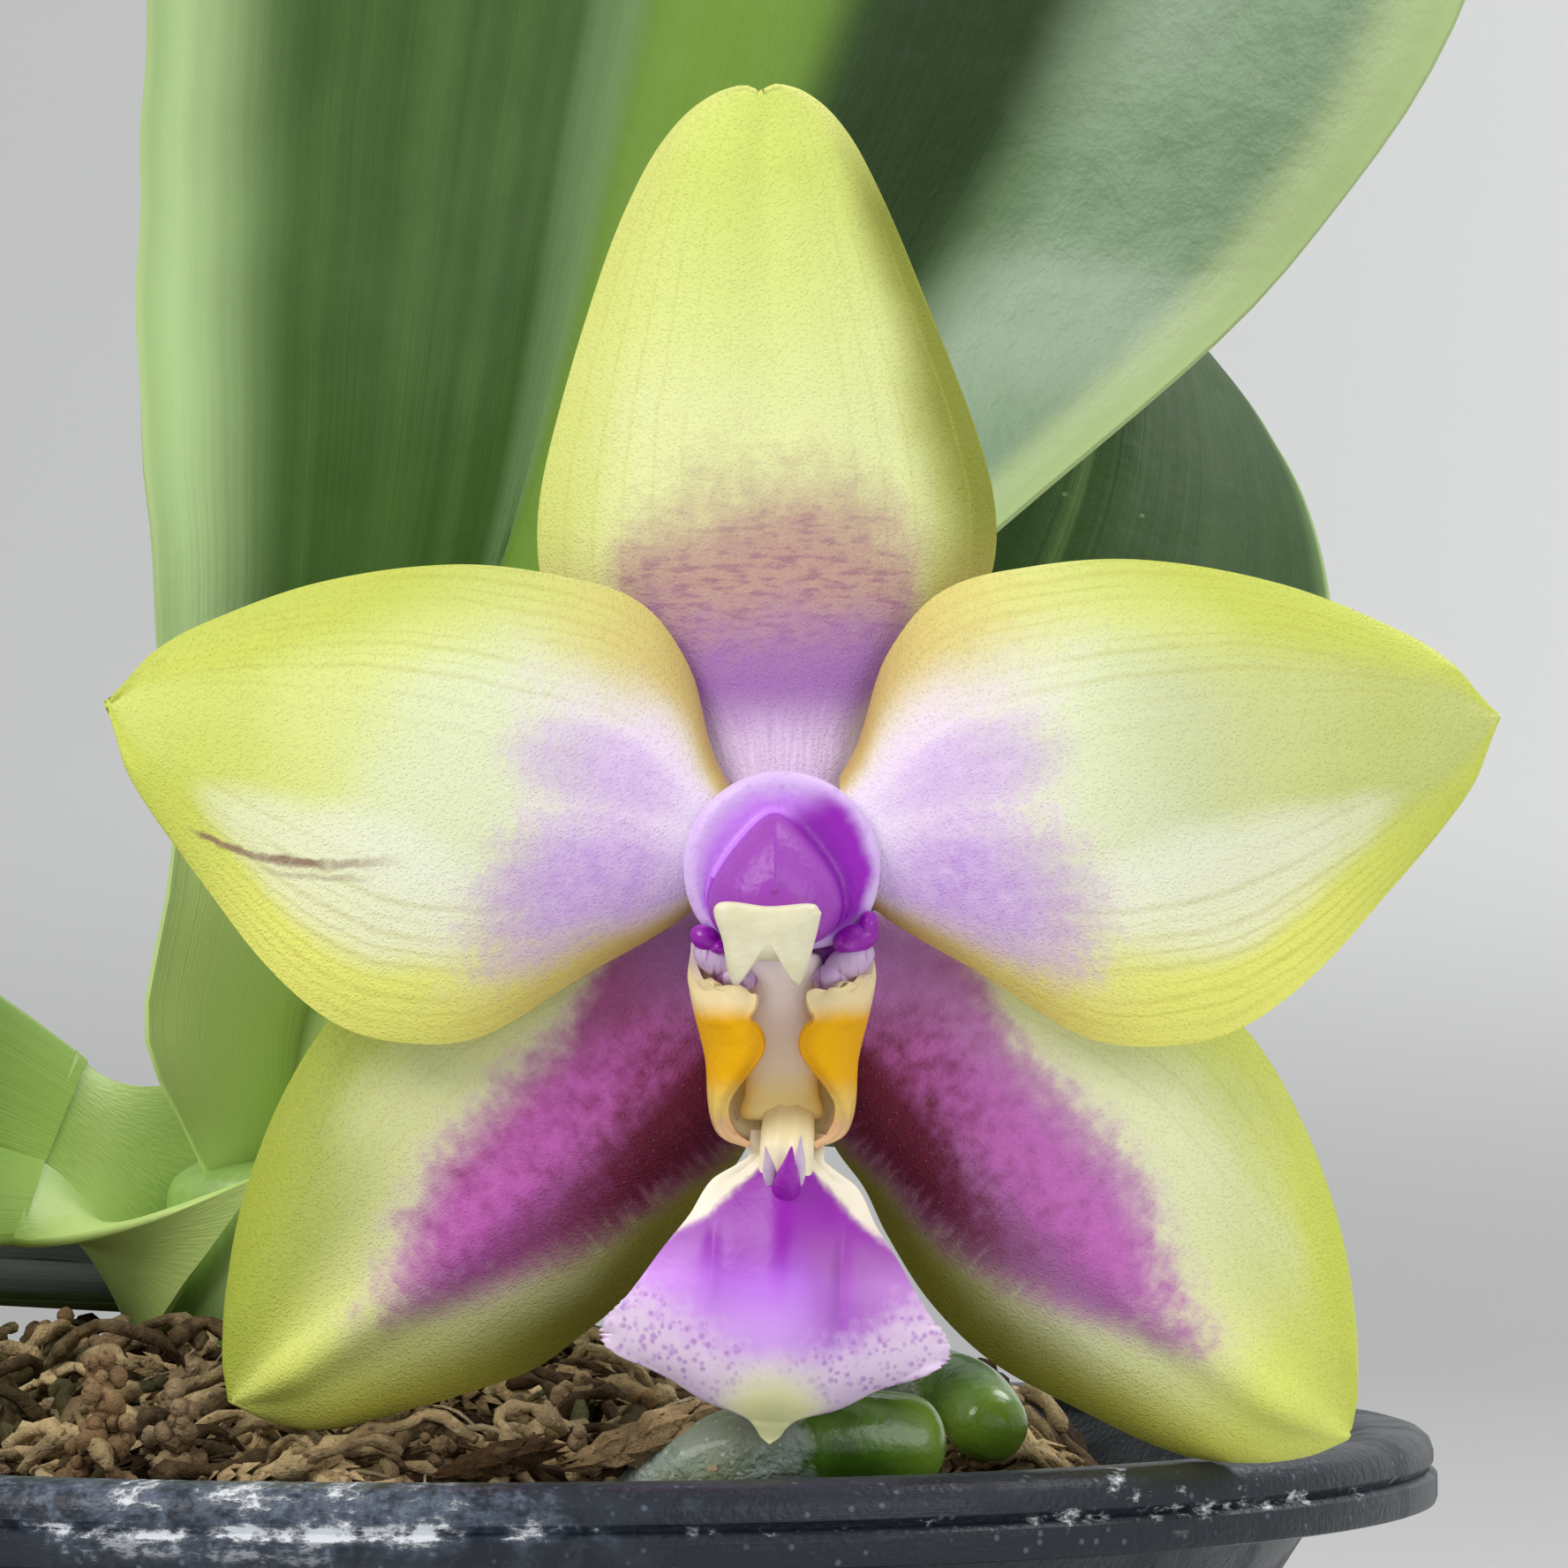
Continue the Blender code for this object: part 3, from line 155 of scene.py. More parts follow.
class LipSettings(bpy.types.PropertyGroup):
    thickness: length_setting("Thickness", "Thickness of the lip", 0.0009)
    gold: colour_setting("Gold", "Colour of the side lobes", tint(242, 180, 0))
    ivory: colour_setting("Ivory", "Colour of the side lobes' tops and the claw", tint(242, 222, 170))
    purple: colour_setting("Purple", "Colour of the keel", tint(140, 4, 160))
    orchid: colour_setting("Orchid", "Colour of the middle lobe", tint(220, 146, 250))
    blush: colour_setting("Blush", "Colour of the speckled margin", tint(246, 226, 246))
    butter: colour_setting("Butter", "Colour of the middle lobe's tip", tint(255, 255, 190))


class ColumnSettings(bpy.types.PropertyGroup):
    hood: colour_setting("Hood", "Colour of the column's hood", tint(160, 60, 184))
    gutter: colour_setting("Gutter", "Deep colour round the hood", tint(158, 16, 190))
    flare: colour_setting("Flare", "Colour of the flared rim", tint(212, 138, 250))
    cap: colour_setting("Anther cap", "Colour of the anther cap", tint(238, 232, 200))
    strap: colour_setting("Foot", "Colour of the column's foot", tint(252, 240, 234))


class StageSettings(bpy.types.PropertyGroup):
    floor: colour_setting("Floor", "Colour of the floor and backdrop", (0.76, 0.76, 0.75))
    key: number_setting("Key light", "Power of the soft light on the left", 10.0, "POWER")
    fill: number_setting("Fill light", "Power of the soft light on the right", 4.0, "POWER")
    back: number_setting("Back light", "Power of the light on the backdrop", 6.0, "POWER")
    high: number_setting("High light", "Power of the light above", 7.0, "POWER")
    sky: number_setting("Sky", "Strength of the light from all round", 0.58)
    lens: number_setting("Lens", "Focal length on a 36 mm sensor, in millimetres", 128.56)


SETTINGS = {
    "orchid_pot": PotSettings,
    "orchid_moss": MossSettings,
    "orchid_leaves": LeafSettings,
    "orchid_stem": StemSettings,
    "orchid_roots": RootSettings,
    "orchid_flower": FlowerSettings,
    "orchid_lip": LipSettings,
    "orchid_column": ColumnSettings,
    "orchid_stage": StageSettings,
}


# Shader writing


class Wire:
    """The output of a shader node. Sums of wires and numbers become Math nodes."""

    def __init__(self, finish, socket):
        self.finish = finish
        self.socket = socket

    def sum(self, operation, *values):
        return self.finish.node("ShaderNodeMath", {"operation": operation}, dict(enumerate(values)))

    def __add__(self, other):
        return self.sum("ADD", self, other)

    def __sub__(self, other):
        return self.sum("SUBTRACT", self, other)

    def __rsub__(self, other):
        return self.sum("SUBTRACT", other, self)

    def __mul__(self, other):
        return self.sum("MULTIPLY", self, other)

    def __truediv__(self, other):
        return self.sum("DIVIDE", self, other)

    def __abs__(self):
        return self.sum("ABSOLUTE", self)

    __radd__ = __add__
    __rmul__ = __mul__

    def at_least(self, other):
        return self.sum("MAXIMUM", self, other)

    def at_most(self, other):
        return self.sum("MINIMUM", self, other)

    def fade(self, low, high):
        """0 where the value is low and 1 where it is high, with an S-shaped change between them."""
        return self.finish.node(
            "ShaderNodeMapRange",
            {"interpolation_type": "SMOOTHSTEP"},
            {"Value": self, "From Min": low, "From Max": high},
        )


class Finish:
    """A material in the making, with its surface shader and the patterns that feed it."""

    def __init__(self, name, roughness, **constants):
        self.material = bpy.data.materials.new(name)
        self.material.use_nodes = True
        self.tree = self.material.node_tree
        self.tree.nodes.clear()
        self.shader = self.tree.nodes.new("ShaderNodeBsdfPrincipled")
        outlet = self.tree.nodes.new("ShaderNodeOutputMaterial")
        self.tree.links.new(self.shader.outputs["BSDF"], outlet.inputs["Surface"])
        self.give("Roughness", roughness)
        for socket, value in constants.items():
            self.give(socket.replace("_", " "), value)
        self.colour = (0, 0, 0)

    def feed(self, socket, value):
        if isinstance(value, Wire):
            self.tree.links.new(value.socket, socket)
        elif socket.type == "RGBA":
            socket.default_value = (*tuple(value)[:3], 1)
        else:
            socket.default_value = value

    def give(self, name, value):
        """Sets one of the surface shader's sockets to a number, a colour or a wire."""
        self.feed(self.shader.inputs[name], value)

    def node(self, kind, settings=None, sockets=None, output=0):
        """Adds a node, with its settings first and then the values or wires of its sockets."""
        made = self.tree.nodes.new(kind)
        for key, value in (settings or {}).items():
            setattr(made, key, value)
        for key, value in (sockets or {}).items():
            self.feed(made.inputs[key], value)
        return Wire(self, made.outputs[output])

    def place(self):
        return self.node("ShaderNodeTexCoord", output="Object")

    def split(self, vector):
        first = self.node("ShaderNodeSeparateXYZ", sockets={0: vector})
        outputs = first.socket.node.outputs
        return tuple(Wire(self, outputs[i]) for i in range(3))

    def join(self, x, y, z=0.0):
        return self.node("ShaderNodeCombineXYZ", sockets={0: x, 1: y, 2: z})

    def blade(self):
        """How far along a piece a point lies, 0 to 1, and how far across, -1 to 1."""
        along, across, _ = self.split(self.node("ShaderNodeUVMap", {"uv_map": "blade"}))
        return along, across * 2 - 1

    def grain(self, scale, detail=2.0, at=None, roughness=0.5):
        """Noise, 0 to 1, with features of about 1 / scale."""
        return self.node(
            "ShaderNodeTexNoise",
            sockets={
                "Vector": at or self.place(),
                "Scale": scale,
                "Detail": detail,
                "Roughness": roughness,
            },
        )

    def streaks(self, *stretched, detail=3, roughness=0.5):
        """Noise on stretched coordinates, for stripes, bars and threads."""
        return self.grain(1.0, detail, self.join(*stretched), roughness)

    def dots(self, scale):
        """The distance from the nearest of many scattered spots, and a number that each spot has."""
        near = self.node("ShaderNodeTexVoronoi", sockets={"Vector": self.place(), "Scale": scale})
        colour = Wire(self, near.socket.node.outputs["Color"])
        return near, self.split(colour)[0]

    def blend(self, first, second, share):
        """The first colour, changing to the second as the share goes from 0 to 1."""
        return self.node(
            "ShaderNodeMix", {"data_type": "RGBA"}, {0: share, 6: first, 7: second}, output=2
        )

    def start(self, first, second, share):
        """Sets the surface's colour: the first, changing to the second with the share."""
        self.colour = self.blend(first, second, share)

    def paint(self, colour, share):
        """Lays a colour over the surface's own, as far as the share says."""
        self.colour = self.blend(self.colour, colour, share)

    def done(self, height=0.0, distance=0.0, strength=1.0):
        """Gives the surface its colour and its relief, and hands over the material."""
        self.give("Base Color", self.colour)
        if isinstance(height, Wire):
            relief = {"Height": height, "Distance": distance, "Strength": strength}
            self.give("Normal", self.node("ShaderNodeBump", sockets=relief))
        return self.material

    def squares(self, value, width):
        """How far a value lies from 0, in widths, squared."""
        share = value / width
        return share * share

    def lines(self, value, count, width):
        """1 on thin lines, count of them for each unit of value, and 0 between them."""
        zigzag = self.node(
            "ShaderNodeMath", {"operation": "PINGPONG"}, {0: value * count, 1: 0.5}
        )
        return zigzag.fade(width, 0.0)


# Shapes


def mix(a, b, share):
    return a + (b - a) * share


def ease(low, high, value):
    share = min(1.0, max(0.0, (value - low) / (high - low)))
    return share * share * (3 - 2 * share)


def bump_at(value, middle, width):
    """A rounded hump of height 1 about the middle."""
    return exp(-(((value - middle) / width) ** 2))


def through(stations, t):
    """The value at t of a smooth curve through (t, value) stations; values are numbers or vectors."""
    times = [station[0] for station in stations]
    values = [station[1] for station in stations]
    last = len(times) - 1
    i = max(0, min(last - 1, bisect.bisect_right(times, t) - 1))

    def slope(k):
        a, b = max(0, k - 1), min(last, k + 1)
        return (values[b] - values[a]) / (times[b] - times[a])

    span = times[i + 1] - times[i]
    x = (t - times[i]) / span
    start = values[i] * (2 * x**3 - 3 * x**2 + 1)
    end = values[i + 1] * (3 * x**2 - 2 * x**3)
    leave = slope(i) * (x**3 - 2 * x**2 + x) * span
    arrive = slope(i + 1) * (x**3 - x**2) * span
    return start + end + leave + arrive


def ring_at(rings, t):
    """The values at t of every column but the first of a table of rings, whose first column is t."""
    return [through([(ring[0], ring[k]) for ring in rings], t) for k in range(1, len(rings[0]))]


def spaced(points):
    """The points as (t, vector) stations, with t running 0 to 1 by the distance between them."""
    vectors = [Vector(p) for p in points]
    reach = [0.0]
    for a, b in zip(vectors, vectors[1:]):
        reach.append(reach[-1] + (b - a).length)
    return [(d / reach[-1], v) for d, v in zip(reach, vectors)]


def start_clean():
    """Deselects everything, so that the next operator acts only on what it makes."""
    if bpy.context.mode != "OBJECT":
        bpy.ops.object.mode_set(mode="OBJECT")
    bpy.ops.object.select_all(action="DESELECT")


def named(name):
    piece = bpy.context.active_object
    piece.name = name
    piece.data.name = name
    return piece


def laid_out(name, point, along, across, spread=None, fullness=None, mirrored=False):
    """A grid whose points go to point(t, s): t is 0 to 1 along it, and s is -1 to 1 across.

    Its UV map, blade, keeps t and s. Fullness(t, s) is the share of the full
    thickness that a point gets later.
    """
    start_clean()
    bpy.ops.mesh.primitive_grid_add(x_subdivisions=along, y_subdivisions=across, size=2)
    piece = named(name)
    mesh = piece.data
    spots = []
    for vertex in mesh.vertices:
        t = (vertex.co.x + 1) / 2
        spots.append((spread(t) if spread else t, vertex.co.y))
    for vertex, (t, s) in zip(mesh.vertices, spots):
        vertex.co = point(t, s)
    layer = mesh.uv_layers.active or mesh.uv_layers.new()
    layer.name = "blade"
    turn = -1 if mirrored else 1
    for loop in mesh.loops:
        t, s = spots[loop.vertex_index]
        layer.uv[loop.index].vector = (max(0.0, t), (turn * s + 1) / 2)
    if fullness:
        group = piece.vertex_groups.new(name="fullness")
        for i, (t, s) in enumerate(spots):
            group.add([i], fullness(t, s), "REPLACE")
    return piece


def only(piece):
    start_clean()
    piece.select_set(True)
    bpy.context.view_layer.objects.active = piece


def close_up(piece, distance, outwards):
    """Merges the points that lie on each other, and turns the faces outwards where asked."""
    only(piece)
    bpy.ops.object.mode_set(mode="EDIT")
    bpy.ops.mesh.select_all(action="SELECT")
    bpy.ops.mesh.remove_doubles(threshold=distance)
    if outwards:
        bpy.ops.mesh.normals_make_consistent(inside=False)
    bpy.ops.object.mode_set(mode="OBJECT")


def smoothed(piece, angle):
    only(piece)
    bpy.ops.object.shade_smooth_by_angle(angle=radians(angle))
    return piece


def closed_form(name, point, along, across, angle=180, spread=None):
    """A smooth closed skin: a grid that point(t, s) rolls up, with its seam and ends merged."""
    piece = laid_out(name, point, along, across, spread)
    close_up(piece, distance=0.000002, outwards=True)
    return smoothed(piece, angle)


def apply_modifiers(piece):
    only(piece)
    for step in list(piece.modifiers):
        bpy.ops.object.modifier_apply(modifier=step.name)
    return piece


def thickened(piece, thickness, finishes=(), rim=0):
    """Gives a sheet its wall: the new faces take the second finish, and the rim the one named."""
    for finish in finishes:
        piece.data.materials.append(finish)
    close_up(piece, distance=0.00001, outwards=False)
    wall = piece.modifiers.new("wall", "SOLIDIFY")
    wall.material_offset_rim = rim
    wall.thickness = thickness
    wall.offset = 0
    wall.vertex_group = "fullness"
    wall.use_even_offset = False
    wall.material_offset = 1
    apply_modifiers(piece)
    piece.vertex_groups.clear()
    return smoothed(piece, 70)


def thin_edges(edge, power, tip):
    """How full a blade is: all over its middle, and down to a share at its margins and its tip."""
    return lambda t, s: mix(1.0, edge, max(abs(s) ** power, ease(tip, 1.0, t)))


def tube(name, points, radius_at, along, around, up=(0, 0, 1), spread=None):
    """A closed tube along a smooth line, with radius_at(t, turn) and rounded ends."""
    line = spaced(points)
    reference = Vector(up)

    @functools.lru_cache(maxsize=None)
    def frame_at(t):
        ahead, behind = min(1.0, t + 0.01), max(0.0, t - 0.01)
        forward = (through(line, ahead) - through(line, behind)).normalized()
        side = forward.cross(reference).normalized()
        return through(line, t), side, side.cross(forward)

    def point(t, s):
        centre, side, upward = frame_at(t)
        turn = pi * s
        radius = radius_at(t, turn) if 0 < t < 1 else 0.0
        return centre + (side * cos(turn) + upward * sin(turn)) * radius

    return closed_form(name, point, along, around, 60, spread)


def join_pieces(first, others):
    start_clean()
    for other in others:
        other.select_set(True)
    first.select_set(True)
    bpy.context.view_layer.objects.active = first
    bpy.ops.object.join()
    return first


def finished(piece, slot, finishes, *nodes):
    """Gives a piece its finishes, where it has none yet, and its place on the part."""
    if not len(piece.data.materials):
        for finish in finishes:
            piece.data.materials.append(finish)
    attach(piece, "root")
    if nodes:
        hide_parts(*nodes)
    return piece


# Pot


def pot_profile(height, rim):
    """(radius, height) up the outside, over the rim and down the inside, from axis to axis."""
    foot, neck_radius, wall = 0.034, 0.0412, 0.0013
    neck, skirt, groove = height - 0.0085, height - 0.0039, height - 0.0021
    inner, floor_edge = rim - 0.005, foot - wall - 0.001
    boss_and_ring = [
        (0.0, 0.0), (0.0090, 0.0), (0.0094, 0.0004), (0.0098, 0.0008),
        (foot - 0.0055, 0.0008), (foot - 0.0051, 0.0004), (foot - 0.0047, 0.0),
        (foot - 0.0012, 0.0), (foot - 0.0004, 0.0004), (foot, 0.0012),
    ]
    outside = [
        (foot + 0.0003, 0.0045), (foot + 0.0001, 0.005), (mix(foot, neck_radius, 0.5), neck * 0.5),
        (neck_radius, neck), (neck_radius + 0.0012, neck + 0.0019),
        (neck_radius + 0.0029, neck + 0.0045), (neck_radius + 0.0049, height - wall),
    ]
    under_rim = [
        (rim - wall - 0.0004, height - wall), (rim - wall - 0.0001, height - wall - 0.0003),
        (rim - wall, skirt + 0.0002), (rim - wall + 0.0002, skirt), (rim - 0.0004, skirt),
    ]
    rim_and_groove = [
        (rim - 0.0001, skirt + 0.0001), (rim, skirt + 0.0004), (rim, groove - 0.0003),
        (rim - 0.0002, groove - 0.0001), (rim - 0.0005, groove), (rim - 0.0004, groove + 0.0002),
        (rim - 0.0002, groove + 0.0004), (rim - 0.0002, height - 0.0012),
        (rim - 0.0004, height - 0.0006), (rim - 0.0009, height - 0.0002),
        (rim - 0.0016, height), (rim - 0.0026, height),
    ]
    inside = [
        (inner + 0.0014, height), (inner + 0.0006, height - 0.0002),
        (inner + 0.0001, height - 0.0007), (inner, height - 0.0014),
        (neck_radius + 0.0028, neck + 0.0062), (neck_radius + 0.002, neck + 0.0053),
        (neck_radius - wall, neck + 0.0004), (floor_edge + 0.001, 0.0032),
        (floor_edge + 0.0006, 0.0025), (floor_edge, 0.0022), (0.0, 0.0022),
    ]
    return boss_and_ring + outside + under_rim + rim_and_groove + inside


def pulled_out(name, profile, sides):
    """A disc whose edge is pulled through (radius, height) stations; it stays in edit mode."""
    start_clean()
    radius, level = profile[0]
    bpy.ops.mesh.primitive_circle_add(vertices=sides, radius=radius, location=(0, 0, level))
    piece = named(name)
    bpy.ops.object.transform_apply(location=True)
    bpy.ops.object.mode_set(mode="EDIT")
    bpy.ops.mesh.select_all(action="SELECT")
    bpy.ops.mesh.edge_face_add()
    bpy.ops.mesh.poke()
    bpy.ops.mesh.select_all(action="DESELECT")
    bpy.ops.mesh.select_mode(type="EDGE")
    bpy.ops.mesh.select_non_manifold()
    for wide, height in profile[1:]:
        bpy.ops.mesh.extrude_edges_move(TRANSFORM_OT_translate={"value": (0, 0, height - level)})
        grow = (wide / radius, wide / radius, 1)
        bpy.ops.transform.resize(value=grow, center_override=(0, 0, height))
        radius, level = wide, height
    return piece


def turned_pot(profile, sides):
    """Pulls a ring of edges from the axis out, up and back to the axis, and closes its two ends."""
    pot = pulled_out("pot_body", profile[1:-1], sides)
    bpy.ops.mesh.edge_face_add()
    bpy.ops.mesh.poke()
    bpy.ops.mesh.select_all(action="SELECT")
    bpy.ops.mesh.normals_make_consistent(inside=False)
    bpy.ops.object.mode_set(mode="OBJECT")
    return pot


def drill_holes(pot):
    """Cuts the drain holes through the floor, in a ring about the axis."""
    holes, ring, radius = 6, 0.0195, 0.004
    for i in range(holes):
        angle = 2 * pi * (i + 0.5) / holes
        spot = (ring * cos(angle), ring * sin(angle), 0.0011)
        start_clean()
        bpy.ops.mesh.primitive_cylinder_add(vertices=32, radius=radius, depth=0.0088, location=spot)
        drill = named("drill")
        cut = pot.modifiers.new("hole", "BOOLEAN")
        cut.operation = "DIFFERENCE"
        cut.object = drill
        apply_modifiers(pot)
        bpy.data.objects.remove(drill)


def plastic_finish(pot):
    """Black plastic with turning lines, scuffs, dust, and a crust of hard-water salts on the rim. The
    dust is kept off the far right side, which stays darker as painted shade.
    """
    finish = Finish("black_plastic", 0.4, Specular_IOR_Level=0.35)
    x, y, z = finish.split(finish.place())
    dust = finish.grain(260, 4).fade(0.42, 0.72)
    turning = finish.grain(9, 3, finish.join(x * 3, y * 3, z * 900))
    specks, lot = finish.dots(1500)
    speck = specks.fade(0.3, 0.12) * lot.fade(0.62, 0.8)
    # Dust on the plastic, kept off the far right so that side stays darker: painted shade
    finish.start(pot.plastic, tint(62, 70, 82), dust * x.fade(0.03, 0.0) * 0.35)
    finish.paint(tint(112, 122, 138), speck * 0.5)

    high = z.fade(POT_TOP - 0.0046, POT_TOP - 0.0004)
    groove = abs(z - (POT_TOP - 0.0021)).fade(0.0006, 0.0001)
    left = finish.squares(x + 0.007, 0.011)
    right = finish.squares(x - 0.0335, 0.0085)
    front = y.fade(0.0, -0.02)
    zone = (left.fade(1.4, 0.2) + right.fade(1.6, 0.2) * 0.5) * front
    crusty = x.fade(0.016, -0.002)
    ring = finish.node("ShaderNodeMath", {"operation": "ARCTAN2"}, {0: x, 1: y * -1.0})
    flow = finish.join(ring * 0.022, z * 1.0)
    patch = finish.grain(700, 5, flow, 0.66) + finish.grain(1900, 3) * 0.3
    cover = zone * 0.17 + high * 0.04 + groove * 0.11 + (pot.crust_cover - 0.5) * 0.16
    crust = (patch + cover).fade(0.84, 0.96) * (high + groove * 0.8).at_most(1.0)
    mottled = finish.grain(900, 4, roughness=0.7).fade(0.5, 0.72) * high
    finish.paint(tint(126, 140, 160), mottled * crusty * 0.55)
    veil = (patch + cover).fade(0.7, 0.9) * high * crusty * 0.6
    finish.paint(tint(112, 124, 146), veil)
    finish.paint(pot.crust, crust)
    finish.give("Roughness", 0.36 + dust * 0.22 + crust * 0.35)
    height = turning * 0.12 + finish.grain(2400, 2) * 0.35 + crust * 1.2
    return finish.done(height, 0.00025)


# Moss


STEM_CENTRE = (-0.011, 0.006)
# How far from the pot's axis strands may start, and how far they may reach
BED_REACH = 0.0405
BED_EDGE = 0.0415


def moss_height(x, y):
    """The bed's surface: a mound near the stem that falls away to the pot's right-hand side."""
    away = hypot(x + 0.012, y - 0.002)
    mound = 0.0058 * exp(-((away / 0.02) ** 2) / 2)
    dip = 0.006 * ease(0.027, 0.036, x)
    spot = Vector((x, y, 0)) / 0.005
    lumps = 0.0011 * (noise.noise(spot) + 0.5 * noise.noise(spot * 2.1))
    return 0.0832 + mound - dip + lumps


def pot_inside_radius(height):
    neck = POT_TOP - 0.0081
    if height > neck:
        return 0.0399 + 0.0033 * min(1.0, (height - neck) / 0.0049)
    return mix(0.0327, 0.0399, (height - 0.0032) / (neck - 0.0032))


def moss_bed():
    """The bed under the strands: rings from its foot up the pot's wall and over its top."""
    rings = (
        (0.0, 0.0, "foot"),
        (0.05, 0.0305, "foot"),
        (0.1, 0.0413, "low"),
        (0.3, 0.0413, "side"),
        (0.36, 0.0413, "brow"),
        (0.4, 0.0405, "top"),
        (1.0, 0.0, "top"),
    )

    def height_of(kind, x, y):
        surface = moss_height(x, y) - 0.0017
        return {
            "foot": 0.0026,
            "low": 0.0046,
            "side": min(0.072, surface - 0.006),
            "brow": surface - 0.002,
            "top": surface,
        }[kind]

    def point(t, s):
        turn = pi * s
        at = bisect.bisect_right([ring[0] for ring in rings], t) - 1
        at = min(at, len(rings) - 2)
        (t0, r0, kind0), (t1, r1, kind1) = rings[at], rings[at + 1]
        share = (t - t0) / (t1 - t0)
        radius = mix(r0, r1, share)
        x, y = radius * cos(turn), radius * sin(turn)
        height = mix(height_of(kind0, x, y), height_of(kind1, x, y), share)
        if kind0 == "top":
            spot = Vector((x, y, 0)) / 0.0011
            height += 0.0007 * noise.noise(spot) + 0.0004 * noise.noise(spot * 2.3)
        radius = min(radius, pot_inside_radius(height) - 0.0008)
        return Vector((radius * cos(turn), radius * sin(turn), height))

    return closed_form("moss_bed", point, 130, 220)


# A moss scale: its faces, and how far along it each of its six points lies
SCALE_FACES = ((0, 1, 2), (0, 2, 3), (1, 4, 2), (2, 4, 3), (1, 0, 5), (0, 3, 5), (4, 1, 5), (3, 4, 5))
SCALE_PLACES = (0.1, 0.5, 0.6, 0.5, 1.0, 0.3)


class Tangle:
    """Gathers many small strands, which then become one mesh."""

    def __init__(self):
        self.points = []
        self.faces = []
        self.corners = []

    def strand(self, line, radii, sides, tone, flat, twist, seed):
        """Adds a strand along a line of points, with a radius at each and its tone as UV height."""
        first = len(self.points)
        last = len(line) - 1
        side = None
        for k, (centre, radius) in enumerate(zip(line, radii)):
            forward = (line[min(last, k + 1)] - line[max(0, k - 1)]).normalized()
            if side is None:
                side = forward.orthogonal().normalized()
            side = (side - forward * side.dot(forward)).normalized()
            up = forward.cross(side)
            for i in range(sides):
                turn = 2 * pi * i / sides + twist * k
                lump = 1 + 0.16 * noise.noise(Vector((k * 0.9, i * 1.7, seed)))
                out = side * cos(turn) + up * (sin(turn) * flat)
                self.points.append(centre + out * radius * lump)
        for k in range(last):
            for i in range(sides):
                j = (i + 1) % sides
                a, b = first + k * sides, first + (k + 1) * sides
                self.faces.append((a + i, a + j, b + j, b + i))
                near, far = k / last, (k + 1) / last
                self.corners.append(((near, tone), (near, tone), (far, tone), (far, tone)))
        self.faces.append(tuple(first + i for i in reversed(range(sides))))
        self.corners.append(((0.0, tone),) * sides)
        end = first + last * sides
        self.faces.append(tuple(end + i for i in range(sides)))
        self.corners.append(((1.0, tone),) * sides)

    def scale(self, root, belly, tip, out, half, tone):
        """Adds a small pointed scale with a keel: three ribs from its root to its tip."""
        first = len(self.points)
        across = (tip - root).cross(out).normalized() * half
        under = out * (half * 0.35)
        self.points += [root, belly + across - under, belly + under, belly - across - under, tip]
        self.points.append(belly - under * 1.6)
        for face in SCALE_FACES:
            self.faces.append(tuple(first + i for i in face))
            self.corners.append(tuple((SCALE_PLACES[i], tone) for i in face))

    def piece(self, name, angle=180):
        mesh = bpy.data.meshes.new(name)
        mesh.from_pydata(self.points, [], self.faces)
        layer = mesh.uv_layers.new(name="blade")
        flat = [value for face in self.corners for corner in face for value in corner]
        layer.uv.foreach_set("vector", flat)
        mesh.update()
        made = bpy.data.objects.new(name, mesh)
        bpy.context.scene.collection.objects.link(made)
        return smoothed(made, angle)


def strand_line(draw, spot, length, rise, bend, steps):
    """A crooked line of points that starts at a spot on the bed and stays on it."""
    x, y = spot
    heading = draw.uniform(0, 2 * pi)
    height = draw.uniform(-0.0012, 0.0005)
    line = []
    for k in range(steps + 1):
        lift = rise * length * sin(pi * 0.8 * k / steps)
        line.append(Vector((x, y, moss_height(x, y) + height + lift)))
        heading += draw.uniform(-bend, bend)
        x += cos(heading) * length / steps
        y += sin(heading) * length / steps
    return line


def spot_on_bed(draw, reach):
    """A random spot on the bed, clear of the stem and the roots' green tips."""
    while True:
        x, y = draw.uniform(-reach, reach), draw.uniform(-reach, reach)
        off_bed = hypot(x, y) > reach or x > 0.0335
        at_stem = hypot(x - STEM_CENTRE[0], y - STEM_CENTRE[1]) < 0.0085
        at_tips = 0.0145 < x < 0.0285 and -0.0375 < y < -0.025
        if not (off_bed or at_stem or at_tips):
            return x, y


def inside_pot(line):
    """Whether all of a strand stays clear of the pot's wall."""
    return all(hypot(p.x, p.y) < BED_EDGE for p in line)


def lines_on_bed(draw, count, lengths, rises, bend, steps):
    """Crooked lines at random places on the bed, all inside the pot."""
    while count:
        length = draw.uniform(*lengths)
        line = strand_line(draw, spot_on_bed(draw, BED_REACH), length, draw.uniform(*rises), bend, steps)
        if inside_pot(line):
            count -= 1
            yield line


# Two big tails at the front: their two ends and their radius
FRONT_TAILS = (
    ((0.0050, -0.0372, 0.0850), (0.0122, -0.0350, 0.0872), 0.0013),
    ((-0.0010, -0.0384, 0.0846), (0.0040, -0.0360, 0.0858), 0.0009),
)


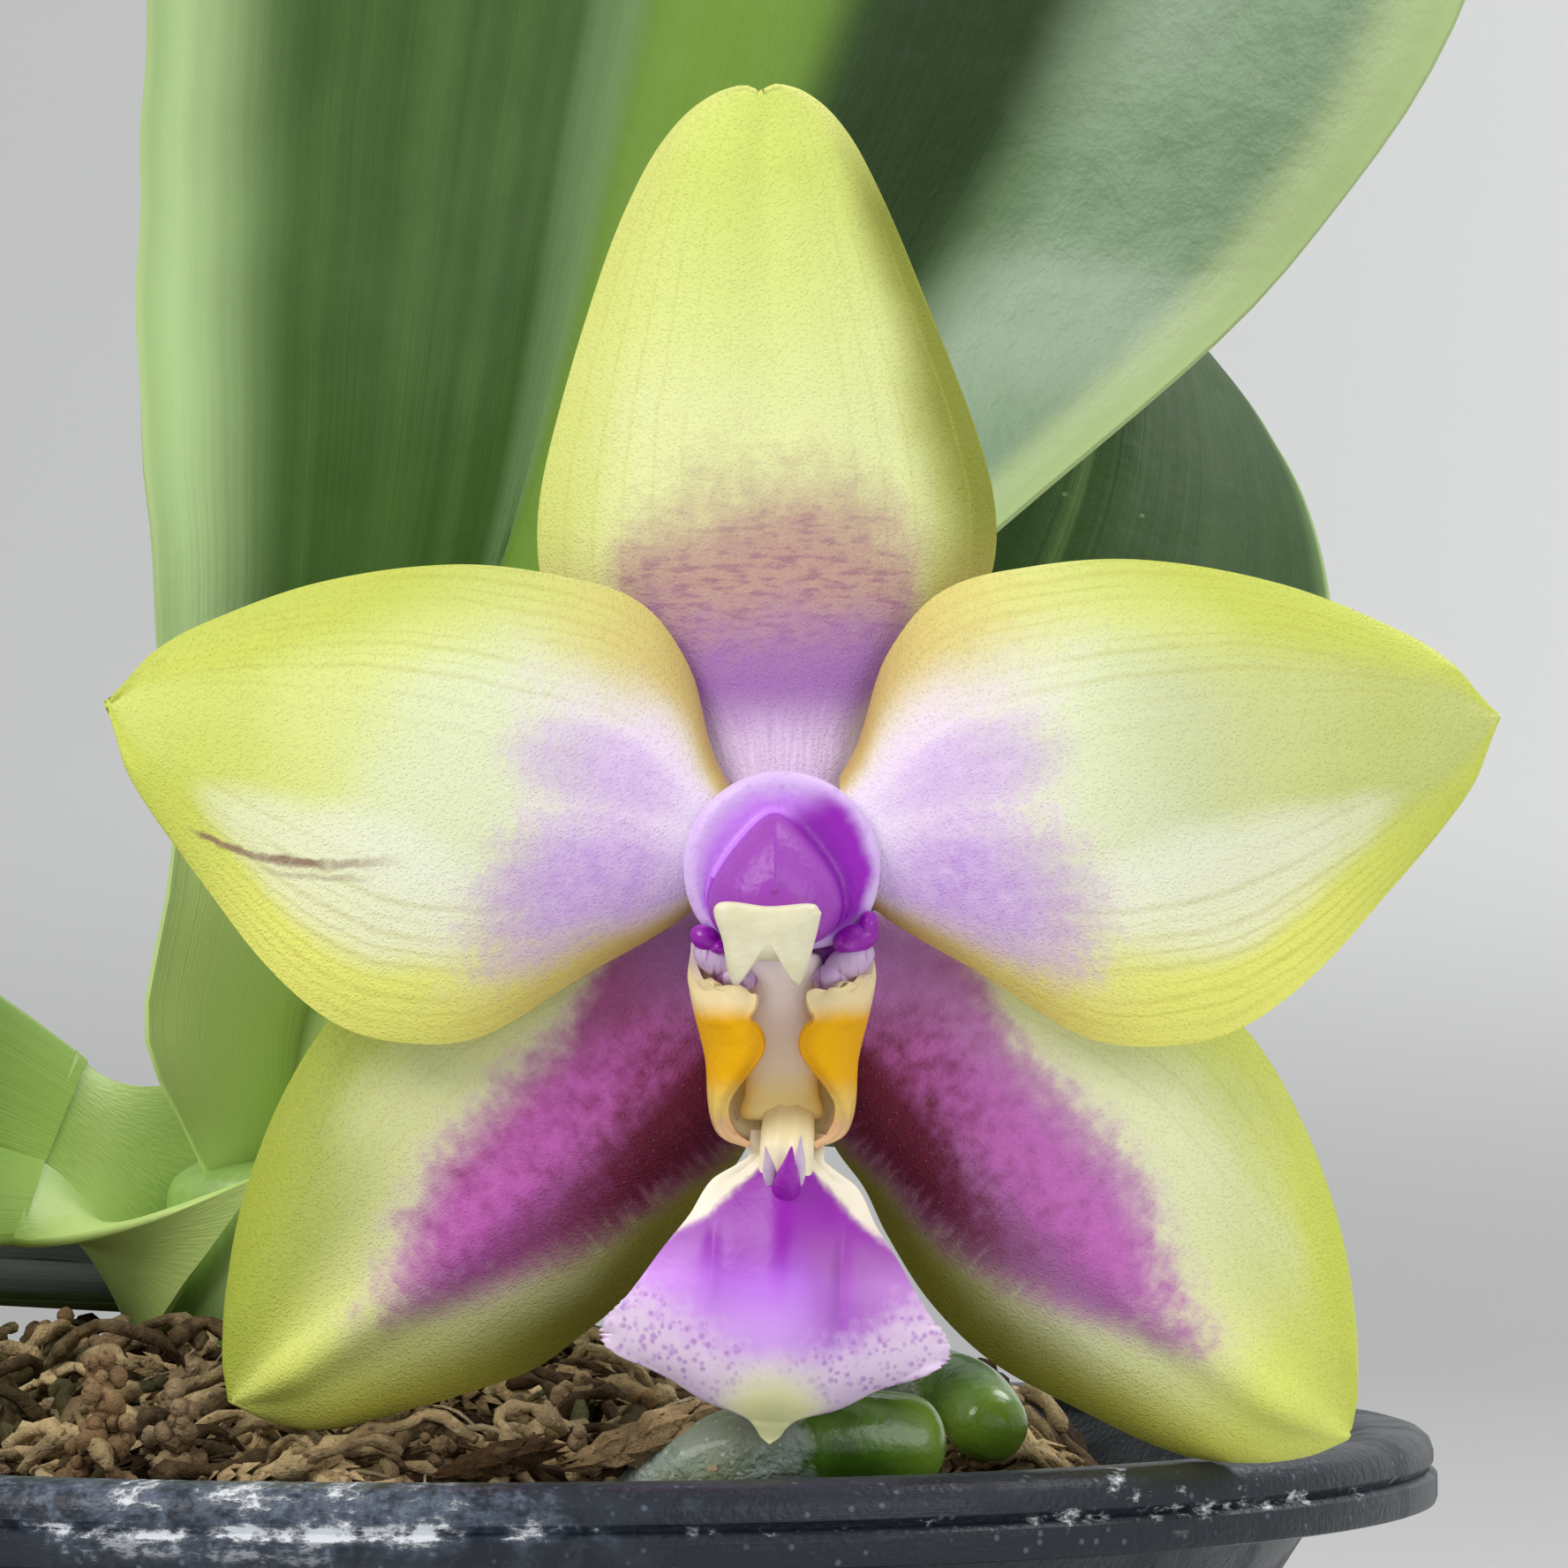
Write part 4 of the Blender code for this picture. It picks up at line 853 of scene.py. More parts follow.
def moss_tails(count):
    """Thick tails of overlapping scales."""
    draw = random.Random(7)
    tangle = Tangle()
    fixed = list(FRONT_TAILS)
    while count:
        length = draw.uniform(0.0045, 0.0105)
        line = strand_line(draw, spot_on_bed(draw, BED_REACH), length, draw.uniform(0.0, 0.16), 0.3, 7)
        radius = draw.uniform(0.0006, 0.001)
        if fixed:
            start, end, radius = fixed.pop()
            line = [Vector(start).lerp(Vector(end), k / 7) for k in range(8)]
        if not inside_pot(line):
            continue
        tone = draw.random()
        for k in range(7):
            forward = (line[k + 1] - line[k]).normalized()
            side = forward.orthogonal().normalized()
            up = forward.cross(side)
            grow = radius * sin(pi * (0.18 + 0.7 * k / 7))
            for i in range(5):
                turn = 2 * pi * (i + 0.5 * (k % 2)) / 5 + draw.uniform(-0.2, 0.2)
                out = side * cos(turn) + up * sin(turn)
                root = line[k] + out * grow * 0.25
                belly = root + forward * radius * 1.1 + out * grow * 0.55
                tip = root + forward * radius * draw.uniform(2.0, 2.7) + out * grow * 0.62
                tangle.scale(root, belly, tip, out, grow * 0.62, tone + draw.uniform(-0.06, 0.06))
        count -= 1
    return tangle.piece("moss_tails", 35)


def moss_stalks(count):
    """Gnarled, half-rotten stalks with swellings."""
    draw = random.Random(23)
    tangle = Tangle()
    for line in lines_on_bed(draw, count, (0.003, 0.0085), (0.0, 0.4), 0.75, 9):
        radius = draw.uniform(0.00022, 0.00056)
        radii = [radius * draw.uniform(0.55, 1.45) for _ in line]
        radii[0] = radii[-1] = radius * 0.5
        tangle.strand(line, radii, 6, draw.random(), 0.9, 0.1, draw.uniform(0, 99))
    return tangle.piece("moss_stalks")


def moss_fibres(count):
    """Thin, flat fibres that lie over the rest."""
    draw = random.Random(5)
    tangle = Tangle()
    for line in lines_on_bed(draw, count, (0.003, 0.011), (0.05, 0.25), 0.4, 7):
        radius = draw.uniform(0.0001, 0.00024)
        radii = [radius * (0.4 + 0.6 * sin(pi * (0.1 + 0.8 * k / 7))) for k in range(8)]
        tangle.strand(line, radii, 4, draw.random(), 0.35, 0.35, draw.uniform(0, 99))
    return tangle.piece("moss_fibres")


# Tall stubs of knobs at the front left: where they stand, and how tall they are
FRONT_STUBS = ((-0.0176, -0.0362, 0.0056), (-0.0152, -0.0366, 0.0058), (-0.0133, -0.0352, 0.0046))


def moss_knobs(count):
    """Small round knobs, in clusters along upright stubs."""
    draw = random.Random(41)
    tangle = Tangle()
    fixed = list(FRONT_STUBS)
    while count > 0:
        x, y = spot_on_bed(draw, 0.0395)
        tall, knobs = draw.uniform(0.0006, 0.0034), draw.randint(7, 14)
        if fixed:
            x, y, tall = fixed.pop()
            knobs = 26
        base = Vector((x, y, moss_height(x, y)))
        stub = Vector((draw.uniform(-0.3, 0.3), draw.uniform(-0.3, 0.3), 1.0)).normalized()
        tone = draw.random()
        for _ in range(knobs):
            jitter = Vector([draw.uniform(-0.0007, 0.0007) for _ in range(3)])
            centre = base + stub * tall * draw.random() + jitter
            radius = draw.uniform(0.00028, 0.00062)
            steps = (-1.0, -0.75, -0.25, 0.25, 0.75, 1.0)
            line = [centre + stub * radius * step for step in steps]
            radii = [radius * max(0.12, sqrt(1 - step * step)) for step in steps]
            tangle.strand(line, radii, 6, tone, 1.0, 0.0, draw.uniform(0, 99))
            count -= 1
    return tangle.piece("moss_knobs")


def moss_finish(name, pale, dark, moss, scaly=0.0):
    """Dry moss: each strand has its own tone, with darker joints, damp patches and dry flecks."""
    finish = Finish(name, 0.85, Specular_IOR_Level=0.2)
    along, across = finish.blade()
    tone = across * 0.5 + 0.5
    patch = finish.grain(900, 3)
    finish.start(dark, pale, (tone * 0.95 + patch * 0.55).fade(0.44, 1.02))
    finish.paint(moss.amber, tone.fade(0.72, 0.86) * 0.35)
    finish.paint(tint(120, 126, 78), tone.fade(0.1, 0.02) * 0.55)
    finish.paint(dark, along.fade(0.55, 0.1) * scaly)
    damp = finish.grain(150, 2).fade(0.58, 0.42)
    finish.paint(moss.bark, damp * 0.55)
    fleck = finish.grain(3000, 4).fade(0.56, 0.7) * tone.fade(0.5, 0.8)
    finish.paint(tint(240, 226, 196), fleck * 0.45)
    pit = finish.grain(1900, 4).fade(0.42, 0.3)
    finish.paint(tint(50, 34, 18), pit * 0.6)
    finish.give("Roughness", 0.62 + patch * 0.3)
    height = finish.grain(1700, 5, roughness=0.65)
    return finish.done(height, 0.0009)


# Stem


STEM_RINGS = (
    # t, height, half-width along X, half-width along Y
    (0.00, 0.0762, 0.0000, 0.0000),
    (0.02, 0.0762, 0.0040, 0.0036),
    (0.12, 0.0800, 0.0066, 0.0052),
    (0.30, 0.0860, 0.0071, 0.0057),
    (0.48, 0.0930, 0.0068, 0.0055),
    (0.62, 0.0968, 0.0070, 0.0056),
    (0.74, 0.0988, 0.0068, 0.0054),
    (0.80, 0.0998, 0.0062, 0.0050),
    (0.86, 0.1006, 0.0052, 0.0042),
    (0.92, 0.1012, 0.0038, 0.0030),
    (0.97, 0.1014, 0.0018, 0.0014),
    (1.00, 0.1015, 0.0000, 0.0000),
)


def stem_point(t, s):
    """The stem's skin: its top slopes down to the left, where a leaf comes out of it."""
    turn = pi * s
    height, half_x, half_y = ring_at(STEM_RINGS, t)
    slope = 0.003 * (0.5 + 0.5 * cos(turn - radians(-138)))
    drop = slope * ease(0.0955, 0.103, height)
    rib = 1 + 0.002 * sin(turn * 17) * ease(0.02, 0.2, t) * ease(1.0, 0.8, t)
    sheath = 1 + 0.035 * ease(0.3, 0.34, t + 0.05 * cos(turn + 1.2)) * ease(0.74, 0.5, t)
    x = STEM_CENTRE[0] + max(0.0, half_x) * cos(turn) * rib * sheath
    y = STEM_CENTRE[1] + max(0.0, half_y) * sin(turn) * rib * sheath
    return Vector((x, y, height - drop))


def sheath_point(t, s):
    """From the left leaf's foot to a line that runs round the stem, from its back to its front rim."""
    leaf_edge = leaf_point("leaf_left", 0.04, s)
    inward = leaf_point("leaf_left", 0.0, s) - leaf_point("leaf_left", 0.03, s)
    turn = radians(through(((-1, 262), (-0.4, 226), (0, 188), (0.5, 150), (1, 118)), s))
    height = through(((-1, 0.0982), (-0.5, 0.093), (0, 0.0888), (0.5, 0.096), (1, 0.104)), s)
    x, y = STEM_CENTRE[0] + 0.0083 * cos(turn), STEM_CENTRE[1] + 0.0068 * sin(turn)
    ring = Vector((x, y, height))
    bend = leaf_edge + inward.normalized() * 0.0042
    return leaf_edge * (1 - t) ** 2 + bend * (2 * t * (1 - t)) + ring * t**2


def stem_finish(name, stem, clasp):
    """Pale green with fine ribs and a foot darkened as painted shade. The clasp starts in its leaf's own
    green, and the whole clasp is painted paler as painted light.
    """
    finish = Finish(name, 0.4, Coat_Weight=0.15, Coat_Roughness=0.3)
    along, across = finish.blade()
    x, _, z = finish.split(finish.place())
    ribs = finish.grain(6, 3, finish.join(across * 9, along * 2))
    patch = finish.grain(180, 2)
    finish.start(stem.pale, tint(176, 204, 128), ribs.fade(0.45, 0.75) * 0.6)
    finish.paint(tint(120, 156, 66), patch.fade(0.45, 0.75) * 0.4)
    # Painted shade: the stem's foot, low down under the leaves, is darkened
    low = (z + x * 0.3 + (patch - 0.5) * 0.002).fade(0.0895, 0.0845)
    finish.paint(stem.shade, low * 0.85)
    if clasp:
        # Painted light: the clasp's greens are raised and the whole clasp is painted pale, as if lit
        leafy = finish.blend(tint(158, 192, 84), tint(178, 210, 100), patch.fade(0.35, 0.7))
        finish.paint(tint(214, 240, 140), 0.8)
        finish.start(leafy, finish.colour, (along + (ribs - 0.5) * 0.2).fade(0.0, 0.45))
    return finish.done(ribs * 0.3 + finish.grain(1500) * 0.2, 0.0003, 0.5)


# Leaves


# Leaf halves' widths along the leaf, as shares of the widest. LEAF_TIP ends most of them.
LEAF_TIP = ((0.70, 0.95), (0.84, 0.75), (0.93, 0.50), (0.98, 0.25), (1.00, 0.00))
LEAF_OUTLINE = ((0.00, 0.15), (0.06, 0.25), (0.16, 0.42), (0.32, 0.78), (0.50, 1.00)) + LEAF_TIP
UPRIGHT_LEFT_OUTLINE = (
    (0.00, 0.15), (0.02, 0.20), (0.05, 0.24), (0.08, 0.31), (0.11, 0.38), (0.15, 0.44),
    (0.20, 0.515), (0.26, 0.655), (0.32, 0.78), (0.50, 1.00),
) + LEAF_TIP
UPRIGHT_RIGHT_OUTLINE = (
    (0.00, 0.15), (0.06, 0.25), (0.16, 0.41), (0.22, 0.54), (0.29, 0.735), (0.36, 0.895),
    (0.50, 1.05), (0.70, 0.98), (0.84, 0.76), (0.93, 0.50), (0.98, 0.25), (1.00, 0.00),
)
BACK_RIGHT_OUTLINE = (
    (0.00, 0.15), (0.04, 0.42), (0.09, 0.78), (0.16, 1.00), (0.32, 1.03), (0.50, 1.00),
) + LEAF_TIP
LEFT_LEAF_OUTLINE = (
    (0.00, 0.15), (0.04, 0.26), (0.08, 0.36), (0.16, 0.47), (0.32, 0.78), (0.50, 1.00),
) + LEAF_TIP
# Each leaf: its midrib's points, the way its upper face looks at the base and at
# the tip, its half-widths and their outlines, how far each half turns back at the
# base, in the blade's first third and at the tip, and how much more it bends at
# its margin. Cells are its grid's. Foot is how far it reaches past its midrib's
# first point, as a share of its length.
LEAVES = {
    "leaf_upright": {
        "cells": (130, 96), "foot": 0.035,
        "midrib": (
            (-0.0113, 0.0092, 0.1016), (-0.0105, 0.0082, 0.1060), (-0.0080, 0.0058, 0.1120),
            (0.0000, 0.0035, 0.1300), (0.0066, 0.0060, 0.1590), (0.0125, 0.0140, 0.1900),
            (0.0195, 0.0290, 0.2180), (0.0270, 0.0500, 0.2400), (0.0335, 0.0720, 0.2510),
        ),
        "facing": ((-0.1, -1.0, 0.0), (-0.45, -0.4, 1.0)),
        "half_widths": (0.043, 0.0535), "outlines": (UPRIGHT_LEFT_OUTLINE, UPRIGHT_RIGHT_OUTLINE),
        "fold": ((-1.05, 0.18, -0.2), (-1.05, 0.05, 0.0)), "bend": (0.2, -0.25),
    },
    "leaf_back": {
        "cells": (80, 56), "foot": 0.025,
        "midrib": (
            (-0.0044, 0.0104, 0.0902), (0.0055, 0.0190, 0.0990), (0.0165, 0.0310, 0.1110),
            (0.0270, 0.0420, 0.1250), (0.0337, 0.0520, 0.1390), (0.0362, 0.0610, 0.1505),
            (0.0362, 0.0700, 0.1580),
        ),
        "facing": ((-0.5, -0.55, 0.8), (0.2, -1.0, 0.6)),
        "half_widths": (0.02, 0.0212), "outlines": (LEAF_OUTLINE, BACK_RIGHT_OUTLINE),
        "fold": ((-0.95, 0.25, 0.25), (-0.95, 0.25, 0.25)), "bend": (0.2, 0.2),
    },
    "leaf_left": {
        "cells": (80, 56), "foot": -0.036,
        "midrib": (
            (-0.0209, 0.0040, 0.0958), (-0.0260, 0.0030, 0.0985), (-0.0420, 0.0000, 0.1015),
            (-0.0680, -0.0035, 0.1030), (-0.0960, -0.0055, 0.1000), (-0.1210, -0.0065, 0.0930),
            (-0.1400, -0.0070, 0.0850),
        ),
        "facing": ((0.25, -0.1, 1.0), (-0.3, 0.0, 1.0)),
        "half_widths": (0.03, 0.03), "outlines": (LEFT_LEAF_OUTLINE, LEFT_LEAF_OUTLINE),
        "fold": ((0.4, 0.22, 0.2), (-1.0, -0.42, -0.2)), "bend": (0.12, 0.15),
    },
    "leaf_low": {
        "cells": (70, 48), "foot": 0.03,
        "midrib": (
            (-0.0170, 0.0098, 0.0915), (-0.0290, 0.0150, 0.0922), (-0.0460, 0.0225, 0.0924),
            (-0.0700, 0.0320, 0.0902), (-0.0930, 0.0430, 0.0834), (-0.1110, 0.0515, 0.0742),
        ),
        "facing": ((0.15, 0.0, 1.0), (-0.4, 0.15, 1.0)),
        "half_widths": (0.026, 0.026), "outlines": (LEAF_OUTLINE, LEAF_OUTLINE),
        "fold": ((0.15, 0.05, -0.02), (-0.75, -0.02, -0.02)), "bend": (0.18, 0.18),
    },
}


@functools.lru_cache(maxsize=None)
def leaf_station(name, t):
    """A leaf's midrib point and directions at t, and the share of its full widths there."""
    leaf = LEAVES[name]
    line = spaced(leaf["midrib"])
    ahead, behind = min(1.0, t + 0.01), max(0.0, t - 0.01)
    along = (through(line, ahead) - through(line, behind)).normalized()
    base_face, tip_face = (Vector(v) for v in leaf["facing"])
    face = base_face.normalized().lerp(tip_face.normalized(), t)
    right = along.cross(face).normalized()
    widths = [max(0.0, through(outline, t)) for outline in leaf["outlines"]]
    return through(line, t), right, right.cross(along), widths


def leaf_point(name, t, s):
    """A point of the leaf's middle sheet: s is -1 at its left margin and 1 at its right one."""
    if t < 0:
        foot = leaf_point(name, 0.0, s)
        return foot + (foot - leaf_point(name, 0.02, s)) * (-t / 0.02)
    leaf = LEAVES[name]
    centre, right, up, widths = leaf_station(name, t)
    side = 1 if s > 0 else 0
    outward = right if s > 0 else -right
    half = leaf["half_widths"][side] * widths[side]
    if name == "leaf_upright" and not side:
        flare_at_foot = 0.45 * ease(0.09, 0.0, t)
        half *= 1 + flare_at_foot
    base_fold, blade_fold, tip_fold = leaf["fold"][side]
    fold = mix(base_fold, blade_fold, ease(0.0, 0.3, t))
    fold = mix(fold, tip_fold, ease(0.3, 0.8, t))
    angle = fold + leaf["bend"][side] * abs(s) * ease(0.1, 0.5, t)
    reach = abs(s) * half
    groove = 0.0007 * bump_at(s * half, 0.0, 0.0016) * ease(0.05, 0.3, t) * ease(1.0, 0.9, t)
    spot = Vector((t * 6, s * 2.2, len(name)))
    sway = 0.0009 * noise.noise(spot) * ease(0.15, 0.45, t) * abs(s)
    drop = reach * sin(angle) + groove + sway
    return centre + outward * reach * cos(angle) - up * drop


def leaf_finish(name, leaf, deep, fresh, with_painted_light, pale_foot=0.1, shade=0.0):
    """A blade's upper side: soft lengthwise stripes, mottling, pale margin and pebbled skin.

    The upright leaf also has painted light: a painted highlight along its left margin,
    a bright band beside its midrib, a dark stripe of painted shade on its right half,
    a greyish painted sheen beyond that and a painted highlight at its foot.
    Pale_foot says how far a blade turns pale at its foot, partly its own paler green
    and partly painted light, and shade how dark painted shade makes its nearer half.
    """
    finish = Finish(name, 0.45, Specular_IOR_Level=0.2, Coat_Roughness=0.2)
    along, across = finish.blade()
    side = abs(across)
    stripes = finish.streaks(along * 1.1, across * 12)
    fine = finish.streaks(along * 1.6, across * 60, roughness=0.55)
    mottle = finish.grain(110, 4)
    tone = stripes * 0.55 + fine * 0.1 + mottle * 0.36
    finish.start(deep, fresh, tone.fade(0.34, 0.8))
    pebble = finish.grain(430, 4, roughness=0.6)
    gloss_and_painted_sheen = 0.0
    if with_painted_light:
        # Painted highlight: a pale band along the left margin
        left = (across + (stripes - 0.5) * 0.16).fade(-0.6, -0.94)
        finish.paint(tint(184, 212, 148), left * 0.9)
        lower = along.fade(0.86, 0.5)
        # Painted light: a bright yellow-green band beside the midrib
        painted_light_band = finish.squares(across - 0.13, 0.14).fade(1.6, 0.0) * lower
        finish.paint(tint(122, 158, 54), painted_light_band * 0.8)
        # Painted shade: a dark stripe across the right half
        dark = finish.squares(across - 0.4 - (along - 0.3) * 0.3, 0.14).fade(1.7, 0.2) * lower
        finish.paint(tint(22, 50, 0), dark * 0.94)
        # Painted sheen: a greyish reflection over the right half; the same mask gives it a glossy coat
        gloss_and_painted_sheen = (across + (mottle - 0.5) * 0.1).fade(0.48, 0.68) * across.fade(1.0, 0.86) * lower
        finish.paint(tint(136, 164, 130), gloss_and_painted_sheen * (0.6 + pebble * 0.4))
        rib = finish.squares(across + 0.02, 0.05).fade(1.5, 0.0)
        finish.paint(tint(118, 148, 100), rib * 0.6)
        edge = across.fade(0.86, 0.96)
        finish.paint(tint(206, 222, 168), edge * 0.9)
        # Painted highlight on the left of the foot, against the flower's shadow
        painted_light_foot = along.fade(0.135, 0.065) * across.fade(0.1, -0.2)
        finish.paint(tint(222, 246, 156), painted_light_foot * 0.95)
    else:
        finish.paint(tint(120, 152, 84), side.fade(0.05, 0.0) * 0.35)
    finish.paint(tint(128, 160, 92), side.fade(0.88, 0.99) * 0.45)
    finish.paint(leaf.margin, side.fade(0.965, 0.995) * 0.75)
    # A paler foot: partly the blade's own paler green, partly painted light
    foot = along.fade(0.12, 0.0)
    pale = tint(214, 240, 148) if with_painted_light else tint(168, 202, 92)
    finish.paint(pale, foot * pale_foot)
    # Painted shade, darkening the half nearer the foot
    finish.paint(tint(18, 28, 8), along.fade(0.42, 0.14) * shade)
    spots, lot = finish.dots(420)
    scar = spots.fade(0.1, 0.04) * lot.fade(0.93, 0.96)
    finish.paint(tint(170, 180, 140), scar * 0.4)
    finish.give("Roughness", 0.46 + pebble * 0.16 - gloss_and_painted_sheen * 0.12)
    finish.give("Coat Weight", gloss_and_painted_sheen * 0.55)
    height = pebble * (0.3 + gloss_and_painted_sheen * 1.3) + fine * 0.2 + stripes * 0.25
    return finish.done(height, 0.0006, 0.6)


def leaf_underside(leaf):
    finish = Finish("leaf_underside", 0.5)
    along, across = finish.blade()
    stripes = finish.streaks(along * 1.3, across * 34)
    finish.start(leaf.underside, tint(92, 122, 62), stripes.fade(0.4, 0.7) * 0.7)
    finish.paint(tint(156, 182, 112), abs(across).fade(0.06, 0.0) * 0.7)
    return finish.done(stripes + finish.grain(1200) * 0.3, 0.0003)


# Roots


# Each root: its line's points, and its radius
ROOTS = {
    "root_front": (
        (
            (-0.0020, -0.0060, 0.0800), (0.0030, -0.0190, 0.0785), (0.0062, -0.0290, 0.0805),
            (0.0095, -0.0345, 0.0835), (0.0135, -0.0360, 0.0855), (0.0180, -0.0354, 0.0862),
            (0.0230, -0.0338, 0.0858),
        ),
        0.0023,
    ),
    "root_right": (
        (
            (-0.0005, 0.0040, 0.0820), (0.0080, -0.0020, 0.0830), (0.0150, -0.0100, 0.0862),
            (0.0205, -0.0178, 0.0880), (0.0243, -0.0232, 0.0876), (0.0259, -0.0282, 0.0858),
        ),
        0.0019,
    ),
    "root_back": (
        (
            (-0.0130, 0.0150, 0.0860), (-0.0170, 0.0220, 0.0878), (-0.0200, 0.0300, 0.0860),
            (-0.0215, 0.0345, 0.0800),
        ),
        0.0021,
    ),
    "root_back_right": (
        (
            (0.0000, 0.0115, 0.0840), (0.0080, 0.0175, 0.0870), (0.0160, 0.0240, 0.0850),
            (0.0200, 0.0275, 0.0780),
        ),
        0.0020,
    ),
}
ROOT_SWELL = ((0.00, 0.80), (0.30, 0.92), (0.80, 1.02), (0.91, 1.05), (1.00, 1.00))


def root_piece(name):
    points, radius = ROOTS[name]

    def radius_at(t, turn):
        lump = noise.noise(Vector((t * 9, cos(turn), sin(turn) + len(name))))
        groove = 0.04 * bump_at(t, 0.846, 0.006)
        dome = sqrt(max(0.0, 1 - max(0.0, (t - 0.955) / 0.045) ** 2.4))
        return radius * (through(ROOT_SWELL, t) * (1 + 0.05 * lump) - groove) * dome

    return tube(name + "_skin", points, radius_at, 110, 40, spread=lambda u: 1 - (1 - u) ** 1.6)


def root_finish(roots):
    """Silvery root skin, with whitish specks that are partly painted highlights, damp green patches, and
    a glossy green growing tip.
    """
    finish = Finish("root_skin", 0.5, Coat_Weight=0.35, Coat_Roughness=0.12)
    along, _ = finish.blade()
    ragged = finish.grain(900, 3)
    tip = (along + (ragged - 0.5) * 0.05).fade(0.838, 0.856)
    patch = finish.grain(420, 4)
    silver = finish.blend(tint(112, 128, 108), roots.silver, patch.fade(0.3, 0.62))
    silver = finish.blend(silver, tint(132, 142, 96), finish.grain(150, 2).fade(0.52, 0.75) * 0.7)
    # Whitish specks: partly flecks of the root skin, partly painted highlights
    specks, lot = finish.dots(2600)
    silver = finish.blend(silver, tint(214, 222, 214), specks.fade(0.35, 0.1) * lot.fade(0.6, 0.8) * 0.5)
    fresh = finish.blend(tint(58, 92, 22), roots.growing_tip, patch.fade(0.35, 0.65))
    fresh = finish.blend(fresh, tint(132, 168, 52), along.fade(0.9, 0.985) * 0.6)
    fresh = finish.blend(fresh, tint(140, 150, 90), finish.grain(620, 2).fade(0.62, 0.75) * 0.4)
    finish.start(silver, fresh, tip)
    finish.give("Roughness", 0.52 - tip * 0.34 + patch * 0.12)
    height = ragged * 0.6 + finish.grain(2600, 2) * 0.4
    return finish.done(height * (1.25 - tip), 0.0006, 0.8)


# Flower spike and pedicel


SPIKE_POINTS = (
    (-0.0030, -0.0020, 0.0840), (0.0010, -0.0065, 0.0920), (0.0055, -0.0112, 0.1010),
    (0.0092, -0.0145, 0.1100), (0.0118, -0.0160, 0.1185), (0.0150, -0.0165, 0.1260),
)
# Where each bract clasps the spike, and the side on which it stands out
BRACTS = ((0.3, 200), (0.52, 20), (0.7, 200), (0.84, 20), (0.97, 200))
PEDICEL_POINTS = (
    (0.0154, -0.0366, 0.1130), (0.0154, -0.0320, 0.1137), (0.0148, -0.0270, 0.1144),
    (0.0134, -0.0220, 0.1146), (0.0114, -0.0176, 0.1142),
)


def bract_piece(place, along, turn):
    """A pointed scale that clasps the stalk and stands out on one side."""
    upright = along.to_track_quat("Z", "Y").to_matrix().to_4x4()
    lean = Matrix.Rotation(radians(turn), 4, "Z") @ Matrix.Rotation(radians(16), 4, "Y")
    seat = Matrix.Translation(place) @ upright @ lean

    def point(t, s):
        wrap = mix(radians(165), radians(30), ease(0.1, 1.0, t))
        radius = 0.0021 * (1 - 0.25 * t) + 0.0004 * sin(pi * t)
        angle = s * wrap * (1 - t**3)
        return seat @ Vector((radius * cos(angle), radius * sin(angle), 0.0062 * t - 0.001))

    piece = laid_out("bract", point, 16, 20, fullness=lambda t, s: mix(1.0, 0.4, abs(s)))
    return thickened(piece, 0.0003)


def spike_piece():
    line = spaced(SPIKE_POINTS)
    swell = ((0, 1.0), (0.4, 1.0), (0.8, 0.85), (0.96, 0.7), (1, 0.35))
    joints = [t for t, _ in BRACTS]

    def radius_at(t, turn):
        knee = sum(0.12 * bump_at(t, joint, 0.02) for joint in joints)
        return 0.0018 * (through(swell, t) + knee)

    stalk = tube("spike_stalk", SPIKE_POINTS, radius_at, 70, 24, up=(1, 0, 0))
    bracts = []
    for t, turn in BRACTS:
        along = (through(line, min(1, t + 0.02)) - through(line, t - 0.02)).normalized()
        bracts.append(bract_piece(through(line, t), along, turn))
    return join_pieces(stalk, bracts)


def pedicel_piece():
    swell = ((0, 1.25), (0.25, 1.1), (0.6, 0.95), (1, 0.62))

    def radius_at(t, turn):
        ribs = 1 + 0.05 * cos(3 * turn + 4 * t) * ease(0.75, 0.3, t)
        return 0.0016 * through(swell, t) * ribs

    return tube("pedicel_stalk", PEDICEL_POINTS, radius_at, 60, 30)


def stalk_finish(name, pale, deep):
    finish = Finish(name, 0.42)
    along, across = finish.blade()
    ribs = finish.grain(5, 2, finish.join(across * 6, along * 3))
    finish.start(deep, pale, (ribs + finish.grain(240) * 0.4).fade(0.4, 0.95))
    finish.paint(tint(150, 84, 110), finish.grain(900, 2).fade(0.62, 0.75) * 0.3)
    return finish.done(ribs + finish.grain(1500) * 0.3, 0.0003)


# Tepals


PETAL_UPPER = (
    (0.00, 0.26), (0.04, 0.40), (0.10, 0.72), (0.20, 0.96), (0.34, 1.00), (0.51, 0.94),
    (0.71, 0.73), (0.875, 0.44), (0.945, 0.26), (0.975, 0.11), (1.00, 0.00),
)
PETAL_LOWER = (
    (0.00, 0.24), (0.04, 0.36), (0.155, 0.61), (0.30, 0.94), (0.44, 1.03), (0.54, 1.00),
    (0.66, 0.84), (0.79, 0.58), (0.89, 0.37), (0.945, 0.23), (0.975, 0.10), (1.00, 0.00),
)
DORSAL_LEFT = (
    (0.00, 0.30), (0.04, 0.36), (0.10, 0.45), (0.195, 0.76), (0.29, 0.96), (0.385, 1.00),
    (0.50, 0.94), (0.74, 0.71), (0.866, 0.54), (0.942, 0.38), (0.985, 0.20), (1.00, 0.00),
)
DORSAL_RIGHT = (
    (0.00, 0.30), (0.04, 0.36), (0.10, 0.44), (0.195, 0.74), (0.29, 0.95), (0.385, 1.00),
    (0.50, 0.93), (0.74, 0.65), (0.866, 0.48), (0.942, 0.34), (0.985, 0.18), (1.00, 0.00),
)
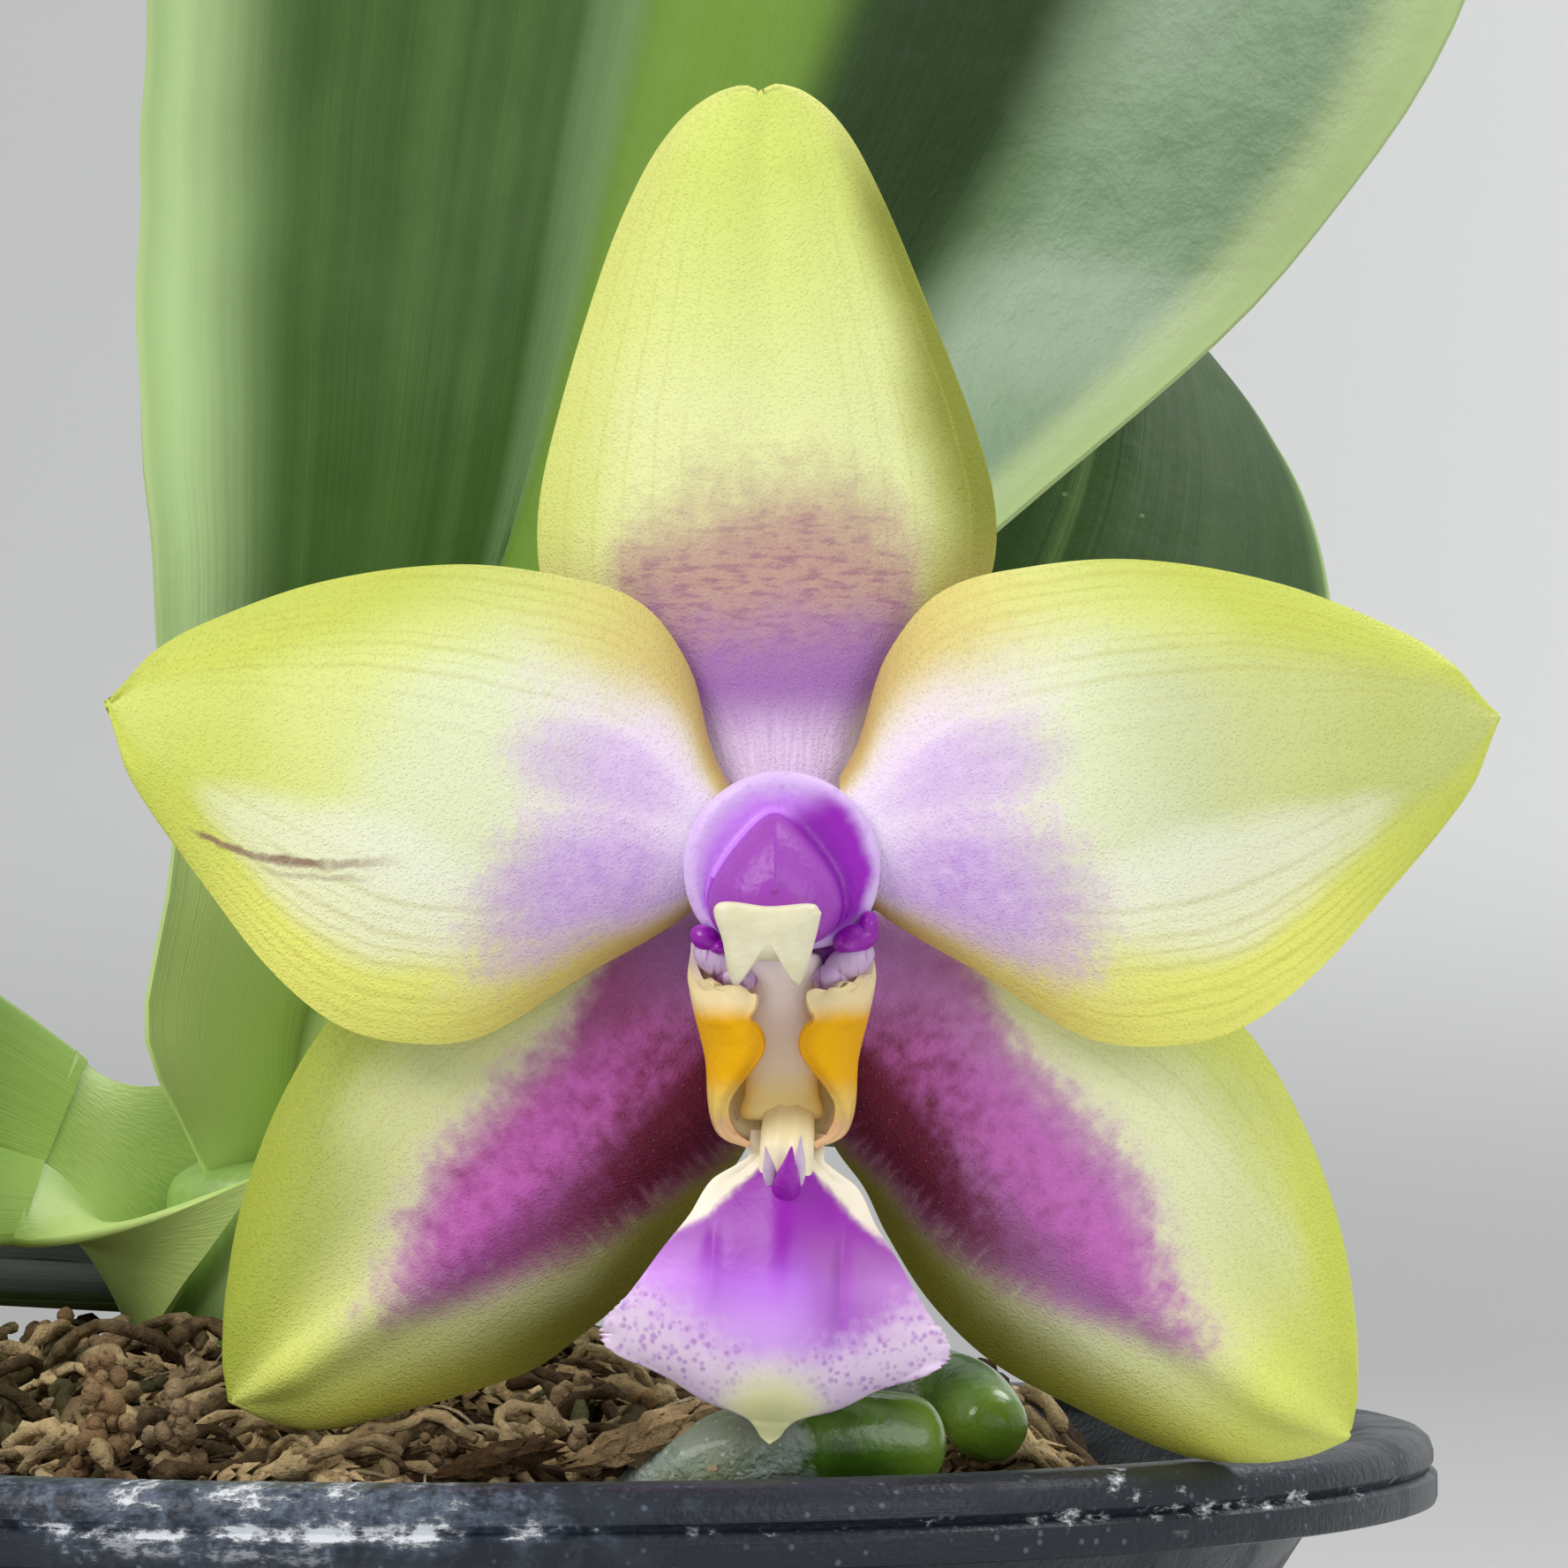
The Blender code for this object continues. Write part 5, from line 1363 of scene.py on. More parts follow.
LATERAL_OUTER = (
    (0.00, 0.30), (0.08, 0.43), (0.21, 0.69), (0.355, 0.94), (0.495, 1.00), (0.638, 0.89),
    (0.79, 0.65), (0.905, 0.37), (0.97, 0.15), (1.00, 0.00),
)
LATERAL_INNER = (
    (0.0, 0.18), (0.08, 0.45), (0.172, 0.74), (0.259, 0.83), (0.324, 0.94), (0.437, 1.07),
    (0.56, 1.09), (0.69, 0.96), (0.85, 0.74), (0.933, 0.48), (0.98, 0.22), (1.0, 0.0),
)
LEFT_LATERAL_INNER = (
    (0.0, 0.18), (0.08, 0.50), (0.17, 0.78), (0.27, 0.87), (0.38, 0.93), (0.47, 0.99),
    (0.54, 0.99), (0.63, 0.965), (0.71, 0.86), (0.82, 0.67), (0.933, 0.44), (0.98, 0.20),
    (1.0, 0.0),
)
# Each tepal lies along its own X, with its face to +Z: its base and the turn of
# its axis in the flower, its length, the half-width on its -Y and its +Y side,
# its outline on each side, how far its middle swells towards the viewer, how far
# its tip leans, how far its margins fall back at the base and at the tip, the
# place across it and the height of its ridge, how deep the nick in its tip is,
# and whether s runs the other way in its finish.
TEPALS = {
    "petal_right": {
        "base": (0.0033, 0.0015, 0.0016), "turn": 10.5, "length": 0.0305,
        "halves": (0.0119, 0.0108), "outlines": (PETAL_LOWER, PETAL_UPPER),
        "swell": 0.0022, "lean": 0.0, "fall": (0.0034, 0.0016), "ridge": (0.0, 0.0),
        "mirrored": True,
    },
    "petal_left": {
        "base": (-0.0032, 0.0013, 0.0016), "turn": 167.2, "length": 0.0289,
        "halves": (0.0104, 0.012), "outlines": (PETAL_UPPER, PETAL_LOWER),
        "swell": 0.0022, "lean": 0.0, "fall": (0.0034, 0.0016), "ridge": (0.0, 0.0),
        "mirrored": False,
    },
    "dorsal_sepal": {
        "base": (-0.0002, 0.0033, -0.0001), "turn": 91.2, "length": 0.0338,
        "halves": (0.0106, 0.0111), "outlines": (DORSAL_RIGHT, DORSAL_LEFT),
        "swell": -0.0006, "lean": -0.0022, "fall": (0.003, 0.004), "ridge": (0.0, -0.0003),
        "nick": 0.0005, "mirrored": False,
    },
    "lateral_sepal_right": {
        "base": (0.0021, -0.0045, -0.0019), "turn": -42.2, "length": 0.0332,
        "halves": (0.008, 0.011), "outlines": (LATERAL_INNER, LATERAL_OUTER),
        "swell": 0.0006, "lean": 0.0, "fall": (0.0016, 0.0042), "ridge": (-0.2, 0.0007),
        "mirrored": False,
    },
    "lateral_sepal_left": {
        "base": (-0.0019, -0.0043, -0.0019), "turn": 220.8, "length": 0.0318,
        "halves": (0.0106, 0.0086), "outlines": (LATERAL_OUTER, LEFT_LATERAL_INNER),
        "swell": 0.0006, "lean": 0.0, "fall": (0.0016, 0.0042), "ridge": (0.2, 0.0007),
        "mirrored": True,
    },
}
TEPAL_CELLS = (112, 76)


def flower_place(nod):
    return Matrix.Translation(FLOWER_CENTRE) @ Matrix.Rotation(pi / 2 + nod, 4, "X")


def tepal_point(tepal, t, s):
    """A point of a tepal's middle sheet: the solid's, with a ridge, a soft wave and a nick."""
    side = 1 if s > 0 else 0
    half = tepal["halves"][side] * max(0.0, through(tepal["outlines"][side], t))
    base_fall, tip_fall = tepal["fall"]
    fall = mix(base_fall, tip_fall, t) * (half / tepal["halves"][side]) * abs(s) ** 2.2
    rise = tepal["swell"] * sin(pi * t) + tepal["lean"] * t
    middle, height = tepal["ridge"]
    ridge = height * bump_at(s, middle, 0.16) * ease(0.15, 0.6, t) * ease(1.0, 0.9, t)
    spot = Vector((t * 5, s * 1.6, tepal["turn"]))
    wave = 0.00028 * noise.noise(spot) * ease(0.1, 0.3, t) * abs(s)
    x = tepal["length"] * t
    y = s * half
    x -= tepal.get("nick", 0.0) * bump_at(y, 0.0001, 0.0005) * ease(0.93, 1.0, t)
    return Vector((x, y, rise - fall + ridge + wave))


def tepal_piece(name, flower, front, back):
    tepal = TEPALS[name]
    seat = (
        flower_place(flower.nod)
        @ Matrix.Translation(tepal["base"])
        @ Matrix.Rotation(radians(tepal["turn"]), 4, "Z")
    )
    piece = laid_out(
        name + "_blade",
        lambda t, s: seat @ tepal_point(tepal, t, s),
        *TEPAL_CELLS,
        spread=lambda u: 1 - (1 - u) ** 1.5,
        fullness=thin_edges(0.3, 5, 0.88),
        mirrored=tepal["mirrored"],
    )
    return thickened(piece, flower.thickness, [front, back])


def velvet(finish, strength=0.22):
    """The tepals' tiny crystal-like cells: sparkling points painted whitish as painted glints, and a
    fine bump.
    """
    near, lot = finish.dots(6400)
    sparkle = near.fade(0.3, 0.1) * lot.fade(0.8, 1.0)
    # Painted glints: whitish dots where the cells would sparkle
    finish.paint(tint(255, 255, 246), sparkle * strength)
    finish.give("Roughness", 0.5 - sparkle * 0.2)
    height = finish.grain(5200, 2) * 0.6 + near.fade(0.5, 0.0) * 0.4
    return finish.done(height, 0.0001, 0.8)


def soft_finish(name):
    return Finish(name, 0.5, Specular_IOR_Level=0.3)


def petal_finish(name, flower, scratched, painted_centre_shade):
    """Cream in the middle, yellow-green to the margins, lilac and honey at the base, with fine veins.
    The lower side is painted brighter as painted light and the upper side darker as painted shade, and
    the middle can be greyed as painted shade.
    """
    finish = soft_finish(name)
    t, d = finish.blade()
    side = abs(d)
    cloud = finish.grain(190, 3) - 0.5
    thread = finish.grain(1300, 3) - 0.5
    yellow = t.fade(0.34, 0.86) * 0.85 + side.fade(0.3, 1.0) * 0.62 + cloud * 0.35
    finish.start(flower.cream, flower.lemon, yellow.fade(0.05, 0.6))
    finish.paint(flower.chartreuse, yellow.fade(0.5, 1.05))
    # Painted shade: the middle greyed, on the right petal
    if painted_centre_shade:
        finish.paint(tint(184, 190, 140), t.fade(0.3, 0.55) * side.fade(0.85, 0.4) * painted_centre_shade)
    # Painted light: the lower side painted bright yellow, as if lit
    low = d.fade(0.3, 0.85) * t.fade(0.1, 0.3) * t.fade(0.9, 0.6)
    finish.paint(tint(255, 254, 128), low * 0.95)
    pale = finish.squares(t - 0.55, 0.28) + finish.squares(d - 0.45, 0.3) + cloud
    finish.paint(tint(255, 255, 236), pale.fade(1.2, 0.2) * 0.6)
    # Painted shade: the upper side darkened towards green
    finish.paint(tint(186, 194, 86), d.fade(-0.45, -1.0) * t.fade(0.25, 0.5) * 0.45)

    fan = d * (1.0 - 0.1 * t) + cloud * 0.07
    broken = finish.streaks(t * 2.5, d * 5, detail=2).fade(0.34, 0.6)
    weave = finish.streaks(t * 70, d * 16, roughness=0.6) - 0.5
    veins = finish.lines(fan, 9, 0.2) * (thread + 0.75).at_most(1.0) * broken
    finish.paint(tint(186, 174, 66), veins * side.fade(0.1, 0.5) * t.fade(0.98, 0.8) * 0.34)
    between = finish.lines(fan + 0.055, 9, 0.1) * broken
    finish.paint(tint(190, 184, 74), between * side.fade(0.35, 0.7) * t.fade(0.95, 0.75) * 0.3)

    honey = (side - d * 0.1 + cloud * 0.2).fade(0.42, 0.86) * (t + thread * 0.1).fade(0.46, 0.12)
    finish.paint(flower.honey, honey * 0.75)
    finish.paint(tint(184, 140, 96), side.fade(0.55, 0.95) * t.fade(0.2, 0.04) * 0.65)

    lilac = (t + cloud * 0.22 + thread * 0.14 + weave * 0.1).fade(0.42, 0.14)
    lilac = lilac * (abs(d - 0.06) + cloud * 0.2).fade(0.86, 0.42)
    finish.paint(flower.lilac, lilac * 0.92)
    rays = finish.streaks(t * 3.0, d * 9) - 0.5
    uneven = cloud * 0.8 + thread * 1.1 + rays * 1.2 + weave * 1.2
    low = (finish.squares(t - 0.17, 0.17) + finish.squares(d - 0.42, 0.36) + uneven).fade(1.9, 0.0)
    high = (finish.squares(t - 0.2, 0.14) + finish.squares(d + 0.2, 0.18) + uneven).fade(1.9, 0.0)
    net = (thread * 1.1 + 0.8).at_most(1.0).at_least(0.0)
    finish.paint(flower.violet, (low * 0.78 + high * 0.5).at_most(1.0) * net)
    finish.paint(tint(206, 160, 150), low * t.fade(0.22, 0.34) * 0.15)
    finish.paint(tint(244, 236, 252), t.fade(0.12, 0.03) * side.fade(0.7, 0.2) * 0.45)
    if scratched:
        line = d - (0.3 + (t - 0.45) * (0.75 + (t - 0.45) * 1.3)) + thread * 0.05
        mark = abs(line).fade(0.034, 0.006) * t.fade(0.44, 0.62) * t.fade(0.83, 0.79)
        finish.paint(tint(150, 116, 98), mark * (thread * 1.6 + 0.8).at_most(0.9))
        beside = abs(line - 0.055).fade(0.022, 0.004) * t.fade(0.5, 0.56) * t.fade(0.72, 0.64)
        finish.paint(tint(178, 160, 130), beside * 0.5)
    return velvet(finish)


def dorsal_finish(flower):
    """Chartreuse tip, cream-yellow middle, rosy bars and a violet base."""
    finish = soft_finish("dorsal_sepal")
    t, s = finish.blade()
    side = abs(s)
    cloud = finish.grain(190, 3) - 0.5
    thread = finish.grain(1100, 3) - 0.5
    bars = finish.streaks(t * 95, s * 9) - 0.5
    level = t + cloud * 0.12
    finish.start(tint(238, 243, 172), tint(232, 241, 146), level.fade(0.5, 0.72))
    finish.paint(tint(222, 235, 118), level.fade(0.68, 0.9))
    finish.paint(tint(226, 231, 128), (side + cloud * 0.3).fade(0.52, 0.98) * t.fade(0.12, 0.4))
    shaded = (s * -1.0 + cloud * 0.15).fade(0.56, 0.92) * t.fade(0.98, 0.8)
    finish.paint(tint(128, 134, 20), shaded * 0.9)
    finish.paint(flower.honey, side.fade(0.5, 0.85) * t.fade(0.42, 0.2) * 0.7)

    veins = finish.lines(s + cloud * 0.05, 8, 0.12) * (thread + 0.7).at_most(1.0)
    finish.paint(tint(200, 196, 84), veins * side.fade(0.15, 0.6) * 0.3)

    dome = finish.squares(side, 0.66) + cloud * 0.3 + bars * 0.2
    blush = (level + thread * 0.1 + bars * 0.12 + dome * 0.1).fade(0.54, 0.33) * dome.fade(1.35, 0.75)
    finish.paint(tint(192, 146, 142), blush * 0.9)
    finish.paint(flower.rose, blush * bars.fade(-0.05, 0.16) * 0.9)
    base = (level + thread * 0.06).fade(0.31, 0.15) * (side.fade(1.0, 0.55) + 0.1).at_most(1.0)
    finish.paint(tint(168, 114, 184), base)
    streaks = finish.streaks(t * 14, s * 22) - 0.5
    finish.paint(flower.lilac, t.fade(0.16, 0.05) * (streaks * 0.8 + 0.75).at_most(1.0))
    return velvet(finish)


def lateral_finish(name, flower, lilac, green):
    """A magenta blaze beside the lip, darkest at its inner edge, cream and yellow-green beyond it.

    The shares of lilac in the blaze and of green in the outer zone differ from left to right.
    """
    finish = soft_finish(name)
    t, e = finish.blade()
    cloud = finish.grain(190, 3) - 0.5
    thread = finish.grain(1200, 3) - 0.5
    bars = finish.streaks(t * 85, e * 5) - 0.5
    outer = (e + cloud * 0.3).fade(0.45, 1.0)
    tip = (t + cloud * 0.15).fade(0.58, 0.92)
    middle = tint(mix(238, 216, green), mix(242, 218, green), mix(200, 150, green))
    finish.start(middle, tint(224, 230, 118), (outer + tip).at_most(1.0))
    finish.paint(flower.chartreuse, (outer * 0.7 + tip * 0.8).fade(0.5, 1.2))
    leafy = (outer * 0.7 + t.fade(0.3, 0.8) * e.fade(-0.2, 0.5)).fade(0.2, 1.1)
    finish.paint(tint(146, 160, 36), leafy * green)
    veins = finish.lines(e + cloud * 0.05, 8, 0.12) * (thread + 0.7).at_most(1.0)
    finish.paint(tint(190, 190, 76), veins * abs(e).fade(0.2, 0.6) * 0.28)
    # The inner margin: olive near the base, partly painted shade from the lip, yellower towards the tip
    inner = (e + cloud * 0.2).fade(-0.42, -0.92)
    rim = finish.blend(flower.olive, tint(222, 220, 92), t.fade(0.52, 0.9))
    finish.paint(rim, inner * t.fade(0.99, 0.85))

    along = (t - 0.15).at_least(0.0)
    aside = (abs(e + 0.3) - t.fade(0.3, 0.05) * 0.55).at_least(0.0)
    away = finish.squares(along, 0.53) + finish.squares(aside, 0.6)
    away = away + cloud * 0.55 + thread * 0.7 + bars * 0.25
    shore = e + 1.02 - (t - 0.16).at_least(0.0) * 0.95 + bars * 0.12 + thread * 0.1
    blaze = away.fade(1.45, 0.62) * shore.fade(-0.04, 0.3)
    finish.paint(tint(214, 176, 206), away.fade(1.75, 0.95) * shore.fade(0.0, 0.4) * 0.6)
    finish.paint(flower.magenta, blaze)
    pale = (thread * 1.6 + 0.6 + t).at_most(1.0).at_least(0.0)
    finish.paint(tint(206, 148, 214), blaze * pale * lilac)
    core = finish.squares(e - 0.02 + t * 0.25, 0.2).fade(1.4, 0.0) * t.fade(0.1, 0.25)
    finish.paint(tint(170, 60, 158), blaze * core * 0.45)
    near_lip = (0.38 - t).at_least(0.0) * 2.2
    dark = (e + thread * 0.3 + bars * 0.5 - t * 0.25 - near_lip).fade(-0.1, -0.8)
    dark = dark * t.fade(0.62, 0.36) * t.fade(0.04, 0.14)
    finish.paint(flower.maroon, dark * blaze)
    deep = dark * blaze * (bars + 0.25).fade(0.0, 0.3) * e.fade(-0.2, -0.7)
    finish.paint(tint(84, 14, 36), deep * 0.8)
    light = finish.squares(e + 0.06, 0.3).fade(1.3, 0.1) * thread.fade(-0.3, 0.26)
    finish.paint(tint(214, 110, 204), light * blaze * 0.55)
    base = t.fade(0.2, 0.03) * e.fade(-0.5, 0.1)
    finish.paint(tint(180, 122, 194), base * 0.8)
    return velvet(finish)


def tepal_back():
    finish = soft_finish("tepal_back")
    t, s = finish.blade()
    cloud = finish.grain(220, 3) - 0.5
    finish.start(tint(214, 218, 140), tint(196, 204, 104), (t + cloud * 0.4).fade(0.2, 0.9))
    finish.paint(tint(196, 150, 160), (t + cloud * 0.3).fade(0.45, 0.05) * 0.5)
    veins = finish.lines(s + cloud * 0.05, 8, 0.14)
    finish.paint(tint(180, 184, 84), veins * 0.3)
    return velvet(finish, 0.15)


# Column, anther cap and column foot


COLUMN_RINGS = (
    # t, height towards the viewer, half-width, reach up, reach down, middle, share of the hood's form
    (0.000, -0.0010, 0.00000, 0.00000, 0.00000, 0.0000, 0.0),
    (0.010, -0.0010, 0.00220, 0.00220, 0.00220, 0.0000, 0.0),
    (0.100, 0.0010, 0.00240, 0.00250, 0.00240, 0.0000, 0.0),
    (0.170, 0.0019, 0.00380, 0.00400, 0.00330, 0.0001, 0.0),
    (0.240, 0.0024, 0.00445, 0.00440, 0.00380, 0.0001, 0.0),
    (0.285, 0.0028, 0.00455, 0.00445, 0.00385, 0.0001, 0.0),
    (0.320, 0.0031, 0.00440, 0.00430, 0.00380, 0.0001, 0.0),
    (0.370, 0.0033, 0.00408, 0.00395, 0.00360, 0.0001, 0.1),
    (0.430, 0.0033, 0.00368, 0.00350, 0.00340, -0.0001, 0.4),
    (0.480, 0.0033, 0.00342, 0.00318, 0.00330, -0.0003, 0.8),
    (0.520, 0.0036, 0.00328, 0.00306, 0.00325, -0.0004, 1.0),
    (0.590, 0.0042, 0.00328, 0.00300, 0.00325, -0.0005, 1.0),
    (0.680, 0.0054, 0.00312, 0.00285, 0.00320, -0.0005, 1.0),
    (0.780, 0.0064, 0.00265, 0.00240, 0.00285, -0.0007, 1.0),
    (0.880, 0.0071, 0.00185, 0.00165, 0.00210, -0.0009, 1.0),
    (0.960, 0.0075, 0.00090, 0.00080, 0.00105, -0.0010, 1.0),
    (1.000, 0.0076, 0.00000, 0.00000, 0.00000, -0.0010, 1.0),
)


def column_point(t, s):
    """Up the neck, out and over the flared rim, down its gutter, and up over the hood.

    The rim is an arch with broad feet, and the hood an egg with its point upwards.
    """
    height, half, up, down, middle, hooded = ring_at(COLUMN_RINGS, t)
    turn = pi * s
    rise, reach = sin(turn), cos(turn)
    arch = reach if rise > 0 else copysign(abs(reach) ** 0.62, reach)
    egg = reach * (0.86 - (0.44 if rise > 0 else 0.4) * rise)
    x = max(0.0, half) * mix(arch, egg, hooded) - 0.00032 * hooded
    crest = 0.00012 * bump_at(x, -0.0003, 0.0003) * ease(0.55, 0.65, t) * max(0.0, rise)
    y = middle + max(0.0, up if rise > 0 else down) * rise
    return Vector((x, y, height + crest))


def ball_piece(name, centre, radii, turn):
    """A rounded lump: a ball with three radii, turned about the flower's own axis."""
    turned = Matrix.Rotation(turn, 3, "Z")

    def point(t, s):
        lift = pi * (t - 0.5)
        around = pi * s
        ball = (cos(lift) * cos(around), cos(lift) * sin(around), sin(lift))
        shaped = Vector([share * radius for share, radius in zip(ball, radii)])
        return Vector(centre) + turned @ shaped

    return closed_form(name, point, 24, 32)


def with_finish(piece, finish):
    piece.data.materials.append(finish)
    return piece


def column_piece(flower, purple, knob_finish, tissue):
    seat = flower_place(flower.nod)
    column = closed_form("column_hood", column_point, 150, 96)
    with_finish(column, purple)
    knobs = (
        ((-0.0035, -0.0032, 0.0033), (0.0008, 0.0006, 0.0008), -0.55),
        ((-0.0029, -0.0036, 0.0034), (0.0005, 0.0004, 0.0008), 0.10),
        ((0.0034, -0.0032, 0.0034), (0.0011, 0.0007, 0.0008), 0.30),
        ((0.0040, -0.0026, 0.0033), (0.0005, 0.0007, 0.0008), -0.1),
        ((0.0000, -0.0040, 0.0014), (0.0038, 0.0020, 0.0008), 0.0),
    )
    tissues = (
        ((-0.0029, -0.0042, 0.0030), (0.0013, 0.0008, 0.0010), -0.5),
        ((-0.0021, -0.0050, 0.0030), (0.0010, 0.0006, 0.0010), -0.3),
        ((0.0031, -0.0043, 0.0030), (0.0013, 0.0008, 0.0010), 0.5),
        ((0.0023, -0.0050, 0.0030), (0.0009, 0.0007, 0.0010), 0.3),
    )
    lumps = [with_finish(ball_piece("knob", *knob), knob_finish) for knob in knobs]
    lumps += [with_finish(ball_piece("tissue", *lump), tissue) for lump in tissues]
    join_pieces(column, lumps)
    column.data.transform(seat)
    return column


def column_finish(column):
    """Purple hood, deep violet gutter, and a pale lilac flare round them. The gutter is deepest on the
    right, partly painted shade in the recess beside the hood, and the hood's foot on the right is
    darkened as painted shade.
    """
    finish = Finish("column_purple", 0.34)
    t, s = finish.blade()
    cloud = finish.grain(700, 3) - 0.5
    streaks = finish.streaks(t * 4, s * 14, detail=2) - 0.5
    right = abs(s - 0.02).fade(0.42, 0.22)
    level = t + cloud * 0.06 + streaks * 0.05
    finish.start(tint(240, 228, 252), tint(222, 186, 246), level.fade(0.2, 0.36))
    finish.paint(column.flare, level.fade(0.36, 0.46))
    # The deep gutter, strongest on the right: partly its own violet, partly painted shade in the recess
    finish.paint(column.gutter, level.fade(0.32, 0.4) * right)
    finish.paint(tint(130, 20, 160), level.fade(0.42, 0.5) * right * 0.6)
    finish.paint(column.gutter, level.fade(0.45, 0.51) * s.fade(0.0, -0.15) * 0.9)
    finish.paint(column.hood, t.fade(0.505, 0.555))
    # Painted shade under the hood's right side
    finish.paint(tint(150, 56, 178), t.fade(0.62, 0.52) * t.fade(0.5, 0.54) * right * 0.6)
    speck = finish.grain(2200, 2).fade(0.6, 0.72)
    finish.paint(tint(150, 62, 172), speck * 0.18)
    finish.give("Roughness", 0.38 + cloud * 0.1)
    return finish.done(finish.grain(2600, 2), 0.0001, 0.6)


def knob_violet():
    finish = Finish("knob_violet", 0.28)
    finish.start(tint(150, 14, 172), tint(190, 70, 208), finish.grain(1200, 2).fade(0.5, 0.8))
    return finish.done(finish.grain(2400, 2), 0.00008, 0.6)


def pale_tissue():
    """The pale skin under the hood, with violet streaks."""
    finish = Finish("pale_tissue", 0.4)
    x, y, z = finish.split(finish.place())
    streaks = finish.streaks(x * 2600, z * 500, y * 500, detail=2)
    finish.start(tint(206, 178, 212), tint(140, 44, 152), streaks.fade(0.5, 0.66) * 0.8)
    return finish.done(streaks, 0.0001, 0.6)


# The cap's outline from the front, round from its right end, about the middle of its top edge
CAP_OUTLINE = (
    (0.00, (0.0024, -0.0001)), (0.05, (0.0020, 0.0003)), (0.15, (0.0000, 0.0002)),
    (0.25, (-0.0020, 0.0004)), (0.30, (-0.0025, 0.0000)), (0.36, (-0.0021, -0.0014)),
    (0.42, (-0.00185, -0.0028)), (0.455, (-0.00155, -0.00345)), (0.49, (-0.00120, -0.00320)),
    (0.54, (-0.0006, -0.0024)), (0.58, (-0.0002, -0.0023)), (0.62, (0.0006, -0.0024)),
    (0.68, (0.0010, -0.0032)), (0.71, (0.00135, -0.00345)), (0.745, (0.0017, -0.0028)),
    (0.84, (0.0021, -0.0014)), (0.94, (0.0023, -0.0006)), (1.00, (0.0024, -0.0001)),
)
CAP_RINGS = (
    # t, share of the outline, height over the cap's back
    (0.00, 0.00, 0.0000), (0.12, 0.90, 0.0000), (0.24, 1.00, 0.0003), (0.36, 1.00, 0.0007),
    (0.50, 0.90, 0.0011), (0.68, 0.62, 0.0013), (0.86, 0.28, 0.0014), (1.00, 0.00, 0.0014),
)


def cap_point(t, s):
    corners = [(at, Vector(spot)) for at, spot in CAP_OUTLINE]
    spot = through(corners, (s + 1) / 2)
    share, height = ring_at(CAP_RINGS, t)
    middle = Vector((0.0, -0.0013))
    flat = middle + (spot - middle) * min(1.0, max(0.0, share))
    lean = -0.16 * flat.y
    return Vector((flat.x - 0.0006, flat.y - 0.0018, 0.0072 + height - lean))


def cap_finish(column):
    finish = Finish("anther_cream", 0.42)
    _, _, z = finish.split(finish.place())
    cloud = finish.grain(900, 3)
    finish.start(column.cap, tint(222, 214, 170), cloud.fade(0.35, 0.75) * 0.6)
    finish.paint(tint(248, 246, 224), (z - 0.1085).fade(-0.0006, -0.0018) * 0.5)
    return finish.done(cloud + finish.grain(2600) * 0.3, 0.0002, 0.6)


def foot_piece(flower):
    """The pale strap that runs down from the column to the lip."""
    rings = (
        # t, height in the flower, half-width, back face, front face
        (0.00, -0.0039, 0.0000, 0.0023, 0.0023),
        (0.02, -0.0039, 0.0017, 0.0012, 0.0034),
        (0.28, -0.0060, 0.0016, 0.0008, 0.0028),
        (0.58, -0.0085, 0.0016, 0.0006, 0.0022),
        (0.82, -0.0104, 0.0017, 0.0005, 0.0018),
        (0.98, -0.0117, 0.0017, 0.0007, 0.0016),
        (1.00, -0.0117, 0.0000, 0.0011, 0.0011),
    )
    seat = flower_place(flower.nod)

    def point(t, s):
        y, half, back, front = ring_at(rings, t)
        turn = pi * s
        wide = max(0.0, half) * copysign(abs(cos(turn)) ** 0.7, cos(turn))
        deep = (front - back) / 2 * sin(turn)
        return seat @ Vector((wide, y, (back + front) / 2 + deep))

    return closed_form("column_strap", point, 70, 36)


def foot_finish(column):
    finish = Finish("foot_rose_cream", 0.4)
    t, _ = finish.blade()
    cloud = finish.grain(700, 2) - 0.5
    # The foot's near-white: partly its own pale rose-cream, partly painted light against the cap's and
    # lobes' shadow
    finish.start(column.strap, tint(252, 236, 212), (t + cloud * 0.2).fade(0.3, 0.62))
    finish.paint(tint(250, 226, 146), (t + cloud * 0.1).fade(0.62, 0.86))
    return finish.done(finish.grain(2200, 2), 0.0001, 0.6)


# Lip


# The trough: its top and foot in the flower, and down it the half-widths between
# its walls and between its lobes' free edges, and how far its front and back stand out
LIP_TOP = -0.0041
LIP_FOOT = -0.0128
LIP_WALL = (
    (0.00, 0.00405), (0.10, 0.00402), (0.28, 0.00372), (0.53, 0.00320), (0.76, 0.00306),
    (0.88, 0.00282), (0.95, 0.00240), (1.00, 0.00160),
)
LIP_EDGE = (
    (0.00, 0.00380), (0.05, 0.00372), (0.09, 0.00310), (0.135, 0.00225), (0.165, 0.00135),
    (0.20, 0.00112), (0.27, 0.00126), (0.305, 0.00146), (0.33, 0.00138), (0.36, 0.00106),
    (0.42, 0.00082), (0.47, 0.00080), (0.52, 0.00096), (0.60, 0.00146), (0.68, 0.00205),
    (0.76, 0.00250), (0.88, 0.00270), (0.95, 0.00230), (1.00, 0.00150),
)
LIP_FRONT = ((0.0, 0.0032), (0.2, 0.0047), (0.5, 0.0046), (0.76, 0.0036), (1.0, 0.0026))
LIP_BACK = ((0.0, -0.0004), (0.6, -0.0004), (0.85, 0.0), (1.0, 0.001))
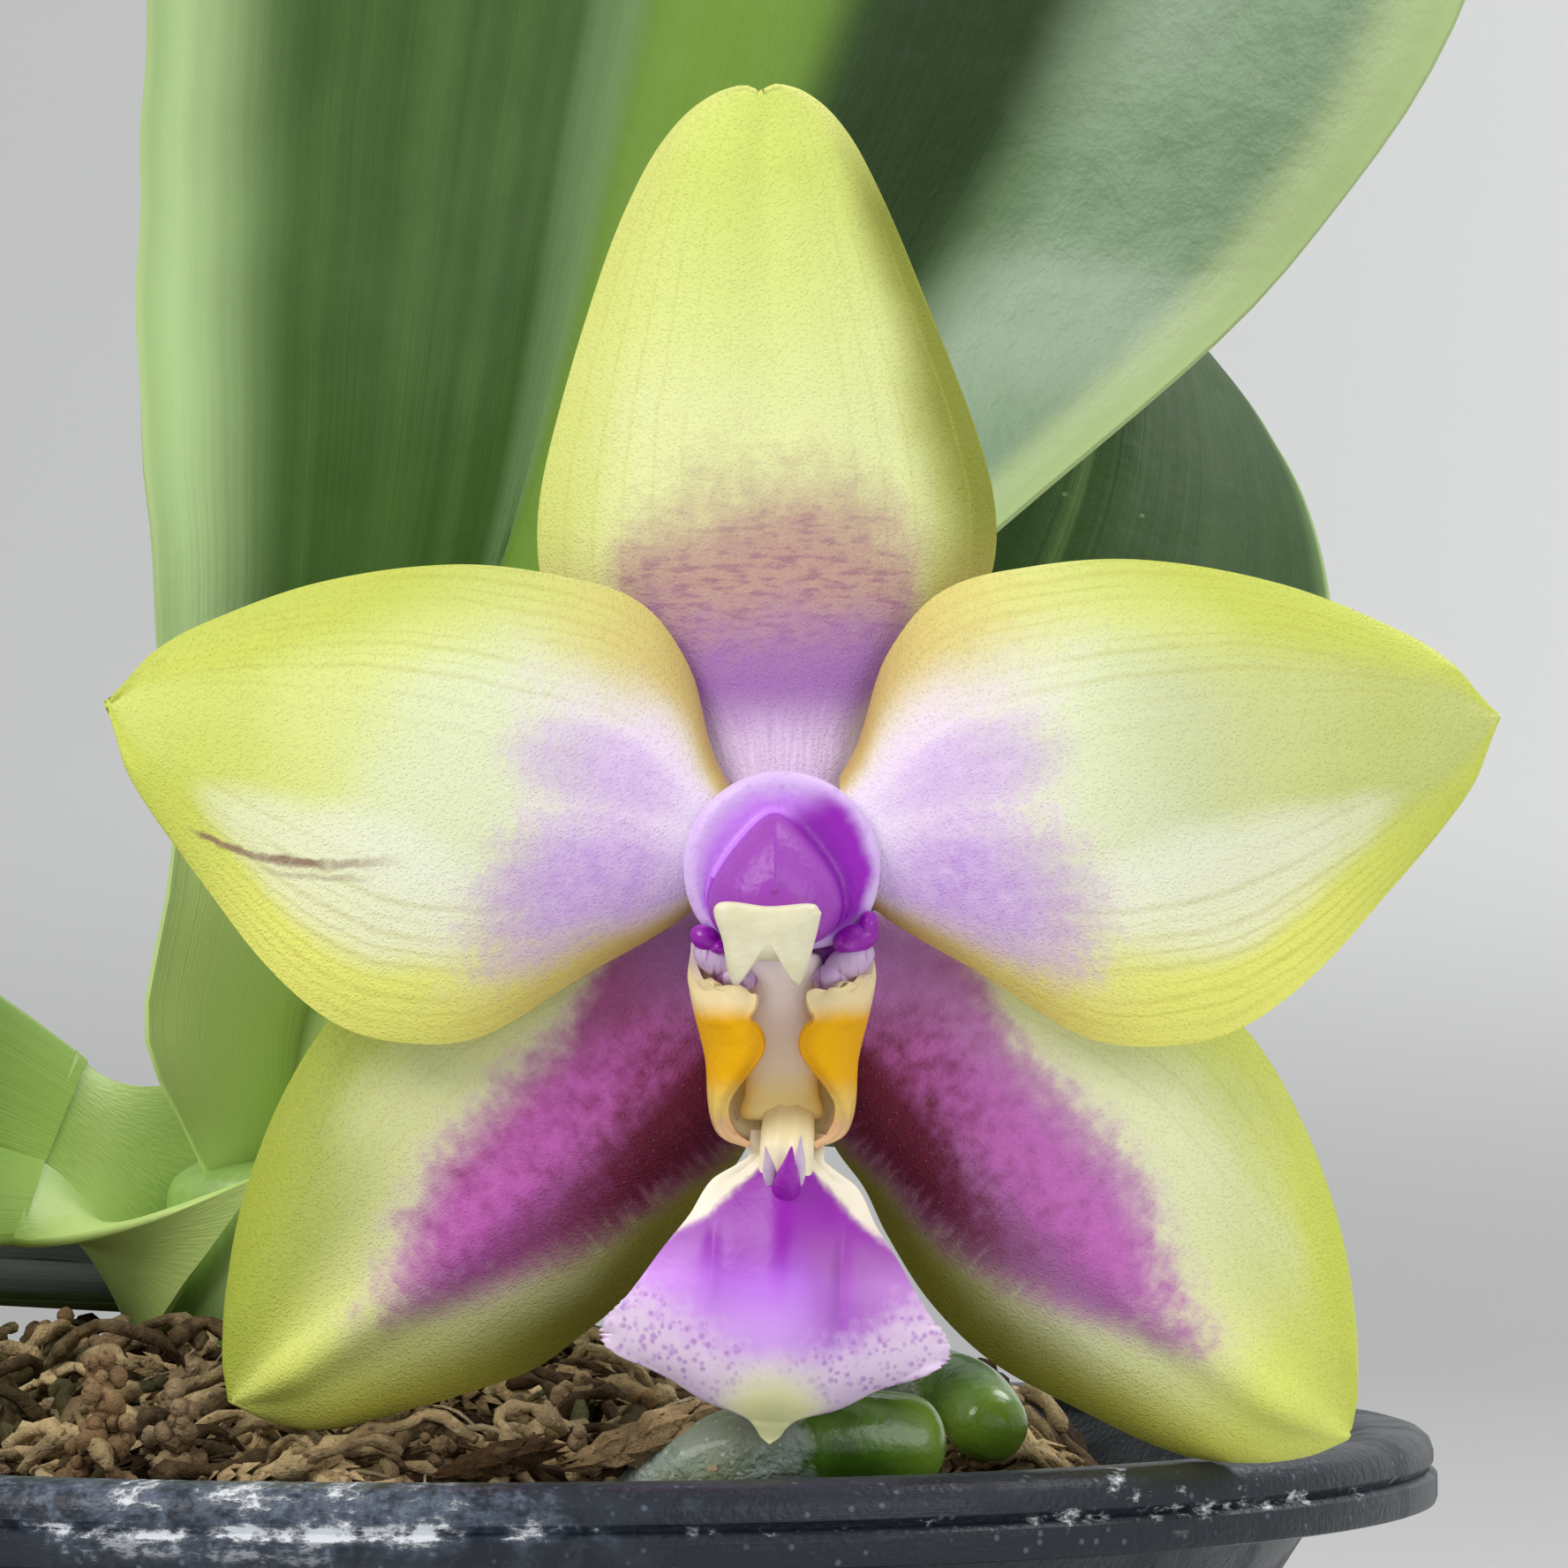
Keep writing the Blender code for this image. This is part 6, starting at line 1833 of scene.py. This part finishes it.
# How high the trough's top edge stands, from the middle of its floor to a lobe's free edge
LIP_CREST = (
    (0.00, -0.0048), (0.30, -0.0046), (0.48, -0.0036), (0.56, -0.0034), (0.62, -0.0044),
    (0.70, -0.0050), (0.85, -0.0053), (1.00, -0.0057),
)


def lip_point(down, s):
    """Down the trough, and across it from the left lobe's free edge to the right one's.

    The lobes' top edge is a spike at the wall and slopes down from it to the free edge.
    """
    reach = abs(s)
    level = mix(through(LIP_CREST, reach), LIP_FOOT, down)
    t = min(1.0, max(0.0, (LIP_TOP - level) / (LIP_TOP - LIP_FOOT)))
    wall, edge = through(LIP_WALL, t), through(LIP_EDGE, t)
    front, back = through(LIP_FRONT, t), through(LIP_BACK, t)
    x = through(
        ((0, 0), (0.3, 0.78 * wall), (0.55, wall), (0.78, mix(wall, edge, 0.42)), (1, edge)), reach
    )
    deep = through(((0, 0), (0.3, 0.06), (0.55, 0.5), (0.78, 0.9), (1, 1)), reach)
    ragged = 0.00012 * sin(s * 47) * ease(0.6, 0.66, reach) * (1 - ease(0.0, 0.1, down))
    return Vector((copysign(x, s), level + ragged, mix(back, front, deep)))


def side_lobe_piece(flower, lip, gold):
    seat = flower_place(flower.nod)

    def fullness(t, s):
        thin = max(ease(0.85, 1.0, abs(s)), ease(0.2, 0.0, t), ease(0.9, 1.0, t))
        return mix(0.85, 0.35, thin)

    piece = laid_out("lip_trough", lambda t, s: seat @ lip_point(t, s), 96, 112, fullness=fullness)
    return thickened(piece, lip.thickness, [gold, gold])


def side_lobe_finish(lip):
    """Ivory tops, golden middles, a pinkish speckled foot, and a yellow-beige trough inside."""
    finish = Finish("lip_gold", 0.4, Specular_IOR_Level=0.15)
    t, s = finish.blade()
    _, _, z = finish.split(finish.place())
    reach = abs(s)
    cloud = finish.grain(800, 3) - 0.5
    level = (FLOWER_CENTRE[2] + LIP_TOP - z) / (LIP_TOP - LIP_FOOT) + cloud * 0.05
    finish.start(lip.ivory, lip.gold, (level - reach * 0.05).fade(0.2, 0.33))
    finish.paint(tint(206, 140, 20), level.fade(0.3, 0.44) * reach.fade(0.86, 0.98) * 0.6)
    finish.paint(tint(240, 206, 110), level.fade(0.62, 0.82))
    finish.paint(tint(230, 184, 146), level.fade(0.8, 0.93) * 0.8)
    floor = reach.fade(0.52, 0.3)
    trough = finish.blend(tint(250, 232, 170), tint(255, 248, 214), level.fade(0.7, 0.9))
    finish.paint(trough, floor)
    finish.paint(tint(206, 190, 214), t.fade(0.06, 0.0) * reach.fade(0.75, 0.6) * 0.6)
    near, lot = finish.dots(3600)
    speck = near.fade(0.34, 0.14) * lot.fade(0.5, 0.6) * level.fade(0.76, 0.86)
    finish.paint(tint(170, 96, 96), speck * 0.4)
    return finish.done(finish.grain(2200, 2) + cloud, 0.00012, 0.5)


MIDLOBE_OUTLINE = (
    (0.00, 0.22), (0.03, 0.29), (0.09, 0.43), (0.217, 0.55), (0.333, 0.69), (0.452, 0.82),
    (0.54, 0.92), (0.62, 1.00), (0.69, 0.99), (0.73, 0.88), (0.76, 0.74), (0.80, 0.58),
    (0.835, 0.48), (0.87, 0.36), (0.90, 0.18), (0.935, 0.095), (0.975, 0.050), (1.00, 0.00),
)


def midlobe_point(t, s):
    """Like the solid's sheet, with two soft folds, a crest and toothed side tips."""
    half = 0.0078 * max(0.0, through(MIDLOBE_OUTLINE, max(0.0, t)))
    rise = 0.0026 * sin(pi * min(1.0, t * 1.1) * 0.8)
    hollow = 0.0004 * ease(0.3, 0.0, t) * ease(0.0, 0.5, abs(s)) * ease(1.0, 0.7, abs(s))
    across = s * half
    folds = sum(bump_at(across, fold, 0.0004) for fold in (-0.003, 0.0027))
    folds *= 0.00022 * ease(0.15, 0.4, t) * ease(0.8, 0.6, t)
    crest = 0.00018 * bump_at(across, 0.0, 0.0008) * ease(0.1, 0.3, t) * ease(0.95, 0.7, t)
    teeth = ease(0.88, 1.0, abs(s)) * ease(0.5, 0.58, t) * ease(0.8, 0.7, t)
    jag = 0.0003 * teeth * sin(t * 150 + (2.0 if s > 0 else 0.0))
    curl = 0.0003 * teeth * noise.noise(Vector((t * 16, s, 3.0)))
    y = across + copysign(jag, s)
    roof = sqrt(across * across + 0.0009**2) - 0.0009 * ease(1.0, 0.9, t)
    return Vector((0.013 * t, y, rise - 0.36 * roof - folds - hollow + crest + curl))


def spine_piece(name, foot, tip, radius):
    """A tapering spine with a round foot."""
    foot, tip = Vector(foot), Vector(tip)
    forward = (tip - foot).normalized()
    side = forward.cross(Vector((0, 0, 1))).normalized()
    up = side.cross(forward)
    swell = ((0.0, 0.55), (0.25, 0.9), (0.5, 0.78), (0.75, 0.38), (1.0, 0.04))

    def point(t, s):
        turn = pi * s
        wide = radius * through(swell, t) if 0 < t < 1 else 0.0
        return foot.lerp(tip, t) + side * wide * cos(turn) + up * wide * sin(turn)

    return closed_form(name, point, 26, 18)


def claw_piece():
    """The pale claw that joins the middle lobe to the trough, with two low ribs down it."""
    rings = (
        # t, place down the lobe, half-width, back face, front face
        (0.00, -0.0030, 0.00090, -0.0024, -0.0014),
        (0.20, -0.0024, 0.00115, -0.0018, -0.0008),
        (0.50, -0.0010, 0.00125, -0.0008, 0.0005),
        (0.75, 0.0002, 0.00125, -0.0004, 0.0007),
        (1.00, 0.0020, 0.00110, 0.0000, 0.0006),
    )

    def point(t, s):
        x, half, back, front = ring_at(rings, t)
        turn = pi * s
        end = sin(pi * min(0.5, max(0.02, min(t, 1 - t) * 6)))
        across = half * cos(turn) * end
        ribs = 0.00014 * (bump_at(across, -0.00045, 0.0002) + bump_at(across, 0.0004, 0.0002))
        deep = (front - back) / 2 * sin(turn) * end + (ribs if s > 0 else 0)
        return Vector((x, across, (front + back) / 2 + deep))

    return closed_form("claw", point, 40, 48)


def midlobe_piece(flower, lip, blade_finish, keel_violet, fang_lilac, claw_cream):
    seat = (
        flower_place(flower.nod)
        @ Matrix.Translation((0.0002, -0.0135, 0.0026))
        @ Matrix.Rotation(radians(-93.4), 4, "Z")
    )
    piece = laid_out(
        "lip_blade",
        midlobe_point,
        112,
        96,
        spread=lambda u: mix(-0.09, 1.0, u),
        fullness=thin_edges(0.36, 3, 0.8),
    )
    thickened(piece, lip.thickness, [blade_finish, blade_finish])
    spines = (
        ("keel", (0.0026, 0.0, -0.0003), (-0.0009, 0.0002, 0.0031), 0.00078, keel_violet),
        ("fang", (0.0012, -0.0006, 0.0006), (-0.0008, -0.001, 0.0024), 0.00036, fang_lilac),
        ("fang", (0.0012, 0.0006, 0.0006), (-0.0014, 0.0006, 0.0022), 0.00036, fang_lilac),
    )
    others = [with_finish(spine_piece(*spine), skin) for *spine, skin in spines]
    join_pieces(piece, [*others, with_finish(claw_piece(), claw_cream)])
    piece.data.transform(seat)
    return piece


def midlobe_finish(lip):
    """A violet keel that spreads into orchid purple, a speckled pale margin and a butter-yellow tip."""
    finish = Finish("lip_orchid", 0.36)
    t, s = finish.blade()
    side = abs(s)
    cloud = finish.grain(500, 3) - 0.5
    thread = finish.grain(2200, 3) - 0.5
    finish.start(tint(252, 242, 218), tint(244, 220, 222), (t + cloud * 0.2).fade(0.1, 0.34) * 0.6)
    front = t * 2.6 + 0.36 - side + cloud * 0.16 + thread * 0.14
    spreading = (t + cloud * 0.08 + side * 0.06).fade(0.18, 0.46)
    purple = finish.blend(lip.purple, tint(186, 92, 230), spreading)
    purple = finish.blend(purple, lip.orchid, side.fade(0.3, 0.85) * t.fade(0.22, 0.45))
    glow = finish.squares(s + 0.04, 0.3).fade(1.2, 0.0) * t.fade(0.22, 0.45)
    purple = finish.blend(purple, tint(198, 112, 246), glow * 0.7)
    # Painted shade: darker streaks in the two fold creases
    fold = (abs(side - 0.4)).fade(0.05, 0.0) * t.fade(0.25, 0.45)
    purple = finish.blend(purple, tint(160, 84, 200), fold * 0.18)
    finish.paint(purple, front.fade(0.0, 0.24))

    deep = (t + cloud * 0.1).fade(0.46, 0.24)
    finish.paint(tint(152, 10, 176), deep * front.fade(0.0, 0.24))
    shaded = s.fade(0.08, 0.35) * t.fade(0.2, 0.36) * t.fade(0.7, 0.5)
    finish.paint(tint(166, 92, 166), shaded * 0.45)
    lighter = t.fade(0.38, 0.62) * s.fade(0.45, 0.0)
    finish.paint(tint(230, 178, 255), lighter * 0.75)

    pale = (t + side * 0.24 + thread * 0.14 + cloud * 0.1).fade(0.62, 0.82)
    finish.paint(lip.blush, pale * 0.85)
    near, lot = finish.dots(2700)
    inner = (t - side * 0.12).fade(0.86, 0.72)
    spot = (near + thread * 0.9 + cloud * 0.5).fade(0.52, 0.12) * lot.fade(0.05, 0.3) * inner
    finish.paint(tint(176, 108, 204), spot * pale.fade(0.0, 0.5) * 0.6)
    butter = (t - side * 0.18 + cloud * 0.06).fade(0.68, 0.82)
    finish.paint(tint(254, 250, 228), (t - side * 0.28).fade(0.6, 0.74) * 0.6)
    finish.paint(lip.butter, butter)
    return finish.done(finish.grain(2400, 2) * 0.5 + cloud * 0.3, 0.00008, 0.4)


def fang_finish():
    finish = Finish("fang_lilac", 0.36)
    finish.start(tint(214, 184, 230), tint(240, 228, 226), finish.grain(1400, 2))
    return finish.done(finish.grain(2600), 0.00008, 0.6)


def claw_finish():
    finish = Finish("claw_cream", 0.38)
    t, s = finish.blade()
    ribs = finish.streaks(t * 3, s * 30, detail=2)
    finish.start(tint(250, 230, 160), tint(252, 242, 208), (t + ribs * 0.4).fade(0.2, 1.0))
    return finish.done(ribs, 0.0001, 0.5)


def keel_finish(lip):
    finish = Finish("lip_keel", 0.34)
    t, _ = finish.blade()
    finish.start(lip.purple, tint(176, 50, 200), (t + finish.grain(900) * 0.3).fade(0.3, 1.1))
    return finish.done(finish.grain(2600), 0.0001, 0.6)


# Stage


def floor_piece():
    """A round floor whose edge curves up into a backdrop all round."""
    flat, bend = 1.7, 1.2
    turns = [radians(5 * k) for k in range(19)]
    profile = [(flat + bend * sin(turn), bend * (1 - cos(turn))) for turn in turns]
    floor = pulled_out("floor", profile, 128)
    bpy.ops.object.mode_set(mode="OBJECT")
    return smoothed(floor, 180)


def floor_finish(stage):
    """Pale paper, made lighter on the right as painted light, and darker on the flat floor."""
    finish = Finish("pale_paper", 0.9)
    x, _, z = finish.split(finish.place())
    # Painted light: the paper lighter towards the right
    finish.start(stage.floor, (0.97, 0.97, 0.96), x.fade(-0.5, 0.7))
    finish.start((0.56, 0.56, 0.55), finish.colour, z.fade(0.0, 0.25))
    finish.paint((0.8, 0.8, 0.79), finish.grain(3, 2) * 0.1)
    return finish.done()


def aim(spot, target):
    return (Vector(target) - Vector(spot)).to_track_quat("-Z", "Y").to_euler()


def soft_light(name, spot, target, size, power, colour):
    start_clean()
    bpy.ops.object.light_add(type="AREA", location=spot, rotation=aim(spot, target))
    lamp = bpy.context.active_object
    lamp.name = name
    lamp.data.shape = "DISK"
    lamp.data.size = size
    lamp.data.energy = power
    lamp.data.color = colour
    lamp.visible_camera = False
    return lamp


def sky(strength):
    world = bpy.data.worlds.new("soft_sky")
    world.use_nodes = True
    back = world.node_tree.nodes["Background"]
    back.inputs["Color"].default_value = (0.96, 0.98, 1.0, 1)
    back.inputs["Strength"].default_value = strength
    bpy.context.scene.world = world


# Operators


class ORCHID_OT_pot(bpy.types.Operator):
    """Turns the pot, drills its drain holes and crusts its rim"""

    bl_idname = "orchid.pot"
    bl_label = "Add the Pot"

    def execute(self, context):
        pot = context.scene.orchid_pot
        piece = turned_pot(pot_profile(pot.height, pot.rim_radius), 176)
        drill_holes(piece)
        smoothed(piece, 35)
        finished(piece, "pot", [plastic_finish(pot)], "pot")
        return {"FINISHED"}


class ORCHID_OT_moss(bpy.types.Operator):
    """Fills the pot with its moss bed and the strands that lie on it"""

    bl_idname = "orchid.moss"
    bl_label = "Add the Moss"

    def execute(self, context):
        moss = context.scene.orchid_moss
        # The bed's near-black browns are partly damp moss and partly painted shade in the gaps between
        # the strands
        bed = moss_finish("moss_bed", tint(40, 26, 12), tint(18, 10, 3), moss)
        finished(moss_bed(), "moss", [bed], "moss")
        tails = moss_finish("moss_tails", tint(216, 184, 134), tint(72, 50, 28), moss, 0.7)
        finished(moss_tails(moss.tails), "moss", [tails])
        stalks = moss_finish("moss_stalks", moss.straw, tint(74, 54, 32), moss)
        finished(moss_stalks(moss.stalks), "moss", [stalks])
        fibres = moss_finish("moss_fibres", tint(208, 186, 146), tint(94, 72, 46), moss)
        finished(moss_fibres(moss.fibres), "moss", [fibres])
        knobs = moss_finish("moss_knobs", tint(228, 200, 156), tint(166, 132, 94), moss)
        finished(moss_knobs(moss.knobs), "moss", [knobs])
        return {"FINISHED"}


class ORCHID_OT_stem(bpy.types.Operator):
    """Models the short stem"""

    bl_idname = "orchid.stem"
    bl_label = "Add the Stem"

    def execute(self, context):
        piece = closed_form("stem_sheath", stem_point, 120, 96, 60)
        finished(piece, "stem", [stem_finish("stem_green", context.scene.orchid_stem, False)], "stem")
        return {"FINISHED"}


class ORCHID_OT_leaves(bpy.types.Operator):
    """Models the four leaves"""

    bl_idname = "orchid.leaves"
    bl_label = "Add the Leaves"

    def execute(self, context):
        leaf = context.scene.orchid_leaves
        uppers = {
            "leaf_upright": leaf_finish("leaf_painted_sheen", leaf, leaf.deep, leaf.fresh, True, 0.85),
            "leaf_back": leaf_finish("leaf_shaded", leaf, tint(46, 76, 26), tint(66, 94, 44), False),
            "leaf_left": leaf_finish(
                "leaf_smooth", leaf, tint(62, 96, 34), tint(92, 126, 58), False, 0.95
            ),
            # The low leaf's dark greys and its darkened foot half are painted shade under the left leaf
            "leaf_low": leaf_finish(
                "leaf_in_painted_shade", leaf, tint(52, 60, 34), tint(84, 90, 60), False, 0.0, 0.85
            ),
        }
        below = leaf_underside(leaf)
        for name, shape in LEAVES.items():
            piece = laid_out(
                name + "_blade",
                lambda t, s, name=name: leaf_point(name, t, s),
                *shape["cells"],
                spread=lambda u, foot=shape["foot"]: mix(-foot, 1.0, 1 - (1 - u) ** 1.5),
                fullness=thin_edges(0.16, 4, 0.88),
            )
            thickened(piece, leaf.thickness, [below, uppers[name]], rim=1)
            finished(piece, "leaf", [], name)
        return {"FINISHED"}


class ORCHID_OT_sheath(bpy.types.Operator):
    """Models the sheath by which the left leaf clasps the stem"""

    bl_idname = "orchid.sheath"
    bl_label = "Add the Sheath"

    def execute(self, context):
        green = stem_finish("sheath_green", context.scene.orchid_stem, True)
        piece = laid_out(
            "stem_clasp", sheath_point, 40, 80, fullness=lambda t, s: mix(mix(1, 0.5, t), 0.2, s**4)
        )
        thickened(piece, 0.0021, [green, green])
        finished(piece, "stem", [])
        return {"FINISHED"}


class ORCHID_OT_roots(bpy.types.Operator):
    """Models the silvery roots with their green tips"""

    bl_idname = "orchid.roots"
    bl_label = "Add the Roots"

    def execute(self, context):
        skin = root_finish(context.scene.orchid_roots)
        for name in ROOTS:
            finished(root_piece(name), "root", [skin], name)
        return {"FINISHED"}


class ORCHID_OT_stalks(bpy.types.Operator):
    """Models the flower spike with its bracts, and the pedicel"""

    bl_idname = "orchid.stalks"
    bl_label = "Add the Spike and Pedicel"

    def execute(self, context):
        green = stalk_finish("spike_green", tint(140, 164, 92), tint(84, 110, 48))
        finished(spike_piece(), "spike", [green, green], "flower_spike")
        pale = stalk_finish("pedicel_green", tint(214, 216, 170), tint(170, 182, 112))
        finished(pedicel_piece(), "pedicel", [pale], "pedicel")
        return {"FINISHED"}


class ORCHID_OT_tepals(bpy.types.Operator):
    """Models the flower's two petals and three sepals"""

    bl_idname = "orchid.tepals"
    bl_label = "Add the Petals and Sepals"

    def execute(self, context):
        flower = context.scene.orchid_flower
        back = tepal_back()
        fronts = {
            "petal_left": ("petal", petal_finish("petal_left", flower, True, 0.0)),
            "petal_right": ("petal", petal_finish("petal_right", flower, False, 0.45)),
            "dorsal_sepal": ("sepal", dorsal_finish(flower)),
            "lateral_sepal_left": ("sepal", lateral_finish("sepal_left", flower, 0.08, 0.75)),
            "lateral_sepal_right": ("sepal", lateral_finish("sepal_right", flower, 0.55, 0.25)),
        }
        for name, (slot, front) in fronts.items():
            finished(tepal_piece(name, flower, front, back), slot, [], name)
        return {"FINISHED"}


class ORCHID_OT_column(bpy.types.Operator):
    """Models the column, the anther cap and the column's foot"""

    bl_idname = "orchid.column"
    bl_label = "Add the Column"

    def execute(self, context):
        flower, column = context.scene.orchid_flower, context.scene.orchid_column
        purple = column_finish(column)
        finished(column_piece(flower, purple, knob_violet(), pale_tissue()), "column", [], "column")
        seat = flower_place(flower.nod)
        cap = closed_form("cap_shield", lambda t, s: seat @ cap_point(t, s), 60, 120, 60)
        finished(cap, "anther_cap", [cap_finish(column)], "anther_cap")
        finished(foot_piece(flower), "column_foot", [foot_finish(column)], "column_foot")
        return {"FINISHED"}


class ORCHID_OT_lip(bpy.types.Operator):
    """Models the lip: its trough with the side lobes, and its middle lobe with the keel"""

    bl_idname = "orchid.lip"
    bl_label = "Add the Lip"

    def execute(self, context):
        flower, lip = context.scene.orchid_flower, context.scene.orchid_lip
        gold = side_lobe_finish(lip)
        finished(side_lobe_piece(flower, lip, gold), "side_lobe", [], "lip_side_lobes")
        parts = midlobe_finish(lip), keel_finish(lip), fang_finish(), claw_finish()
        finished(midlobe_piece(flower, lip, *parts), "midlobe", [], "lip_midlobe")
        return {"FINISHED"}


class ORCHID_OT_stage(bpy.types.Operator):
    """Sets the floor, the lights, the sky and the camera"""

    bl_idname = "orchid.stage"
    bl_label = "Set the Stage"

    def execute(self, context):
        stage = context.scene.orchid_stage
        floor = floor_piece()
        floor.data.materials.append(floor_finish(stage))
        target = (0.01, -0.01, 0.13)
        soft_light("key_light", (-0.85, -0.75, 0.95), target, 0.8, stage.key, (1.0, 0.985, 0.96))
        soft_light("fill_light", (0.95, -0.85, 0.55), target, 0.9, stage.fill, (0.97, 0.985, 1.0))
        soft_light("back_light", (1.1, 0.9, 0.9), (0.95, 2.8, 0.5), 0.6, stage.back, (1.0, 1.0, 1.0))
        soft_light("high_light", (0.55, 0.35, 1.05), target, 0.7, stage.high, (0.97, 0.99, 1.0))
        sky(stage.sky)
        start_clean()
        bpy.ops.object.camera_add(
            location=(0.0155, -0.3, 0.103), rotation=(radians(93.05), 0, 0)
        )
        camera = bpy.context.active_object
        camera.data.sensor_width = 36
        camera.data.lens = stage.lens
        camera.data.clip_start = 0.01
        context.scene.camera = camera
        context.scene.view_settings.view_transform = "Standard"
        return {"FINISHED"}


class ORCHID_PT_panel(bpy.types.Panel):
    """Lists the steps that build the orchid, with their settings"""

    bl_label = "Potted Moth Orchid"
    bl_idname = "ORCHID_PT_panel"
    bl_space_type = "VIEW_3D"
    bl_region_type = "UI"
    bl_category = "Orchid"

    def draw(self, context):
        for step in STEPS:
            self.layout.operator(step.bl_idname)
        for name, group in SETTINGS.items():
            box = self.layout.box()
            box.label(text=name.replace("orchid_", "").capitalize())
            for key in group.__annotations__:
                box.prop(getattr(context.scene, name), key)


STEPS = (
    ORCHID_OT_pot,
    ORCHID_OT_moss,
    ORCHID_OT_stem,
    ORCHID_OT_leaves,
    ORCHID_OT_sheath,
    ORCHID_OT_roots,
    ORCHID_OT_stalks,
    ORCHID_OT_tepals,
    ORCHID_OT_column,
    ORCHID_OT_lip,
    ORCHID_OT_stage,
)


def register():
    for part in (*SETTINGS.values(), *STEPS, ORCHID_PT_panel):
        bpy.utils.register_class(part)
    for name, group in SETTINGS.items():
        setattr(bpy.types.Scene, name, bpy.props.PointerProperty(type=group))


def unregister():
    for name in SETTINGS:
        delattr(bpy.types.Scene, name)
    for part in (ORCHID_PT_panel, *STEPS, *SETTINGS.values()):
        bpy.utils.unregister_class(part)


def main():
    register()
    bpy.ops.orchid.pot()
    bpy.ops.orchid.moss()
    bpy.ops.orchid.stem()
    bpy.ops.orchid.leaves()
    bpy.ops.orchid.sheath()
    bpy.ops.orchid.roots()
    bpy.ops.orchid.stalks()
    bpy.ops.orchid.tepals()
    bpy.ops.orchid.column()
    bpy.ops.orchid.lip()
    bpy.ops.orchid.stage()


if __name__ == "__main__":
    main()
